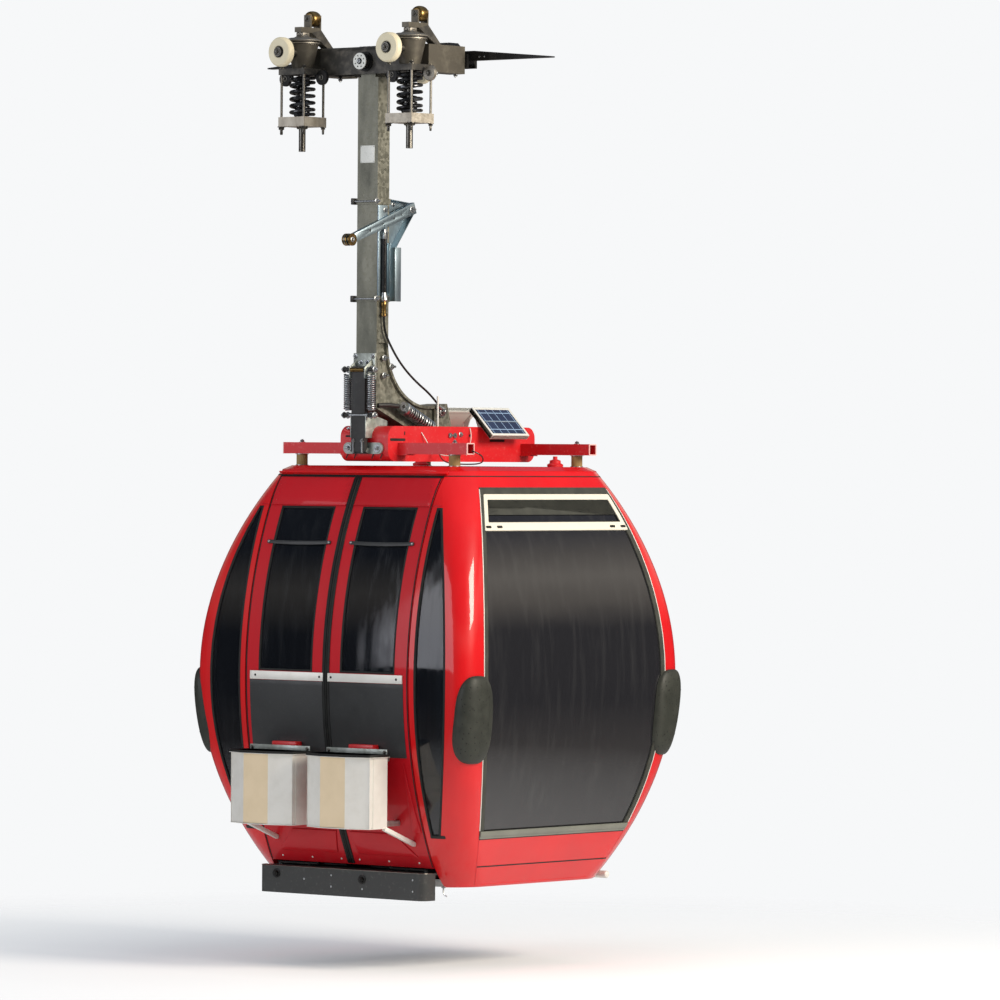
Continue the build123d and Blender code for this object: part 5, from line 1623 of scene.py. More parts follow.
@dataclass
class Bumpers:
    """Oval rubber pads bent round the four corners."""

    shop: Workshop
    half_width: float = 0.114
    half_height: float = 0.229
    level: float = -0.195
    proud: float = 0.034
    turn: float = math.radians(20.0)
    shift: float = 0.031
    rim: float = 4 * MILLIMETRE
    screws: Flat = (0.062, 0.118)
    squareness: float = 3.0
    rings: int = 16
    spokes: int = 72

    def point(self, sign_x: int, sign_y: int, across: float, rise: float, proud: float) -> Vector:
        """Finds where a line square to the pad's middle plane meets the skin.

        Args:
            sign_x: Which end of the cabin.
            sign_y: Which long side.
            across: Distance beside the pad's middle.
            rise: Distance above the pad's middle.
            proud: Distance outside the skin.

        Returns:
            The point in the row frame.
        """
        skin = self.shop.skin
        across -= self.shift
        level = self.level + rise
        radius = skin.corner(level)
        out_x, out_y = skin.reach(skin.half_length, level), skin.reach(skin.half_width, level)
        middle_r = skin.corner(self.level)
        cos, sin = math.cos(self.turn), math.sin(self.turn)
        start_x = skin.reach(skin.half_length, self.level) - middle_r - across * sin
        start_y = skin.reach(skin.half_width, self.level) - middle_r + across * cos
        run = (out_x + proud - start_x) / cos
        if start_y + run * sin > out_y - radius:
            run = (out_y + proud - start_y) / sin
            if start_x + run * cos > out_x - radius:
                gap_x, gap_y = start_x - (out_x - radius), start_y - (out_y - radius)
                half = gap_x * cos + gap_y * sin
                run = -half + math.sqrt(half**2 - gap_x**2 - gap_y**2 + (radius + proud) ** 2)
        x, y = start_x + run * cos, start_y + run * sin
        return Vector((sign_x * x, skin.centre_y + sign_y * y, skin.widest_z + level))

    def pad(self, form: Form, sign_x: int, sign_y: int) -> None:
        """Adds one pad, crowned and rounded at its rim.

        Args:
            form: The form that takes it.
            sign_x: Which end of the cabin.
            sign_y: Which long side.
        """
        grid = []
        rim = self.rim
        for ring in range(self.rings + 1):
            share = math.sin(ring / self.rings * math.pi / 2)
            proud = rim + (self.proud - rim) * (1 - share**6) ** 0.5 if ring < self.rings else -rim
            row = []
            for spoke in range(self.spokes):
                angle = math.tau * spoke / self.spokes
                cos, sin = math.cos(angle), math.sin(angle)
                power = 2 / self.squareness
                across = math.copysign(abs(cos) ** power, cos) * self.half_width * share
                rise = math.copysign(abs(sin) ** power, sin) * self.half_height * share
                row.append(form.bm.verts.new(self.point(sign_x, sign_y, across, rise, proud)))
                if ring == 0:
                    break
            grid.append(row)
        for lower, upper in zip(grid, grid[1:]):
            form.join(lower, upper)

    def build(self) -> None:
        """Adds the four pads and their screws."""
        pads, screws = Form(), Form()
        half_u, half_v = self.screws
        for sign_x in ENDS:
            for sign_y in ENDS:
                self.pad(pads, sign_x, sign_y)
                for across in (-half_u, half_u):
                    for rise in (-half_v, half_v):
                        place = self.point(sign_x, sign_y, across, rise, self.proud - 0.0035)
                        inner = self.point(sign_x, sign_y, across, rise, 0.0)
                        screws.rivet(place, place - inner, 0.0055)
        self.shop.add("bumper_pads", pads, BUMPER, replaces=["corner_bumpers"], smooth=math.radians(50))
        self.shop.add("bumper_screws", screws, BLACK_STEEL)


@dataclass
class Doors:
    """The two leaves: seals, headers, rivets, rails, scuff panels and lower fields."""

    shop: Workshop
    half: float = 0.560
    height: Flat = (-0.978, 1.050)
    seam: float = 3 * MILLIMETRE
    lip: float = 24 * MILLIMETRE
    window_seal: float = 11 * MILLIMETRE
    trim_end: float = 0.526
    window: tuple[float, float, float, float] = (0.097, 0.470, 0.030, 0.896)
    header: Flat = (0.906, 1.046)
    strip: Flat = (-0.018, 0.026)
    scuff: Flat = (-0.405, -0.020)
    rail_level: float = 0.706
    foot_level: float = -0.958
    low_field: tuple[Flat, ...] = ((0.075, -0.926), (0.480, -0.926), (0.350, -0.806), (0.045, -0.806))
    rib: tuple[Flat, ...] = ((0.488, -0.795), (0.545, -0.795), (0.505, -0.425))

    def rectangle(self, sign: int, x0: float, x1: float, low: float, high: float) -> list[Flat]:
        """Outline on a leaf between two distances from the seam and two levels."""
        left, right = sorted((sign * x0, sign * x1))
        return [(left, low), (right, low), (right, high), (left, high)]

    def mirror(self, sign: int, outline: Sequence[Flat]) -> list[Flat]:
        """Puts the right leaf's outline on either leaf, still anticlockwise."""
        return list(outline) if sign > 0 else [(-u, level) for u, level in reversed(outline)]

    def leaf(self, sign: int, name: str) -> None:
        """Dresses one leaf.

        Args:
            sign: -1 for the left leaf and 1 for the right.
            name: The leaf's side in the names of its pieces.
        """
        shop, skin = self.shop, self.shop.skin
        body = f"door_{name}"
        shop.dress(DOOR_RED, f"door_leaf_{name}")
        shop.dress(DOOR_PANE, f"door_glass_{name}")
        rubber = Form()
        edge = self.rectangle(sign, self.seam, self.lip, *self.height)
        rubber.panel(skin, Side.DOOR, edge, -0.03, 0.005, 0.002)
        bead = self.rectangle(sign, 0.0012, 0.0090, -0.975, 1.047)
        rubber.panel(skin, Side.DOOR, bead, -0.02, 0.010, 0.003)
        x0, x1, low, high = self.window
        outline = self.rectangle(sign, x0 - 0.001, x1 + 0.001, low - 0.001, high + 0.001)
        rubber.panel(skin, Side.DOOR, outline, -0.010, 0.0015, 0.001, [shrink(outline, self.window_seal)])
        outer = self.rectangle(sign, self.half - 0.007, self.half - 0.001, *self.height)
        rubber.panel(skin, Side.DOOR, outer, -0.03, 0.002, 0.001)
        shop.add(f"door_rubber_{name}", rubber, SEAL, body)

        header = Form()
        level = self.header[0]
        for low, high, proud, bevel in ((*self.header, 0.003, 0.001), (level - 0.005, level, 0.007, 0.002)):
            field_outline = self.rectangle(sign, self.lip + 0.004, self.half - 0.012, low, high)
            header.panel(skin, Side.DOOR, field_outline, -0.001, proud, bevel)
        for field_plate in (self.low_field, self.rib):
            header.panel(skin, Side.DOOR, self.mirror(sign, field_plate), -0.001, 0.007, 0.005)
        rivets = Form()
        for x in (0.052, self.half - 0.036):
            for level in (0.928, 0.968, 1.008):
                header.rivet(skin.point(Side.DOOR, sign * x, level, 0.003), FORWARD, 0.0045)
        for x in (0.063, 0.266, 0.474):
            rivets.rivet(skin.point(Side.DOOR, sign * x, self.foot_level, 0.0), (0, -1, -0.4), 0.0055)
        shop.add(f"door_header_{name}", header, DOOR_RED, body)
        shop.add(f"door_rivets_{name}", rivets, WHITE, body)
        self.rail(sign, name, body)
        self.scuff_panel(sign, name, body)

    def rail(self, sign: int, name: str, body: str) -> None:
        """Adds the flat bar across a leaf's window, with its two screws.

        Args:
            sign: -1 for the left leaf and 1 for the right.
            name: The leaf's side in the names of its pieces.
            body: The leaf's body.
        """
        skin = self.shop.skin
        x0, x1 = self.window[0] - 0.030, self.window[1] + 0.036
        steps = 12
        top, low = [], []
        for n in range(steps + 1):
            share = n / steps
            sag = 0.004 * (1 - (2 * share - 1) ** 2)
            u = sign * (x0 + (x1 - x0) * share)
            top.append((u, self.rail_level + 0.009 - sag))
            low.append((u, self.rail_level - 0.009 - sag * 1.6))
        outline = low + top[::-1]
        if sign < 0:
            outline = outline[::-1]
        bar = Form().panel(skin, Side.DOOR, soften(outline, 0.006), 0.004, 0.010, 0.002)
        screws = Form()
        for x in (x0 + 0.010, x1 - 0.010):
            place = skin.point(Side.DOOR, sign * x, self.rail_level, 0.0)
            out = skin.point(Side.DOOR, sign * x, self.rail_level, 1.0) - place
            bar.rod(place, out, 0.010, 0.006, 16)
            screws.rivet(place + out * 0.010, out, 0.0075)
        self.shop.add(f"door_rail_{name}", bar, ANTHRACITE, body)
        self.shop.add(f"door_rail_screws_{name}", screws, ZINC, body)

    def scuff_panel(self, sign: int, name: str, body: str) -> None:
        """Adds the dark panel under a leaf's window and the bare strip over it.

        Args:
            sign: -1 for the left leaf and 1 for the right.
            name: The leaf's side in the names of its pieces.
            body: The leaf's body.
        """
        skin = self.shop.skin
        outline = self.rectangle(sign, self.lip - 0.008, self.trim_end, *self.strip)
        strip_form = Form().panel(skin, Side.DOOR, outline, 0, 0.007, 0.001)
        self.shop.add(f"door_strip_{name}", strip_form, SHEET, body)
        outline = self.rectangle(sign, self.lip + 0.001, self.trim_end + 0.004, *self.scuff)
        panel = Form().panel(skin, Side.DOOR, outline, 0, 0.003, 0.001)
        self.shop.add(f"door_scuff_{name}", panel, ANTHRACITE, body)
        bolts = Form()
        for x in (0.040, 0.488):
            place = skin.point(Side.DOOR, sign * x, sum(self.strip) / 2, 0.007)
            bolts.rivet(place, FORWARD, 0.0065)
        self.shop.add(f"door_strip_screws_{name}", bolts, BLACK_STEEL, body)

    def build(self) -> None:
        """Dresses both leaves and their arms."""
        for sign, name in SIDES:
            self.leaf(sign, name)
            self.shop.dress(BLACK_STEEL, f"door_arm_{name}", f"door_link_{name}")


@dataclass
class SkiPockets:
    """Open pockets of bent sheet on the doors, with rims, feet, bars and pads."""

    shop: Workshop
    middle_x: float = 0.266
    half: float = 0.211
    chamfer: float = 0.126
    side: float = 0.140
    bulge: float = 0.048
    top: float = -0.392
    low: float = -0.765
    back: float = 0.094
    sheet: float = 3 * MILLIMETRE
    bend: float = 3 * MILLIMETRE

    def outline(self, sign: int) -> list[Flat]:
        """Plan of a pocket, with its bends rounded.

        Args:
            sign: -1 for the left leaf and 1 for the right.

        Returns:
            The outline as (X, Y) points.
        """
        skin = self.shop.skin
        back = skin.reach(skin.half_width, self.top) + self.back
        front = self.half - self.chamfer
        plan = [
            (-self.half, back), (-self.half, back + self.side), (-front, back + self.side + self.bulge),
            (front, back + self.side + self.bulge), (self.half, back + self.side), (self.half, back),
        ]
        points = [(sign * self.middle_x + x, skin.centre_y - y) for x, y in plan]
        return soften(points, self.bend, 2)

    def build(self) -> None:
        """Adds both pockets."""
        for sign, name in SIDES:
            self.pocket(sign, name)
            self.fittings(sign, name)

    def pocket(self, sign: int, name: str) -> None:
        """Adds the shell and the rims of one pocket.

        Args:
            sign: -1 for the left leaf and 1 for the right.
            name: The leaf's side in the names of its pieces.
        """
        shop, skin = self.shop, self.shop.skin
        body = f"door_{name}"
        plan = self.outline(sign)
        z0, z1 = skin.widest_z + self.low, skin.widest_z + self.top
        shell = Form().prism(Axis.Z, plan, z0, z1, 0.0, [shrink(plan, self.sheet)])
        shell.prism(Axis.Z, plan, z0, z0 + self.sheet)
        back_y = skin.centre_y - skin.reach(skin.half_width, self.top) - self.back
        x = sign * self.middle_x
        for edge in ENDS:
            seam_x = x + edge * (self.half + 0.0015)
            front_y = back_y - self.side
            for y0, y1 in ((front_y - 0.002, front_y + 0.012), (front_y + 0.028, back_y)):
                shell.block((seam_x - 0.0015, y0, z0), (seam_x + 0.0015, y1, z1 - 0.004), 0.0008)
        front = self.half - self.chamfer - 0.002
        face_y = back_y - self.side - self.bulge
        # The front facet takes the tan sheet: a painted reflection of warm ground
        tan = (PAINTED_REFLECTION_SHEET, (x - front, face_y - 0.002, z0 + 0.001), (x + front, face_y + 0.001, z1))
        shop.add(
            f"pocket_shell_{name}", shell, SHEET, body, replaces=[f"ski_pocket_{name}"],
            smooth=math.radians(12), accents=[tan],
        )
        rim = Form().prism(Axis.Z, shrink(plan, -0.013), z1 - 0.004, z1 + 0.009, 0.003, [shrink(plan, 0.004)])
        flaps = Form().prism(Axis.Z, shrink(plan, 0.004), z1 - 0.012, z1 - 0.008, 0.0, [shrink(plan, 0.038)])
        shop.add(f"pocket_rim_{name}", rim, SEAL, body)
        shop.add(f"pocket_flaps_{name}", flaps, SEAL, body)
        flange = Form().prism(Axis.Z, shrink(plan, -0.005), z0 - 0.003, z0 + 0.001, 0.001)
        shop.add(f"pocket_flange_{name}", flange, SHEET, body)
        lips = Form().prism(Axis.Z, shrink(plan, -0.014), z1 - 0.006, z1 - 0.0035, 0.0, [shrink(plan, 0.001)])
        shop.add(f"pocket_lip_{name}", lips, SHEET, body)

    def fittings(self, sign: int, name: str) -> None:
        """Adds the feet, the bar and the pad behind one pocket, and the slanted bracket under it.

        Args:
            sign: -1 for the left leaf and 1 for the right.
            name: The leaf's side in the names of its pieces.
        """
        shop, skin = self.shop, self.shop.skin
        body = f"door_{name}"
        z0, z1 = skin.widest_z + self.low, skin.widest_z + self.top
        back_y = skin.centre_y - skin.reach(skin.half_width, self.top) - self.back
        x = sign * self.middle_x
        feet, bolts, pads = Form(), Form(), Form()
        for foot_x in (-0.130, 0.130):
            for level in (self.top - 0.018, self.low + 0.016):
                wall = skin.centre_y - skin.reach(skin.half_width, level)
                z = skin.widest_z + level
                left, right = x + foot_x - 0.016, x + foot_x + 0.016
                feet.block((left, back_y, z - 0.014), (right, wall, z + 0.014), 0.003)
        feet.block((x - 0.208, back_y + 0.001, z1 + 0.004), (x + 0.208, back_y + 0.006, z1 + 0.034), 0.002)
        for bolt_x in (-0.192, 0.192):
            bolts.bolt((x + bolt_x, back_y + 0.001, z1 + 0.019), FORWARD, 0.0075)
        wall = skin.centre_y - skin.reach(skin.half_width, self.top + 0.04)
        pads.block((x - 0.085, wall - 0.055, z1 + 0.022), (x + 0.085, wall - 0.004, z1 + 0.052), 0.006)
        wall_low = skin.centre_y - skin.reach(skin.half_width, self.low - 0.10)
        slant = strip((back_y - 0.02, z0 - 0.002), (wall_low - 0.004, z0 - 0.095), 0.011)
        slant_x = sign * (self.middle_x + self.half - 0.012)
        left, right = sorted((slant_x, slant_x + sign * 0.022))
        shop.add(f"pocket_feet_{name}", feet, PALE_ZINC, body, "zinc_steel")
        shop.add(f"pocket_bolts_{name}", bolts, DARK_ZINC, body)
        shop.add(f"pocket_pads_{name}", pads, FRAME_RED, body)
        bracket = Form().prism(Axis.X, slant, left, right, 0.002)
        shop.add(f"pocket_bracket_{name}", bracket, SHEET, body)


@dataclass
class HangerArm:
    """Galvanised arm: its blank plate, clamp rods, pins and nuts."""

    shop: Workshop
    front_y: float = -0.3275
    half: float = 0.070
    plate: tuple[Flat, Flat] = ((-0.049, -0.512), (0.049, -0.421))
    plate_thick: float = 2 * MILLIMETRE
    rod_y: float = -0.3405
    rod_levels: Flat = (-0.715, -1.229)
    foot_bolts: tuple[Flat, ...] = ((-0.262, -1.540), (-0.262, -1.632), (-0.205, -1.585))

    def label(self) -> None:
        """Adds the blank plate with a rivet in each corner."""
        (left, low), (right, high) = self.plate
        face = self.front_y - self.plate_thick
        plate = Form().block((left, face, low), (right, self.front_y, high), 0.0006)
        marks = Form()
        for x in (-0.044, 0.044):
            for z in (-0.507, -0.426):
                marks.rivet((x, face, z), FORWARD, 0.0025)
        self.shop.add("blank_plate", plate, WHITE)
        self.shop.add("blank_plate_rivets", marks, ZINC)

    def bolts(self) -> None:
        """Adds the clamp rods with their blocks, and the bolts of the foot, pin and eye."""
        rods, blocks = Form(), Form()
        y = self.rod_y
        for z in self.rod_levels:
            rods.rod((-0.100, y, z), RIGHTWARD, 0.0052, 0.196, 14)
            rods.bolt((0.0765, y, z), RIGHTWARD, 0.011, 0.012)
            blocks.block((-0.094, y - 0.013, z - 0.017), (-0.077, y + 0.026, z + 0.017), 0.003)
        for y, z in self.foot_bolts:
            rods.bolt((self.half, y, z), RIGHTWARD, 0.012, 0.016)
            rods.bolt((-self.half, y, z), LEFTWARD, 0.012, 0.008)
        for side in ENDS:
            rods.bolt((side * 0.085, 0.200, -1.818), (side, 0, 0), 0.0165, 0.006)
            rods.bolt((side * 0.165, 0.255, -1.940), (side, 0, 0), 0.010, 0.003)
            rods.bolt((side * 0.045, -0.262, -0.066), DOWNWARD, 0.012, 0.010)
        self.shop.add("arm_bolts", rods, ZINC)
        self.shop.add("arm_clamp_blocks", blocks, BLACK_PAINT)

    def build(self) -> None:
        """Dresses the arm and adds its fittings."""
        self.shop.dress(GALVANISED, "hanger_arm")
        self.label()
        self.bolts()


@dataclass
class ReleaseLinkage:
    """Bracket, lever, roller, pull rod and cable of the release, on the arm's right side."""

    shop: Workshop
    tip: Flat = (-0.073, -0.752)
    roller: Flat = (-0.560, -0.925)
    pull_x: float = 0.088
    pull_y: float = -0.291
    cover: Flat = (0.0902, 0.0930)
    holes: tuple[Flat, ...] = ((0.125, 0.0075), (0.235, 0.005), (0.330, 0.006), (0.395, 0.004))
    hole_rim: float = 0.3 * MILLIMETRE
    bands: tuple[Flat, ...] = ((-1.25, -1.21), (-0.735, -0.695))
    route: tuple[Solid, ...] = (
        (0.088, -0.291, -1.3193), (0.088, -0.291, -1.390), (0.088, -0.236, -1.475), (0.088, -0.150, -1.572),
        (0.088, -0.031, -1.660), (0.088, 0.110, -1.736), (0.088, 0.1835, -1.8030),
    )

    def lever(self) -> None:
        """Adds the folded lever over the frame's flat one, with its holes, black discs in them as painted
        shade, bolts and roller.
        """
        tip, roller = Vector(self.tip), Vector(self.roller)
        run = (tip - roller).normalized()
        side = Vector((-run.y, run.x))
        start, end = roller + run * 0.034, tip + run * 0.030
        face = strip(tuple(start), tuple(end), 0.0225, 0.0300)
        holes = [circle(tuple(start + run * share), radius, 14) for share, radius in self.holes]
        form = Form().prism(Axis.X, face, *self.cover, 0.0012, holes)
        for edge in ENDS:
            flange = strip(tuple(start + side * edge * 0.0213), tuple(end + side * edge * 0.0287), 0.0013)
            form.prism(Axis.X, flange, 0.066, 0.0925)
        self.shop.add("release_lever_cover", form, BLUE_ZINC)
        dark = Form()
        # Black discs sunk in the cover's holes: painted shade inside the holes
        for share, radius in self.holes:
            dark.rod((0.0901, *(start + run * share)), RIGHTWARD, radius + self.hole_rim, 0.0004, 14)
        dark.prism(Axis.X, strip(tuple(tip - side * 0.017), tuple(tip + side * 0.017), 0.006), 0.0930, 0.0936)
        bolts = Form().bolt((0.0936, *tip), RIGHTWARD, 0.013, 0.010)
        stack = (
            (0, 0), (0.021, 0), (0.021, 0.006), (0.016, 0.008), (0.016, 0.020), (0.020, 0.022),
            (0.020, 0.028), (0, 0.028),
        )
        bolts.lathe((0.062, tip.x + 0.016, tip.y - 0.003), BACKWARD, stack, 20)
        bolts.bolt((0.0985, *roller), RIGHTWARD, 0.010, 0.003)
        self.shop.add("release_bolts", bolts, ZINC)
        inner = (
            (0.008, 0), (0.0315, 0), (0.0322, 0.004), (0.0322, 0.012), (0.029, 0.015), (0.0322, 0.018),
            (0.0322, 0.027), (0.030, 0.0305), (0.022, 0.0305), (0.020, 0.028), (0.008, 0.028),
        )
        brass = Form().lathe((0.0798, *roller), LEFTWARD, inner, 36, True)
        outer = (
            (0.014, 0), (0.031, 0), (0.0325, 0.002), (0.0325, 0.010), (0.030, 0.0125), (0.022, 0.0125),
            (0.019, 0.010), (0.014, 0.010),
        )
        brass.lathe((0.0902, *roller), RIGHTWARD, outer, 36, True)
        dark.collar((0.0902, *roller), RIGHTWARD, (0.006, 0.0140), 0.0085, 24)
        nut = Form().bolt((0.0520, *roller), LEFTWARD, 0.013, 0.004)
        self.shop.add("release_roller", brass, ROLLER_BRASS)
        self.shop.add("release_lever_hole_shade_and_trim", dark, BLACK_PAINT)
        self.shop.add("release_roller_nut", nut, ZINC)

    def bracket(self) -> None:
        """Adds the folded flanges of the bracket and the guard beside the pull rod."""
        form = Form()
        form.block((0.0352, -0.1890, -1.240), (0.0765, -0.1865, -0.955), 0.0008)
        form.block((0.0740, -0.1865, -1.240), (0.0765, -0.1400, -0.955), 0.0008)
        form.prism(Axis.X, strip((-0.1880, -0.965), (-0.0385, -0.775), 0.0015), 0.0352, 0.0765)
        form.prism(Axis.X, strip((-0.2310, -0.7010), (-0.0390, -0.7180), 0.0015), 0.0352, 0.0620)
        form.block((0.0705, -0.3270, -1.238), (0.0730, -0.2480, -0.735), 0.0008)
        form.block((0.0730, -0.3275, -1.238), (0.0790, -0.3245, -0.735), 0.0008)
        form.block((0.0730, -0.2500, -1.238), (0.0920, -0.2480, -0.935), 0.0008)
        self.shop.add("release_bracket_folds", form, BLUE_ZINC)
        bolts = Form()
        for y, z in ((-0.160, -0.728), (-0.205, -0.745), (-0.2000, -1.135)):
            bolts.bolt((0.0352, y, z), RIGHTWARD, 0.008, 0.004)
        for z in (-0.760, -1.215):
            bolts.bolt((0.0730, -0.268, z), RIGHTWARD, 0.010, 0.010)
        self.shop.add("release_bracket_bolts", bolts, ZINC)

    def pull(self) -> None:
        """Adds the clevis, the dark sleeve, the boot and the cable's fittings down the pull rod."""
        x, y = self.pull_x, self.pull_y
        half = 0.0135
        bright = Form().block((x - half, y - half, -0.915), (x + half, y + half, -0.862), 0.004)
        bright.bolt((x + half, y, -0.880), RIGHTWARD, 0.007, 0.004)
        boot = (
            (0, 0), (0.0125, 0), (0.0130, 0.010), (0.0190, 0.030), (0.0200, 0.040), (0.0145, 0.046),
            (0, 0.046),
        )
        bright.lathe((x, y, -1.196), DOWNWARD, boot, 24)
        bright.rod((0.088, 0.176, -1.7985), (0, 0.87, -0.49), 0.0105, 0.012, 16, -0.02)
        self.shop.add("pull_rod_clevis", bright, ZINC)
        sleeve = Form().rod((x, y, -0.913), DOWNWARD, 0.0122, 0.284, 20)
        self.shop.add("pull_rod_sleeve", sleeve, SHEATH, slot="black_steel")
        olive = (
            (0, 0), (0.012, 0), (0.0155, 0.010), (0.0155, 0.022), (0.0122, 0.030), (0.0122, 0.060),
            (0.0150, 0.064), (0.0150, 0.076), (0.0118, 0.080), (0, 0.080),
        )
        self.shop.add("cable_olive", Form().lathe((x, y, -1.242), DOWNWARD, olive, 20), ROLLER_BRASS)

    def build(self) -> None:
        """Dresses the linkage and the cable and adds the fittings."""
        bands = [(GALVANISED, (-0.08, -0.34, low), (0.08, -0.21, high)) for low, high in self.bands]
        self.shop.dress(BLUE_ZINC, "release_linkage", accents=bands)
        self.shop.cord("control_cable", self.route, 0.012, SHEATH, "stiff", ["release_cable"])
        self.lever()
        self.bracket()
        self.pull()


@dataclass
class Suspension:
    """Strut with its brackets, two tight coils and the damper under the knee."""

    shop: Workshop
    strut_y: float = -0.380
    coil_x: float = 0.080
    coil: Flat = (-1.832, -1.612)
    eye_drop: float = 0.0103
    ear: tuple[Flat, ...] = (
        (-0.404, -1.648), (-0.340, -1.655), (-0.340, -1.545), (-0.360, -1.560), (-0.404, -1.592),
    )
    cheek: tuple[Flat, ...] = (
        (-0.392, -1.846), (-0.330, -1.842), (-0.262, -1.858), (-0.215, -1.872), (-0.222, -1.962),
        (-0.392, -1.962),
    )
    top_bolts: tuple[Flat, ...] = ((0.022, -1.565), (0.060, -1.532), (0.060, -1.640))
    damper_top: Solid = (0.104, -0.160, -1.795)
    damper_end: Solid = (0.104, 0.085, -1.905)

    def hook(self, x: float, z: float, end: int) -> list[Solid]:
        """Finds the points of the eye at a coil's end.

        Args:
            x: The coil's place along the rope.
            z: Level of the coil's end.
            end: -1 for the lower eye and 1 for the upper one.

        Returns:
            The points of the closed eye.
        """
        points = []
        for n in range(16):
            angle = math.tau * n / 16
            rise = end * 0.0105 + 0.0150 * math.cos(angle)
            points.append((x + 0.0135 * math.sin(angle), self.strut_y, z + rise))
        return points

    def coils(self) -> None:
        """Adds the two upright coils with the eyes on their bolts."""
        form, eyes = Form(), Form()
        low, high = self.coil
        y = self.strut_y
        for side in ENDS:
            x = side * self.coil_x
            form.spring((x, y, low + 0.012), (x, y, high - 0.012), 0.0195, 0.0045, 17, 16)
            for z, end in ((low, -1), (high, 1)):
                form.tube(self.hook(x, z, end), 0.0036, 8, True)
                eyes.bolt((side * 0.104, y, z + end * self.eye_drop), (side, 0, 0), 0.012, 0.006)
        for z in (low - self.eye_drop, high + self.eye_drop):
            eyes.rod((-0.064, y, z), RIGHTWARD, 0.0125, 0.128, 18)
        self.shop.add("strut_coils", form, ZINC, slot="spring_steel", replaces=["suspension_springs"])
        self.shop.add("strut_bolts", eyes, ZINC)

    def brackets(self) -> None:
        """Adds the top bracket's bolts, the side plates and the link plate's pins."""
        pale, bolts, warm = Form(), Form(), Form()
        pale.block((-0.075, -0.3445, -1.655), (0.075, -0.3400, -1.515), 0.002)
        for outline, half_x, half in ((self.ear, 0.052, 0.003), (self.cheek, 0.051, 0.0025)):
            for x in (-half_x, half_x):
                pale.prism(Axis.X, outline, x - half, x + half, 0.001)
        base = ((-0.048, -0.3675), (0.048, -0.3675), (0.048, -0.250), (-0.048, -0.250))
        pale.prism(Axis.Z, base, -1.958, -1.953, 0.001)
        for x, z in self.top_bolts:
            for side in ENDS:
                bolts.bolt((side * x, -0.3445, z), FORWARD, 0.0095, 0.006)
        for x in (-0.100, 0.100):
            bolts.rod((x, -0.3525, -2.016), FORWARD, 0.021, 0.003, 28)
            bolts.bolt((x, -0.3555, -2.016), FORWARD, 0.0125, 0.005, False)
        for x in (-0.030, 0.030):
            bolts.rod((x, -0.3935, -2.010), DOWNWARD, 0.006, 0.03, 10, -0.03)
            bolts.bolt((x, -0.3935, -1.981), UPWARD, 0.009, 0.004)
        warm.rod((-0.045, -0.4000, -1.6035), RIGHTWARD, 0.011, 0.09, 16)
        self.shop.add("strut_plates", pale, PALE_ZINC)
        self.shop.add("strut_plate_bolts", bolts, ZINC)
        self.shop.add("strut_sleeve", warm, ROLLER_BRASS)

    def damper(self) -> None:
        """Adds the slanted damper beside the knee, with its eye, coil and upright rod."""
        start, end = Vector(self.damper_top), Vector(self.damper_end)
        along = (end - start).normalized()
        form, dark, white = Form(), Form(), Form()
        form.spring(start + along * 0.045, end, 0.0310, 0.0050, 12, 20)
        ring = (
            (0.012, -0.012), (0.033, -0.012), (0.036, -0.008), (0.036, 0.008), (0.033, 0.012), (0.012, 0.012),
        )
        form.lathe(start + along * 0.034, along, ring, 28, True)
        form.collar(start, RIGHTWARD, (0.010, 0.026), 0.014, 28, -0.014)
        form.collar((0.070, 0.200, -1.818), RIGHTWARD, (0.0225, 0.030), 0.013, 28, 0.002)
        dark.rod(start, along, 0.015, 0.255, 20, 0.02)
        dark.rod(start, LEFTWARD, 0.009, 0.036, 14, -0.018)
        dark.tube([(0.074, -0.318, -1.790), (0.090, -0.250, -1.788), start], 0.012, 12)
        white.rod((0.118, 0.120, -1.902), UPWARD, 0.0058, 0.165, 12)
        self.shop.add("damper_coil", form, ZINC, slot="spring_steel")
        self.shop.add("damper_tube", dark, BLACK_PAINT)
        self.shop.add("upright_rod", white, WHITE)

    def build(self) -> None:
        """Dresses the strut and adds its fittings."""
        link = (PALE_ZINC, (-0.14, -0.36, -2.05), (0.14, -0.338, -1.98))
        top = (PALE_ZINC, (-0.08, -0.3665, -1.66), (0.08, -0.32, -1.51))
        base = (PALE_ZINC, (-0.05, -0.3675, -2.05), (0.05, -0.338, -1.98))
        self.shop.dress(BLACK_PAINT, "suspension_strut", accents=[link, top, base])
        self.coils()
        self.brackets()
        self.damper()


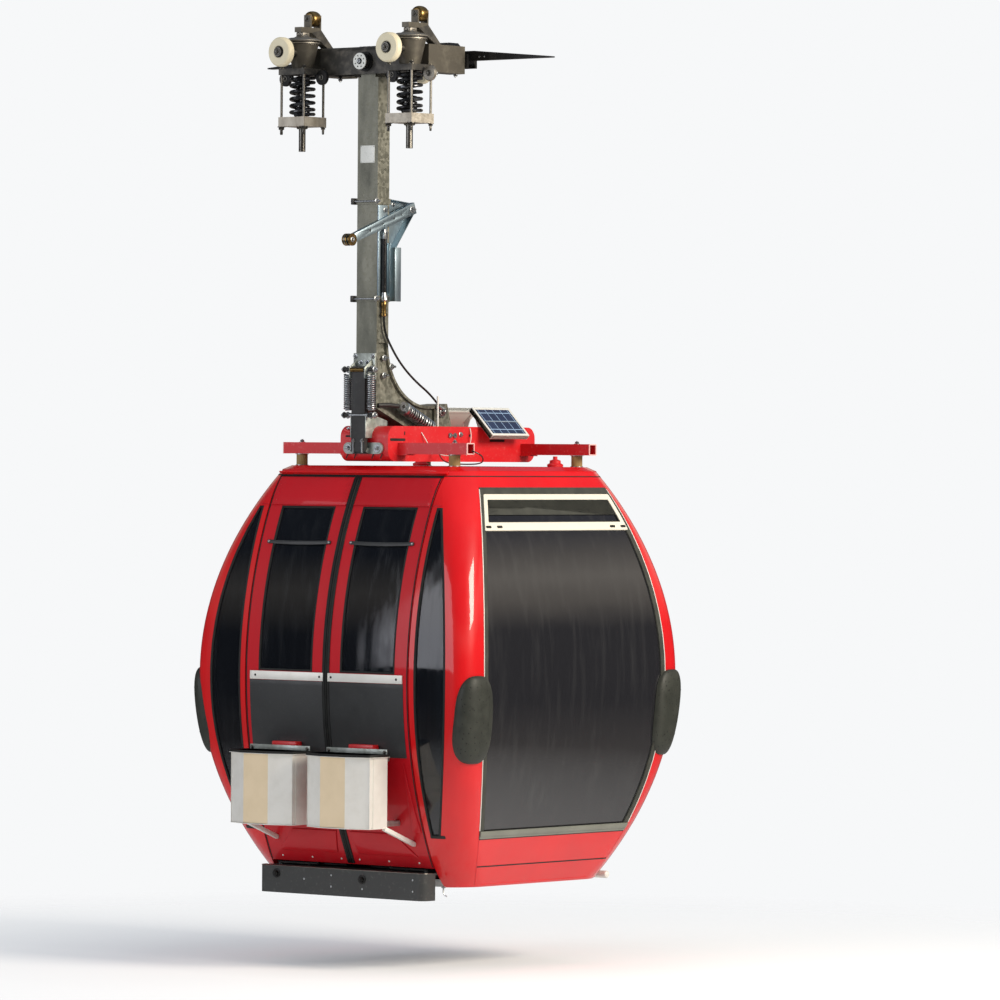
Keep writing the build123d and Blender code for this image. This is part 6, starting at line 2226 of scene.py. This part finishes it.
@dataclass
class RoofFrame:
    """Red roof frame with its bolts, slots, leads, rubber blocks and solar panels."""

    shop: Workshop
    side_x: float = 0.165
    front_y: float = -0.341
    rail_end: float = 0.638
    rails: Flat = (-0.230, 0.790)
    rail_z: float = -2.016
    tube_half: float = 0.0305
    tube_wall: float = 6 * MILLIMETRE
    mount_x: float = 0.530
    mark: float = 0.8 * MILLIMETRE
    # Slots in the channel's sides: place along it, level, half width and half height
    slots: tuple[tuple[float, float, float, float], ...] = (
        (-0.262, -1.9700, 0.062, 0.007), (-0.206, -1.936, 0.004, 0.010), (0.560, -1.9700, 0.062, 0.007),
        (0.330, -1.945, 0.007, 0.007),
    )
    panel_half: float = 0.155
    panel_slant: float = 0.210
    panel_rim: float = 0.015
    panel_place: Flat = (0.118, 0.555)
    panel_z: float = -1.795
    black_lead: tuple[Solid, ...] = (
        (0.640, -0.225, -2.026), (0.664, -0.205, -2.036), (0.668, -0.160, -2.060), (0.630, -0.125, -2.094),
        (0.500, -0.115, -2.098), (0.350, -0.080, -2.092), (0.240, -0.010, -2.060), (0.1665, 0.060, -2.000),
    )
    pale_lead: tuple[Solid, ...] = (
        (0.1665, -0.070, -1.931), (0.182, -0.060, -1.960), (0.190, -0.020, -2.020), (0.230, 0.030, -2.055),
        (0.290, 0.060, -2.050), (0.310, 0.075, -2.015), (0.280, 0.090, -1.990), (0.225, 0.100, -2.010),
        (0.1665, 0.120, -2.045),
    )
    back_lead: tuple[Solid, ...] = (
        (0.1665, 0.330, -1.905), (0.180, 0.326, -1.930), (0.182, 0.318, -1.990), (0.1665, 0.300, -2.050),
    )

    def tube_ends(self, ends: Form, bolts: Form, red: Form) -> None:
        """Adds the sawn ends of the square tubes, and the bolts and plates on them.

        Args:
            ends: Takes the sawn ends.
            bolts: Takes the bolts and washers over the rubber blocks.
            red: Takes the plates beside the channel.
        """
        z = self.rail_z
        for y in self.rails:
            half, bore = self.tube_half, self.tube_half - self.tube_wall
            outer = rounded((y - half, z - half), (y + half, z + half), 0.004, 2)
            inner = rounded((y - bore, z - bore), (y + bore, z + bore), 0.002, 2)
            for side in ENDS:
                low, high = sorted((side * (self.rail_end - 0.004), side * (self.rail_end + 0.002)))
                ends.prism(Axis.X, outer, low, high, 0.0008, [inner])
                x = side * self.mount_x
                bolts.bolt((x, y, z + 0.030), UPWARD, 0.011, 0.004)
                bolts.rod((x, y, -2.050), UPWARD, 0.036, 0.003, 28)
                bolts.rod((x, y, -2.1087), UPWARD, 0.034, 0.0035, 28)
                left, right = sorted((side * self.side_x, side * 0.230))
                red.block((left, y - 0.036, z - 0.036), (right, y + 0.036, z - 0.0302), 0.001)

    def flanks(self, bolts: Form, dark: Form, red: Form) -> None:
        """Adds the slots and grommets in the channel's sides and the puck on the roof.

        Args:
            bolts: Takes the grommets.
            dark: Takes the slots.
            red: Takes the pucks.
        """
        puck = (
            (0, 0), (0.042, 0), (0.044, 0.012), (0.030, 0.020), (0.030, 0.034), (0.012, 0.040),
            (0.012, 0.056), (0, 0.056),
        )
        for side in ENDS:
            x = side * (self.side_x + 0.0002)
            left, right = sorted((x, x + side * self.mark))
            for y, z, width, tall in self.slots:
                hole = rounded((y - width, z - tall), (y + width, z + tall), min(width, tall) * 0.9, 3)
                dark.prism(Axis.X, hole, left, right)
            for y in (0.165, 0.205):
                bolts.collar((x, y, -1.945), (side, 0, 0), (0.006, 0.014), 0.006, 20)
            left, right = sorted((x, x + side * 0.004))
            bolts.block((left, 0.160, -1.951), (right, 0.210, -1.939), 0.001)
            red.lathe((side * 0.470, 0.680, -2.1085), UPWARD, puck, 28)

    def details(self) -> None:
        """Adds the tube ends, the bolts over the blocks, the slots, the latch and the puck."""
        ends, bolts, dark, red = Form(), Form(), Form(), Form()
        self.tube_ends(ends, bolts, red)
        self.flanks(bolts, dark, red)
        face = (self.front_y, self.front_y + self.mark)
        for x in (-0.118, -0.062, 0.060, 0.120):
            dark.prism(Axis.Y, strip((x - 0.006, -2.070), (x + 0.006, -2.046), 0.0035), *face)
        dark.prism(Axis.Y, rounded((-0.130, -1.958), (-0.068, -1.948), 0.004, 3), *face)
        latch = (
            (-0.110, -0.344, -1.925), (-0.110, -0.366, -1.922), (-0.078, -0.366, -1.930),
            (-0.078, -0.344, -1.934),
        )
        red.tube(latch, 0.008, 10)
        for x in (-0.110, -0.078):
            bolts.bolt((x, self.front_y, -1.914), FORWARD, 0.007)
        # The sawn tube ends are pale pink: painted highlight
        self.shop.add("rail_ends", ends, WORN_RED_WITH_PAINTED_HIGHLIGHT)
        self.shop.add("roof_frame_bolts", bolts, ZINC)
        self.shop.add("roof_frame_slots", dark, SEAL, slot="black_steel")
        self.shop.add("roof_frame_gussets", red, FRAME_RED)

    def leads(self) -> None:
        """Adds the thin leads that hang beside the channel."""
        self.shop.cord("lead_black", self.black_lead, 0.007, SHEATH, "medium")
        self.shop.cord("lead_pale", self.pale_lead, 0.0055, WHITE, "medium")
        self.shop.cord("lead_back", self.back_lead, 0.005, WHITE, "medium")

    def solar(self) -> None:
        """Adds the cells and the rims of the two panels."""
        half, slant, rim = self.panel_half, self.panel_slant, self.panel_rim
        tilt = math.radians(45)
        x, y = self.panel_place
        rect = ((-half, 0.0), (half, 0.0), (half, slant), (-half, slant))
        hole = ((-half + rim, rim), (half - rim, rim), (half - rim, slant - rim), (-half + rim, slant - rim))
        line = strip((-half + rim, slant / 2), (half - rim, slant / 2), 0.002)
        for side, name in SIDES:
            down = Vector((side * math.sin(tilt), 0, -math.cos(tilt)))
            out = Vector((side * math.sin(tilt), 0, math.cos(tilt)))
            turned = Matrix((Vector(BACKWARD), down, out)).transposed().to_4x4()
            matrix = Matrix.Translation(Vector((side * x, y, self.panel_z))) @ turned
            frame = Form().prism(Axis.Z, rect, -0.0265, 0.003, 0.0015, [hole]).moved(matrix)
            cells = Form().prism(Axis.Z, hole, -0.001, 0.0012).moved(matrix)
            middle = Form().prism(Axis.Z, line, 0.001, 0.0018).moved(matrix)
            self.shop.dress(WHITE, f"solar_panel_{name}")
            self.shop.add(f"solar_rim_{name}", frame, WHITE, slot="white_frame")
            self.shop.add(f"solar_cells_{name}", cells, CELLS)
            self.shop.add(f"solar_line_{name}", middle, PALE_ZINC, slot="solar_cells")

    def build(self) -> None:
        """Dresses the frame and its rubber blocks and adds the fittings."""
        self.shop.dress(FRAME_RED, "roof_frame")
        self.shop.dress(TAN_RUBBER, "roof_mounts")
        self.details()
        self.leads()
        self.solar()


@dataclass
class Grip:
    """Rope grip: wheels, rollers, coils, domes, nuts and the pierced pivot disc."""

    shop: Workshop
    head_x: float = 0.372
    pack_y: float = -0.428
    tie: float = 0.078
    plate_z: float = -0.318
    coil: Flat = (-0.2665, -0.0465)
    outer: Solid = (0.372, -0.600, 0.070)
    inner: Solid = (0.182, -0.100, -0.028)
    lever: Solid = (0.372, -0.350, 0.257)
    bore: float = 0.0145
    pivot_z: float = 0.020
    # Finishes of a spring pack between two levels
    bands: tuple[tuple[Finish, float, float], ...] = (
        (CREAM_ZINC, -0.32, -0.267), (DARK_ZINC, -0.46, -0.3185), (DARK_ZINC, -0.266, -0.0455),
        (WARM_STEEL, -0.0125, 0.1165), (MATT_ZINC, 0.1160, 0.170),
    )

    def wheel(self, name: str, place: Solid, radius: float, half: float, hub: float) -> None:
        """Adds one nylon wheel with a dark hub ring.

        Args:
            name: The wheel's body, also in the names of its pieces.
            place: Its middle.
            radius: Its radius.
            half: Half its width.
            hub: Outer radius of its hub ring.
        """
        bore, out, inside = self.bore, half, hub * 0.82
        profile = (
            (bore, 0.003 - out), (hub, 0.003 - out), (hub + 0.001, -out), (radius - 0.006, -out),
            (radius, 0.006 - out), (radius, out - 0.010), (radius - 0.0025, out - 0.006),
            (radius - 0.008, out), (hub + 0.004, out), (hub + 0.0025, out - 0.003), (bore, out - 0.003),
        )
        form = Form().lathe(place, FORWARD, profile, 56, True)
        self.shop.add(f"{name}_tyre", form, NYLON, name, replaces=[name])
        rings = Form().collar(place, FORWARD, (bore, hub), 0.003 - out, 36, 0.001 - out)
        ring = (
            (inside, out - 0.003), (hub, out - 0.003), (hub, out + 0.0010), (hub * 0.93, out + 0.002),
            (inside, out + 0.002),
        )
        rings.lathe(place, FORWARD, ring, 36, True)
        cap = Form().collar(place, FORWARD, (bore, inside), out - 0.001, 36, out - 0.003)
        self.shop.add(f"{name}_bearing", cap, DARK_ZINC, name)
        self.shop.add(f"{name}_hub", rings, BLACK_STEEL, name)

    def roller(self, name: str, place: Solid) -> None:
        """Adds one barrel roller of the levers.

        Args:
            name: The roller's body, also in the name of its piece.
            place: Its middle.
        """
        profile = [(self.bore, -0.033), (0.026, -0.033)]
        for n in range(1, 12):
            angle = math.pi * (n / 12 - 0.5)
            profile.append((0.027 + 0.015 * math.cos(angle) ** 0.7, 0.0325 * math.sin(angle)))
        profile += [(0.026, 0.033), (self.bore, 0.033)]
        form = Form().lathe(place, FORWARD, profile, 48, True)
        self.shop.add(f"{name}_barrel", form, ROLLER_BRASS, name, replaces=[name])

    def coils(self) -> None:
        """Adds the outer and inner coils of both packs."""
        form, inner = Form(), Form()
        y = self.pack_y
        low, high = self.coil
        for side in ENDS:
            x = side * self.head_x
            form.spring((x, y, low), (x, y, high), 0.0610, 0.0092, 6.6, 30)
            inner.spring((x, y, high), (x, y, low), 0.0340, 0.0060, 8.5, 22)
        self.shop.add("pack_coils", form, SPRING_STEEL_WITH_PAINTED_GLINTS, "grip", replaces=["grip_springs"])
        self.shop.add("pack_inner_coils", inner, SPRING_STEEL_WITH_PAINTED_GLINTS, "grip")

    def pack(self, side: int, name: str) -> None:
        """Dresses one spring pack and adds its nuts, rings and buffers.

        Args:
            side: -1 for the left pack and 1 for the right.
            name: The pack's side in the names of its pieces.
        """
        x, y = side * self.head_x, self.pack_y
        reach = 0.1
        accents = [
            (finish, (x - reach, y - reach, low), (x + reach, y + reach, high))
            for finish, low, high in self.bands
        ]
        accents += [
            (WARM_STEEL, (x - 1.0, -0.7, 0.170), (x + 1.0, 0.0, 0.30)),
            (DARK_ZINC, (x - 0.03, -0.64, 0.04), (x + 0.03, -0.52, 0.10)),
        ]
        self.shop.dress(CASTING, f"spring_pack_{name}", accents=accents)
        bolts, dark, bright = Form(), Form(), Form()
        for tie_x in (x - self.tie, x + self.tie):
            bolts.bolt((tie_x, y - self.tie, self.plate_z), DOWNWARD, 0.0150, 0.026)
            bolts.bolt((tie_x, y - self.tie, -0.013), UPWARD, 0.0120, 0.004)
            bolts.bolt((tie_x, y + self.tie, self.plate_z), DOWNWARD, 0.0115, 0.026)
        nut = ((0.018, 0), (0.030, 0), (0.030, 0.008), (0.026, 0.012), (0.018, 0.012))
        bolts.lathe((x, y, self.plate_z), DOWNWARD, nut, 6, True)
        bolts.bolt((x, -0.6313, self.outer[2]), FORWARD, 0.0125, 0.003)
        for face, way in ((-0.3933, FORWARD), (-0.3067, BACKWARD)):
            bolts.bolt((x, face, self.lever[2]), way, 0.0115, 0.004)
        bead = ((0.089, 0), (0.0915, 0.001), (0.0915, 0.004), (0.089, 0.005))
        for z in (0.1165, 0.1265):
            dark.lathe((x, y, z), UPWARD, bead, 56, True)
        dark.rod((x, y - 0.0180, -0.437), FORWARD, 0.0035, 0.0006, 12)
        self.dome(x, bright)
        # On the right pack the outermost buffer disc goes with the pale dome rim, a painted highlight on the
        # end that faces the light; the other discs stay black
        self.buffers(x, bolts, dark, dark if side < 0 else bright)
        self.shop.add(f"pack_nuts_{name}", bolts, DARK_ZINC, "grip")
        self.shop.add(f"pack_rings_{name}", dark, BLACK_STEEL, "grip")
        self.shop.add(f"pack_dome_rim_{name}", bright, MATT_ZINC, "grip")

    def dome(self, x: float, bright: Form) -> None:
        """Adds the rolled rim of a pack's dome and the block with its ring on top.

        Args:
            x: The pack's place along the rope.
            bright: Takes the shapes.
        """
        y = self.pack_y
        rim = (
            (0.086, 0.0), (0.0925, 0.0), (0.0940, 0.003), (0.0925, 0.007), (0.080, 0.014), (0.070, 0.018),
            (0.070, 0.010),
        )
        bright.lathe((x, y, 0.1335), UPWARD, rim, 56, True)
        bright.block((x - 0.025, y - 0.026, 0.160), (x + 0.025, y + 0.026, 0.1815), 0.004)
        bright.collar((x + 0.006, y - 0.026, 0.171), FORWARD, (0.006, 0.0115), 0.003, 20)

    def buffers(self, x: float, bolts: Form, left: Form, right: Form) -> None:
        """Adds the round buffers on both sides of a pack, with their arms and bolts.

        Args:
            x: The pack's place along the rope.
            bolts: Takes the bolts.
            left: Takes the left disc and both arms.
            right: Takes the right disc.
        """
        y, z = self.pack_y, -0.060
        disc = ((0, -0.010), (0.037, -0.010), (0.040, -0.006), (0.040, 0.006), (0.037, 0.010), (0, 0.010))
        for offset, shade in ((-0.128, left), (0.128, right)):
            shade.lathe((x + offset, y + 0.012, z), FORWARD, disc, 36)
            bolts.bolt((x + offset, y + 0.002, z), FORWARD, 0.011, 0.003)
            low, high = sorted((x + offset * 0.60, x + offset * 0.92))
            left.block((low, y + 0.006, -0.066), (high, y + 0.018, -0.0448), 0.002)

    def pivot(self) -> None:
        """Adds the pierced disc on the pivot's end, with the hub behind it and a wider black ring behind the
        disc as its painted shadow.
        """
        z = self.pivot_z
        holes = [circle((0.0, z), 0.016, 24)]
        for n in range(8):
            angle = math.tau * (n + 0.5) / 8
            holes.append(circle((0.0305 * math.cos(angle), z + 0.0305 * math.sin(angle)), 0.0042, 12))
        disc = Form().prism(Axis.Y, circle((0.0, z), 0.0435, 48), -0.4010, -0.3952, 0.001, holes)
        self.shop.add("pivot_disc", disc, WHITE, "grip")
        cap = ((0, 0), (0.0155, 0), (0.0155, 0.009), (0.012, 0.011), (0, 0.011))
        hub = Form().lathe((0, -0.3952, z), FORWARD, cap, 24)
        # Black ring wider than the disc, behind it: the disc's painted shadow on the beam
        hub.collar((0, -0.3505, z), FORWARD, (0.040, 0.052), 0.010, 40)
        for side in ENDS:
            for x in (0.090, 0.235):
                hub.bolt((side * x, -0.280, -0.045), DOWNWARD, 0.010, 0.008)
        self.shop.add("pivot_hub_and_painted_shadow", hub, BLACK_STEEL, "grip")

    def small_bolts(self) -> None:
        """Adds the rivets of the noses and the bolts of the beam, the inner wheels and the pivot."""
        small = Form()
        for side in ENDS:
            for x in (0.505, 0.540):
                for y, way in ((-0.022, FORWARD), (0.022, BACKWARD)):
                    small.rivet((side * x, y, 0.045), way, 0.0055)
            for y in (-0.090, -0.250):
                small.bolt((side * 0.400, y, -0.045), DOWNWARD, 0.011, 0.006)
            small.bolt((side * self.inner[0], self.inner[1] + 0.0257, self.inner[2]), BACKWARD, 0.0125, 0.004)
            small.block((side * 0.255 - 0.045, -0.262, 0.1000), (side * 0.255 + 0.045, -0.228, 0.1035), 0.001)
        small.bolt((0, -0.4062, self.pivot_z), FORWARD, 0.0085, 0.003)
        small.bolt((0, -0.190, self.pivot_z), BACKWARD, 0.018, 0.006)
        self.shop.add("grip_small_bolts", small, ZINC, "grip")

    def build(self) -> None:
        """Dresses the grip and adds its pieces."""
        heads = [
            (WARM_STEEL, (0.3195, -0.345, -0.05), (0.43, -0.03, 0.105)),
            (WARM_STEEL, (-0.43, -0.345, -0.05), (-0.3195, -0.03, 0.105)),
            (BLACK_STEEL, (-0.045, -0.40, -0.03), (0.045, -0.3505, 0.07)),
        ]
        self.shop.dress(CASTING, "grip_frame", accents=heads)
        self.shop.dress(BLACK_STEEL, "grip_jaw")
        for side, name in SIDES:
            outer, inner, lever = ((side * x, y, z) for x, y, z in (self.outer, self.inner, self.lever))
            self.wheel(f"outer_wheel_{name}", outer, 0.078, 0.021, 0.030)
            self.wheel(f"inner_wheel_{name}", inner, 0.064, 0.015, 0.028)
            self.roller(f"lever_roller_{name}", lever)
            self.pack(side, name)
        self.coils()
        self.pivot()
        self.small_bolts()


@dataclass
class Step:
    """Dark step under the doors, with its bolts and a paler metal bead along its top edge as painted
    highlight.
    """

    shop: Workshop
    front_y: float = -0.510
    back_y: float = -0.440
    half: float = 0.572
    corner: float = 0.045
    top_z: float = -4.228
    rivets: tuple[Flat, ...] = (
        (-0.251, -4.290), (-0.062, -4.262), (-0.062, -4.322), (0.153, -4.325), (0.500, -4.262),
        (0.500, -4.322),
    )
    caps: tuple[Flat, ...] = ((-0.443, -4.268), (0.153, -4.275))

    def build(self) -> None:
        """Dresses the step and adds its edge and bolts."""
        path = [(-self.half, self.back_y, self.top_z)]
        for side in ENDS:
            for n in range(7):
                angle = math.pi / 2 * (n / 6 if side < 0 else 1 - n / 6)
                x = side * (self.half - self.corner + self.corner * math.cos(angle))
                path.append((x, self.front_y + self.corner - self.corner * math.sin(angle), self.top_z))
        path.append((self.half, self.back_y, self.top_z))
        self.shop.dress(STEP_COAT, "door_step")
        # Paler bead along the top edge: painted highlight
        self.shop.add("step_edge_painted_highlight", Form().tube(path, 0.0022, 8), DARK_ZINC)
        bolts, caps = Form(), Form()
        for x, z in self.rivets:
            bolts.rivet((x, self.front_y, z), FORWARD, 0.0055)
        for x, z in self.caps:
            caps.bolt((x, self.front_y, z), FORWARD, 0.017, 0.004)
        self.shop.add("step_rivets", bolts, ZINC)
        self.shop.add("step_caps", caps, BLACK_STEEL)


@dataclass
class Interior:
    """Benches at both ends: pads on the folding pans, and the backrests on their frames."""

    shop: Workshop
    pad_x: Flat = (0.452, 0.700)
    height: float = 24 * MILLIMETRE
    wall: float = 8 * MILLIMETRE
    steps: int = 14
    top_z: float = -3.814
    pads: tuple[Flat, ...] = ((-0.405, 0.037), (0.057, 0.503), (0.523, 0.965))

    def cushion(self, low: Flat, high: Flat) -> Form:
        """Makes a crowned pad whose sides pull in at its foot.

        Args:
            low: Its low corner in plan.
            high: Its high corner in plan.

        Returns:
            The pad.
        """
        form = Form()
        middle = Vector(((low[0] + high[0]) / 2, (low[1] + high[1]) / 2))
        half = Vector(((high[0] - low[0]) / 2, (high[1] - low[1]) / 2))
        rows = []
        for i in range(self.steps + 1):
            row = []
            for j in range(self.steps + 1):
                u, v = (math.sin(math.pi / 2 * (2 * k / self.steps - 1)) for k in (i, j))
                x, y = u * (1 - 0.010 * v**8), v * (1 - 0.012 * u**8)
                crown = ((1 - u**6) * (1 - v**6)) ** 0.5
                z = self.top_z + self.wall + (self.height - self.wall) * crown
                row.append(form.bm.verts.new((middle.x + half.x * x, middle.y + half.y * y, z)))
            rows.append(row)
        for i in range(self.steps):
            for j in range(self.steps):
                form.bm.faces.new((rows[i][j], rows[i + 1][j], rows[i + 1][j + 1], rows[i][j + 1]))
        rim = [edge for edge in form.bm.edges if edge.is_boundary]
        grown = bmesh.ops.extrude_edge_only(form.bm, edges=rim)["geom"]
        for vert in (item for item in grown if isinstance(item, bmesh.types.BMVert)):
            vert.co.x = middle.x + (vert.co.x - middle.x) * 0.975
            vert.co.y = middle.y + (vert.co.y - middle.y) * 0.985
            vert.co.z = self.top_z
        bmesh.ops.contextual_create(form.bm, geom=[edge for edge in form.bm.edges if edge.is_boundary])
        return form

    def build(self) -> None:
        """Dresses the benches and adds the pads."""
        for side, name in SIDES:
            self.shop.dress(SEAT, f"seat_{name}")
            self.shop.dress(FRAME_GREY, f"seat_frame_{name}")
            for n, (start, end) in enumerate(self.pads):
                low, high = sorted((side * self.pad_x[0], side * self.pad_x[1]))
                form = self.cushion((low, start), (high, end))
                pad = self.shop.add(f"seat_pad_{name}_{n + 1}", form, SEAT, f"seat_{name}")


def main() -> None:
    """Builds the scene, one sub-assembly after another."""
    logging.basicConfig(level=logging.INFO, format="%(message)s")
    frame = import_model()
    shop = Workshop(frame)
    Studio().build()
    parts = (
        CabinShell, Vents, Bumpers, Doors, SkiPockets, HangerArm, ReleaseLinkage, Suspension, RoofFrame,
        Grip, Step, Interior,
    )
    for part in parts:
        part(shop).build()
    log.info("%d pieces", shop.count)


if __name__ == "__main__":
    main()
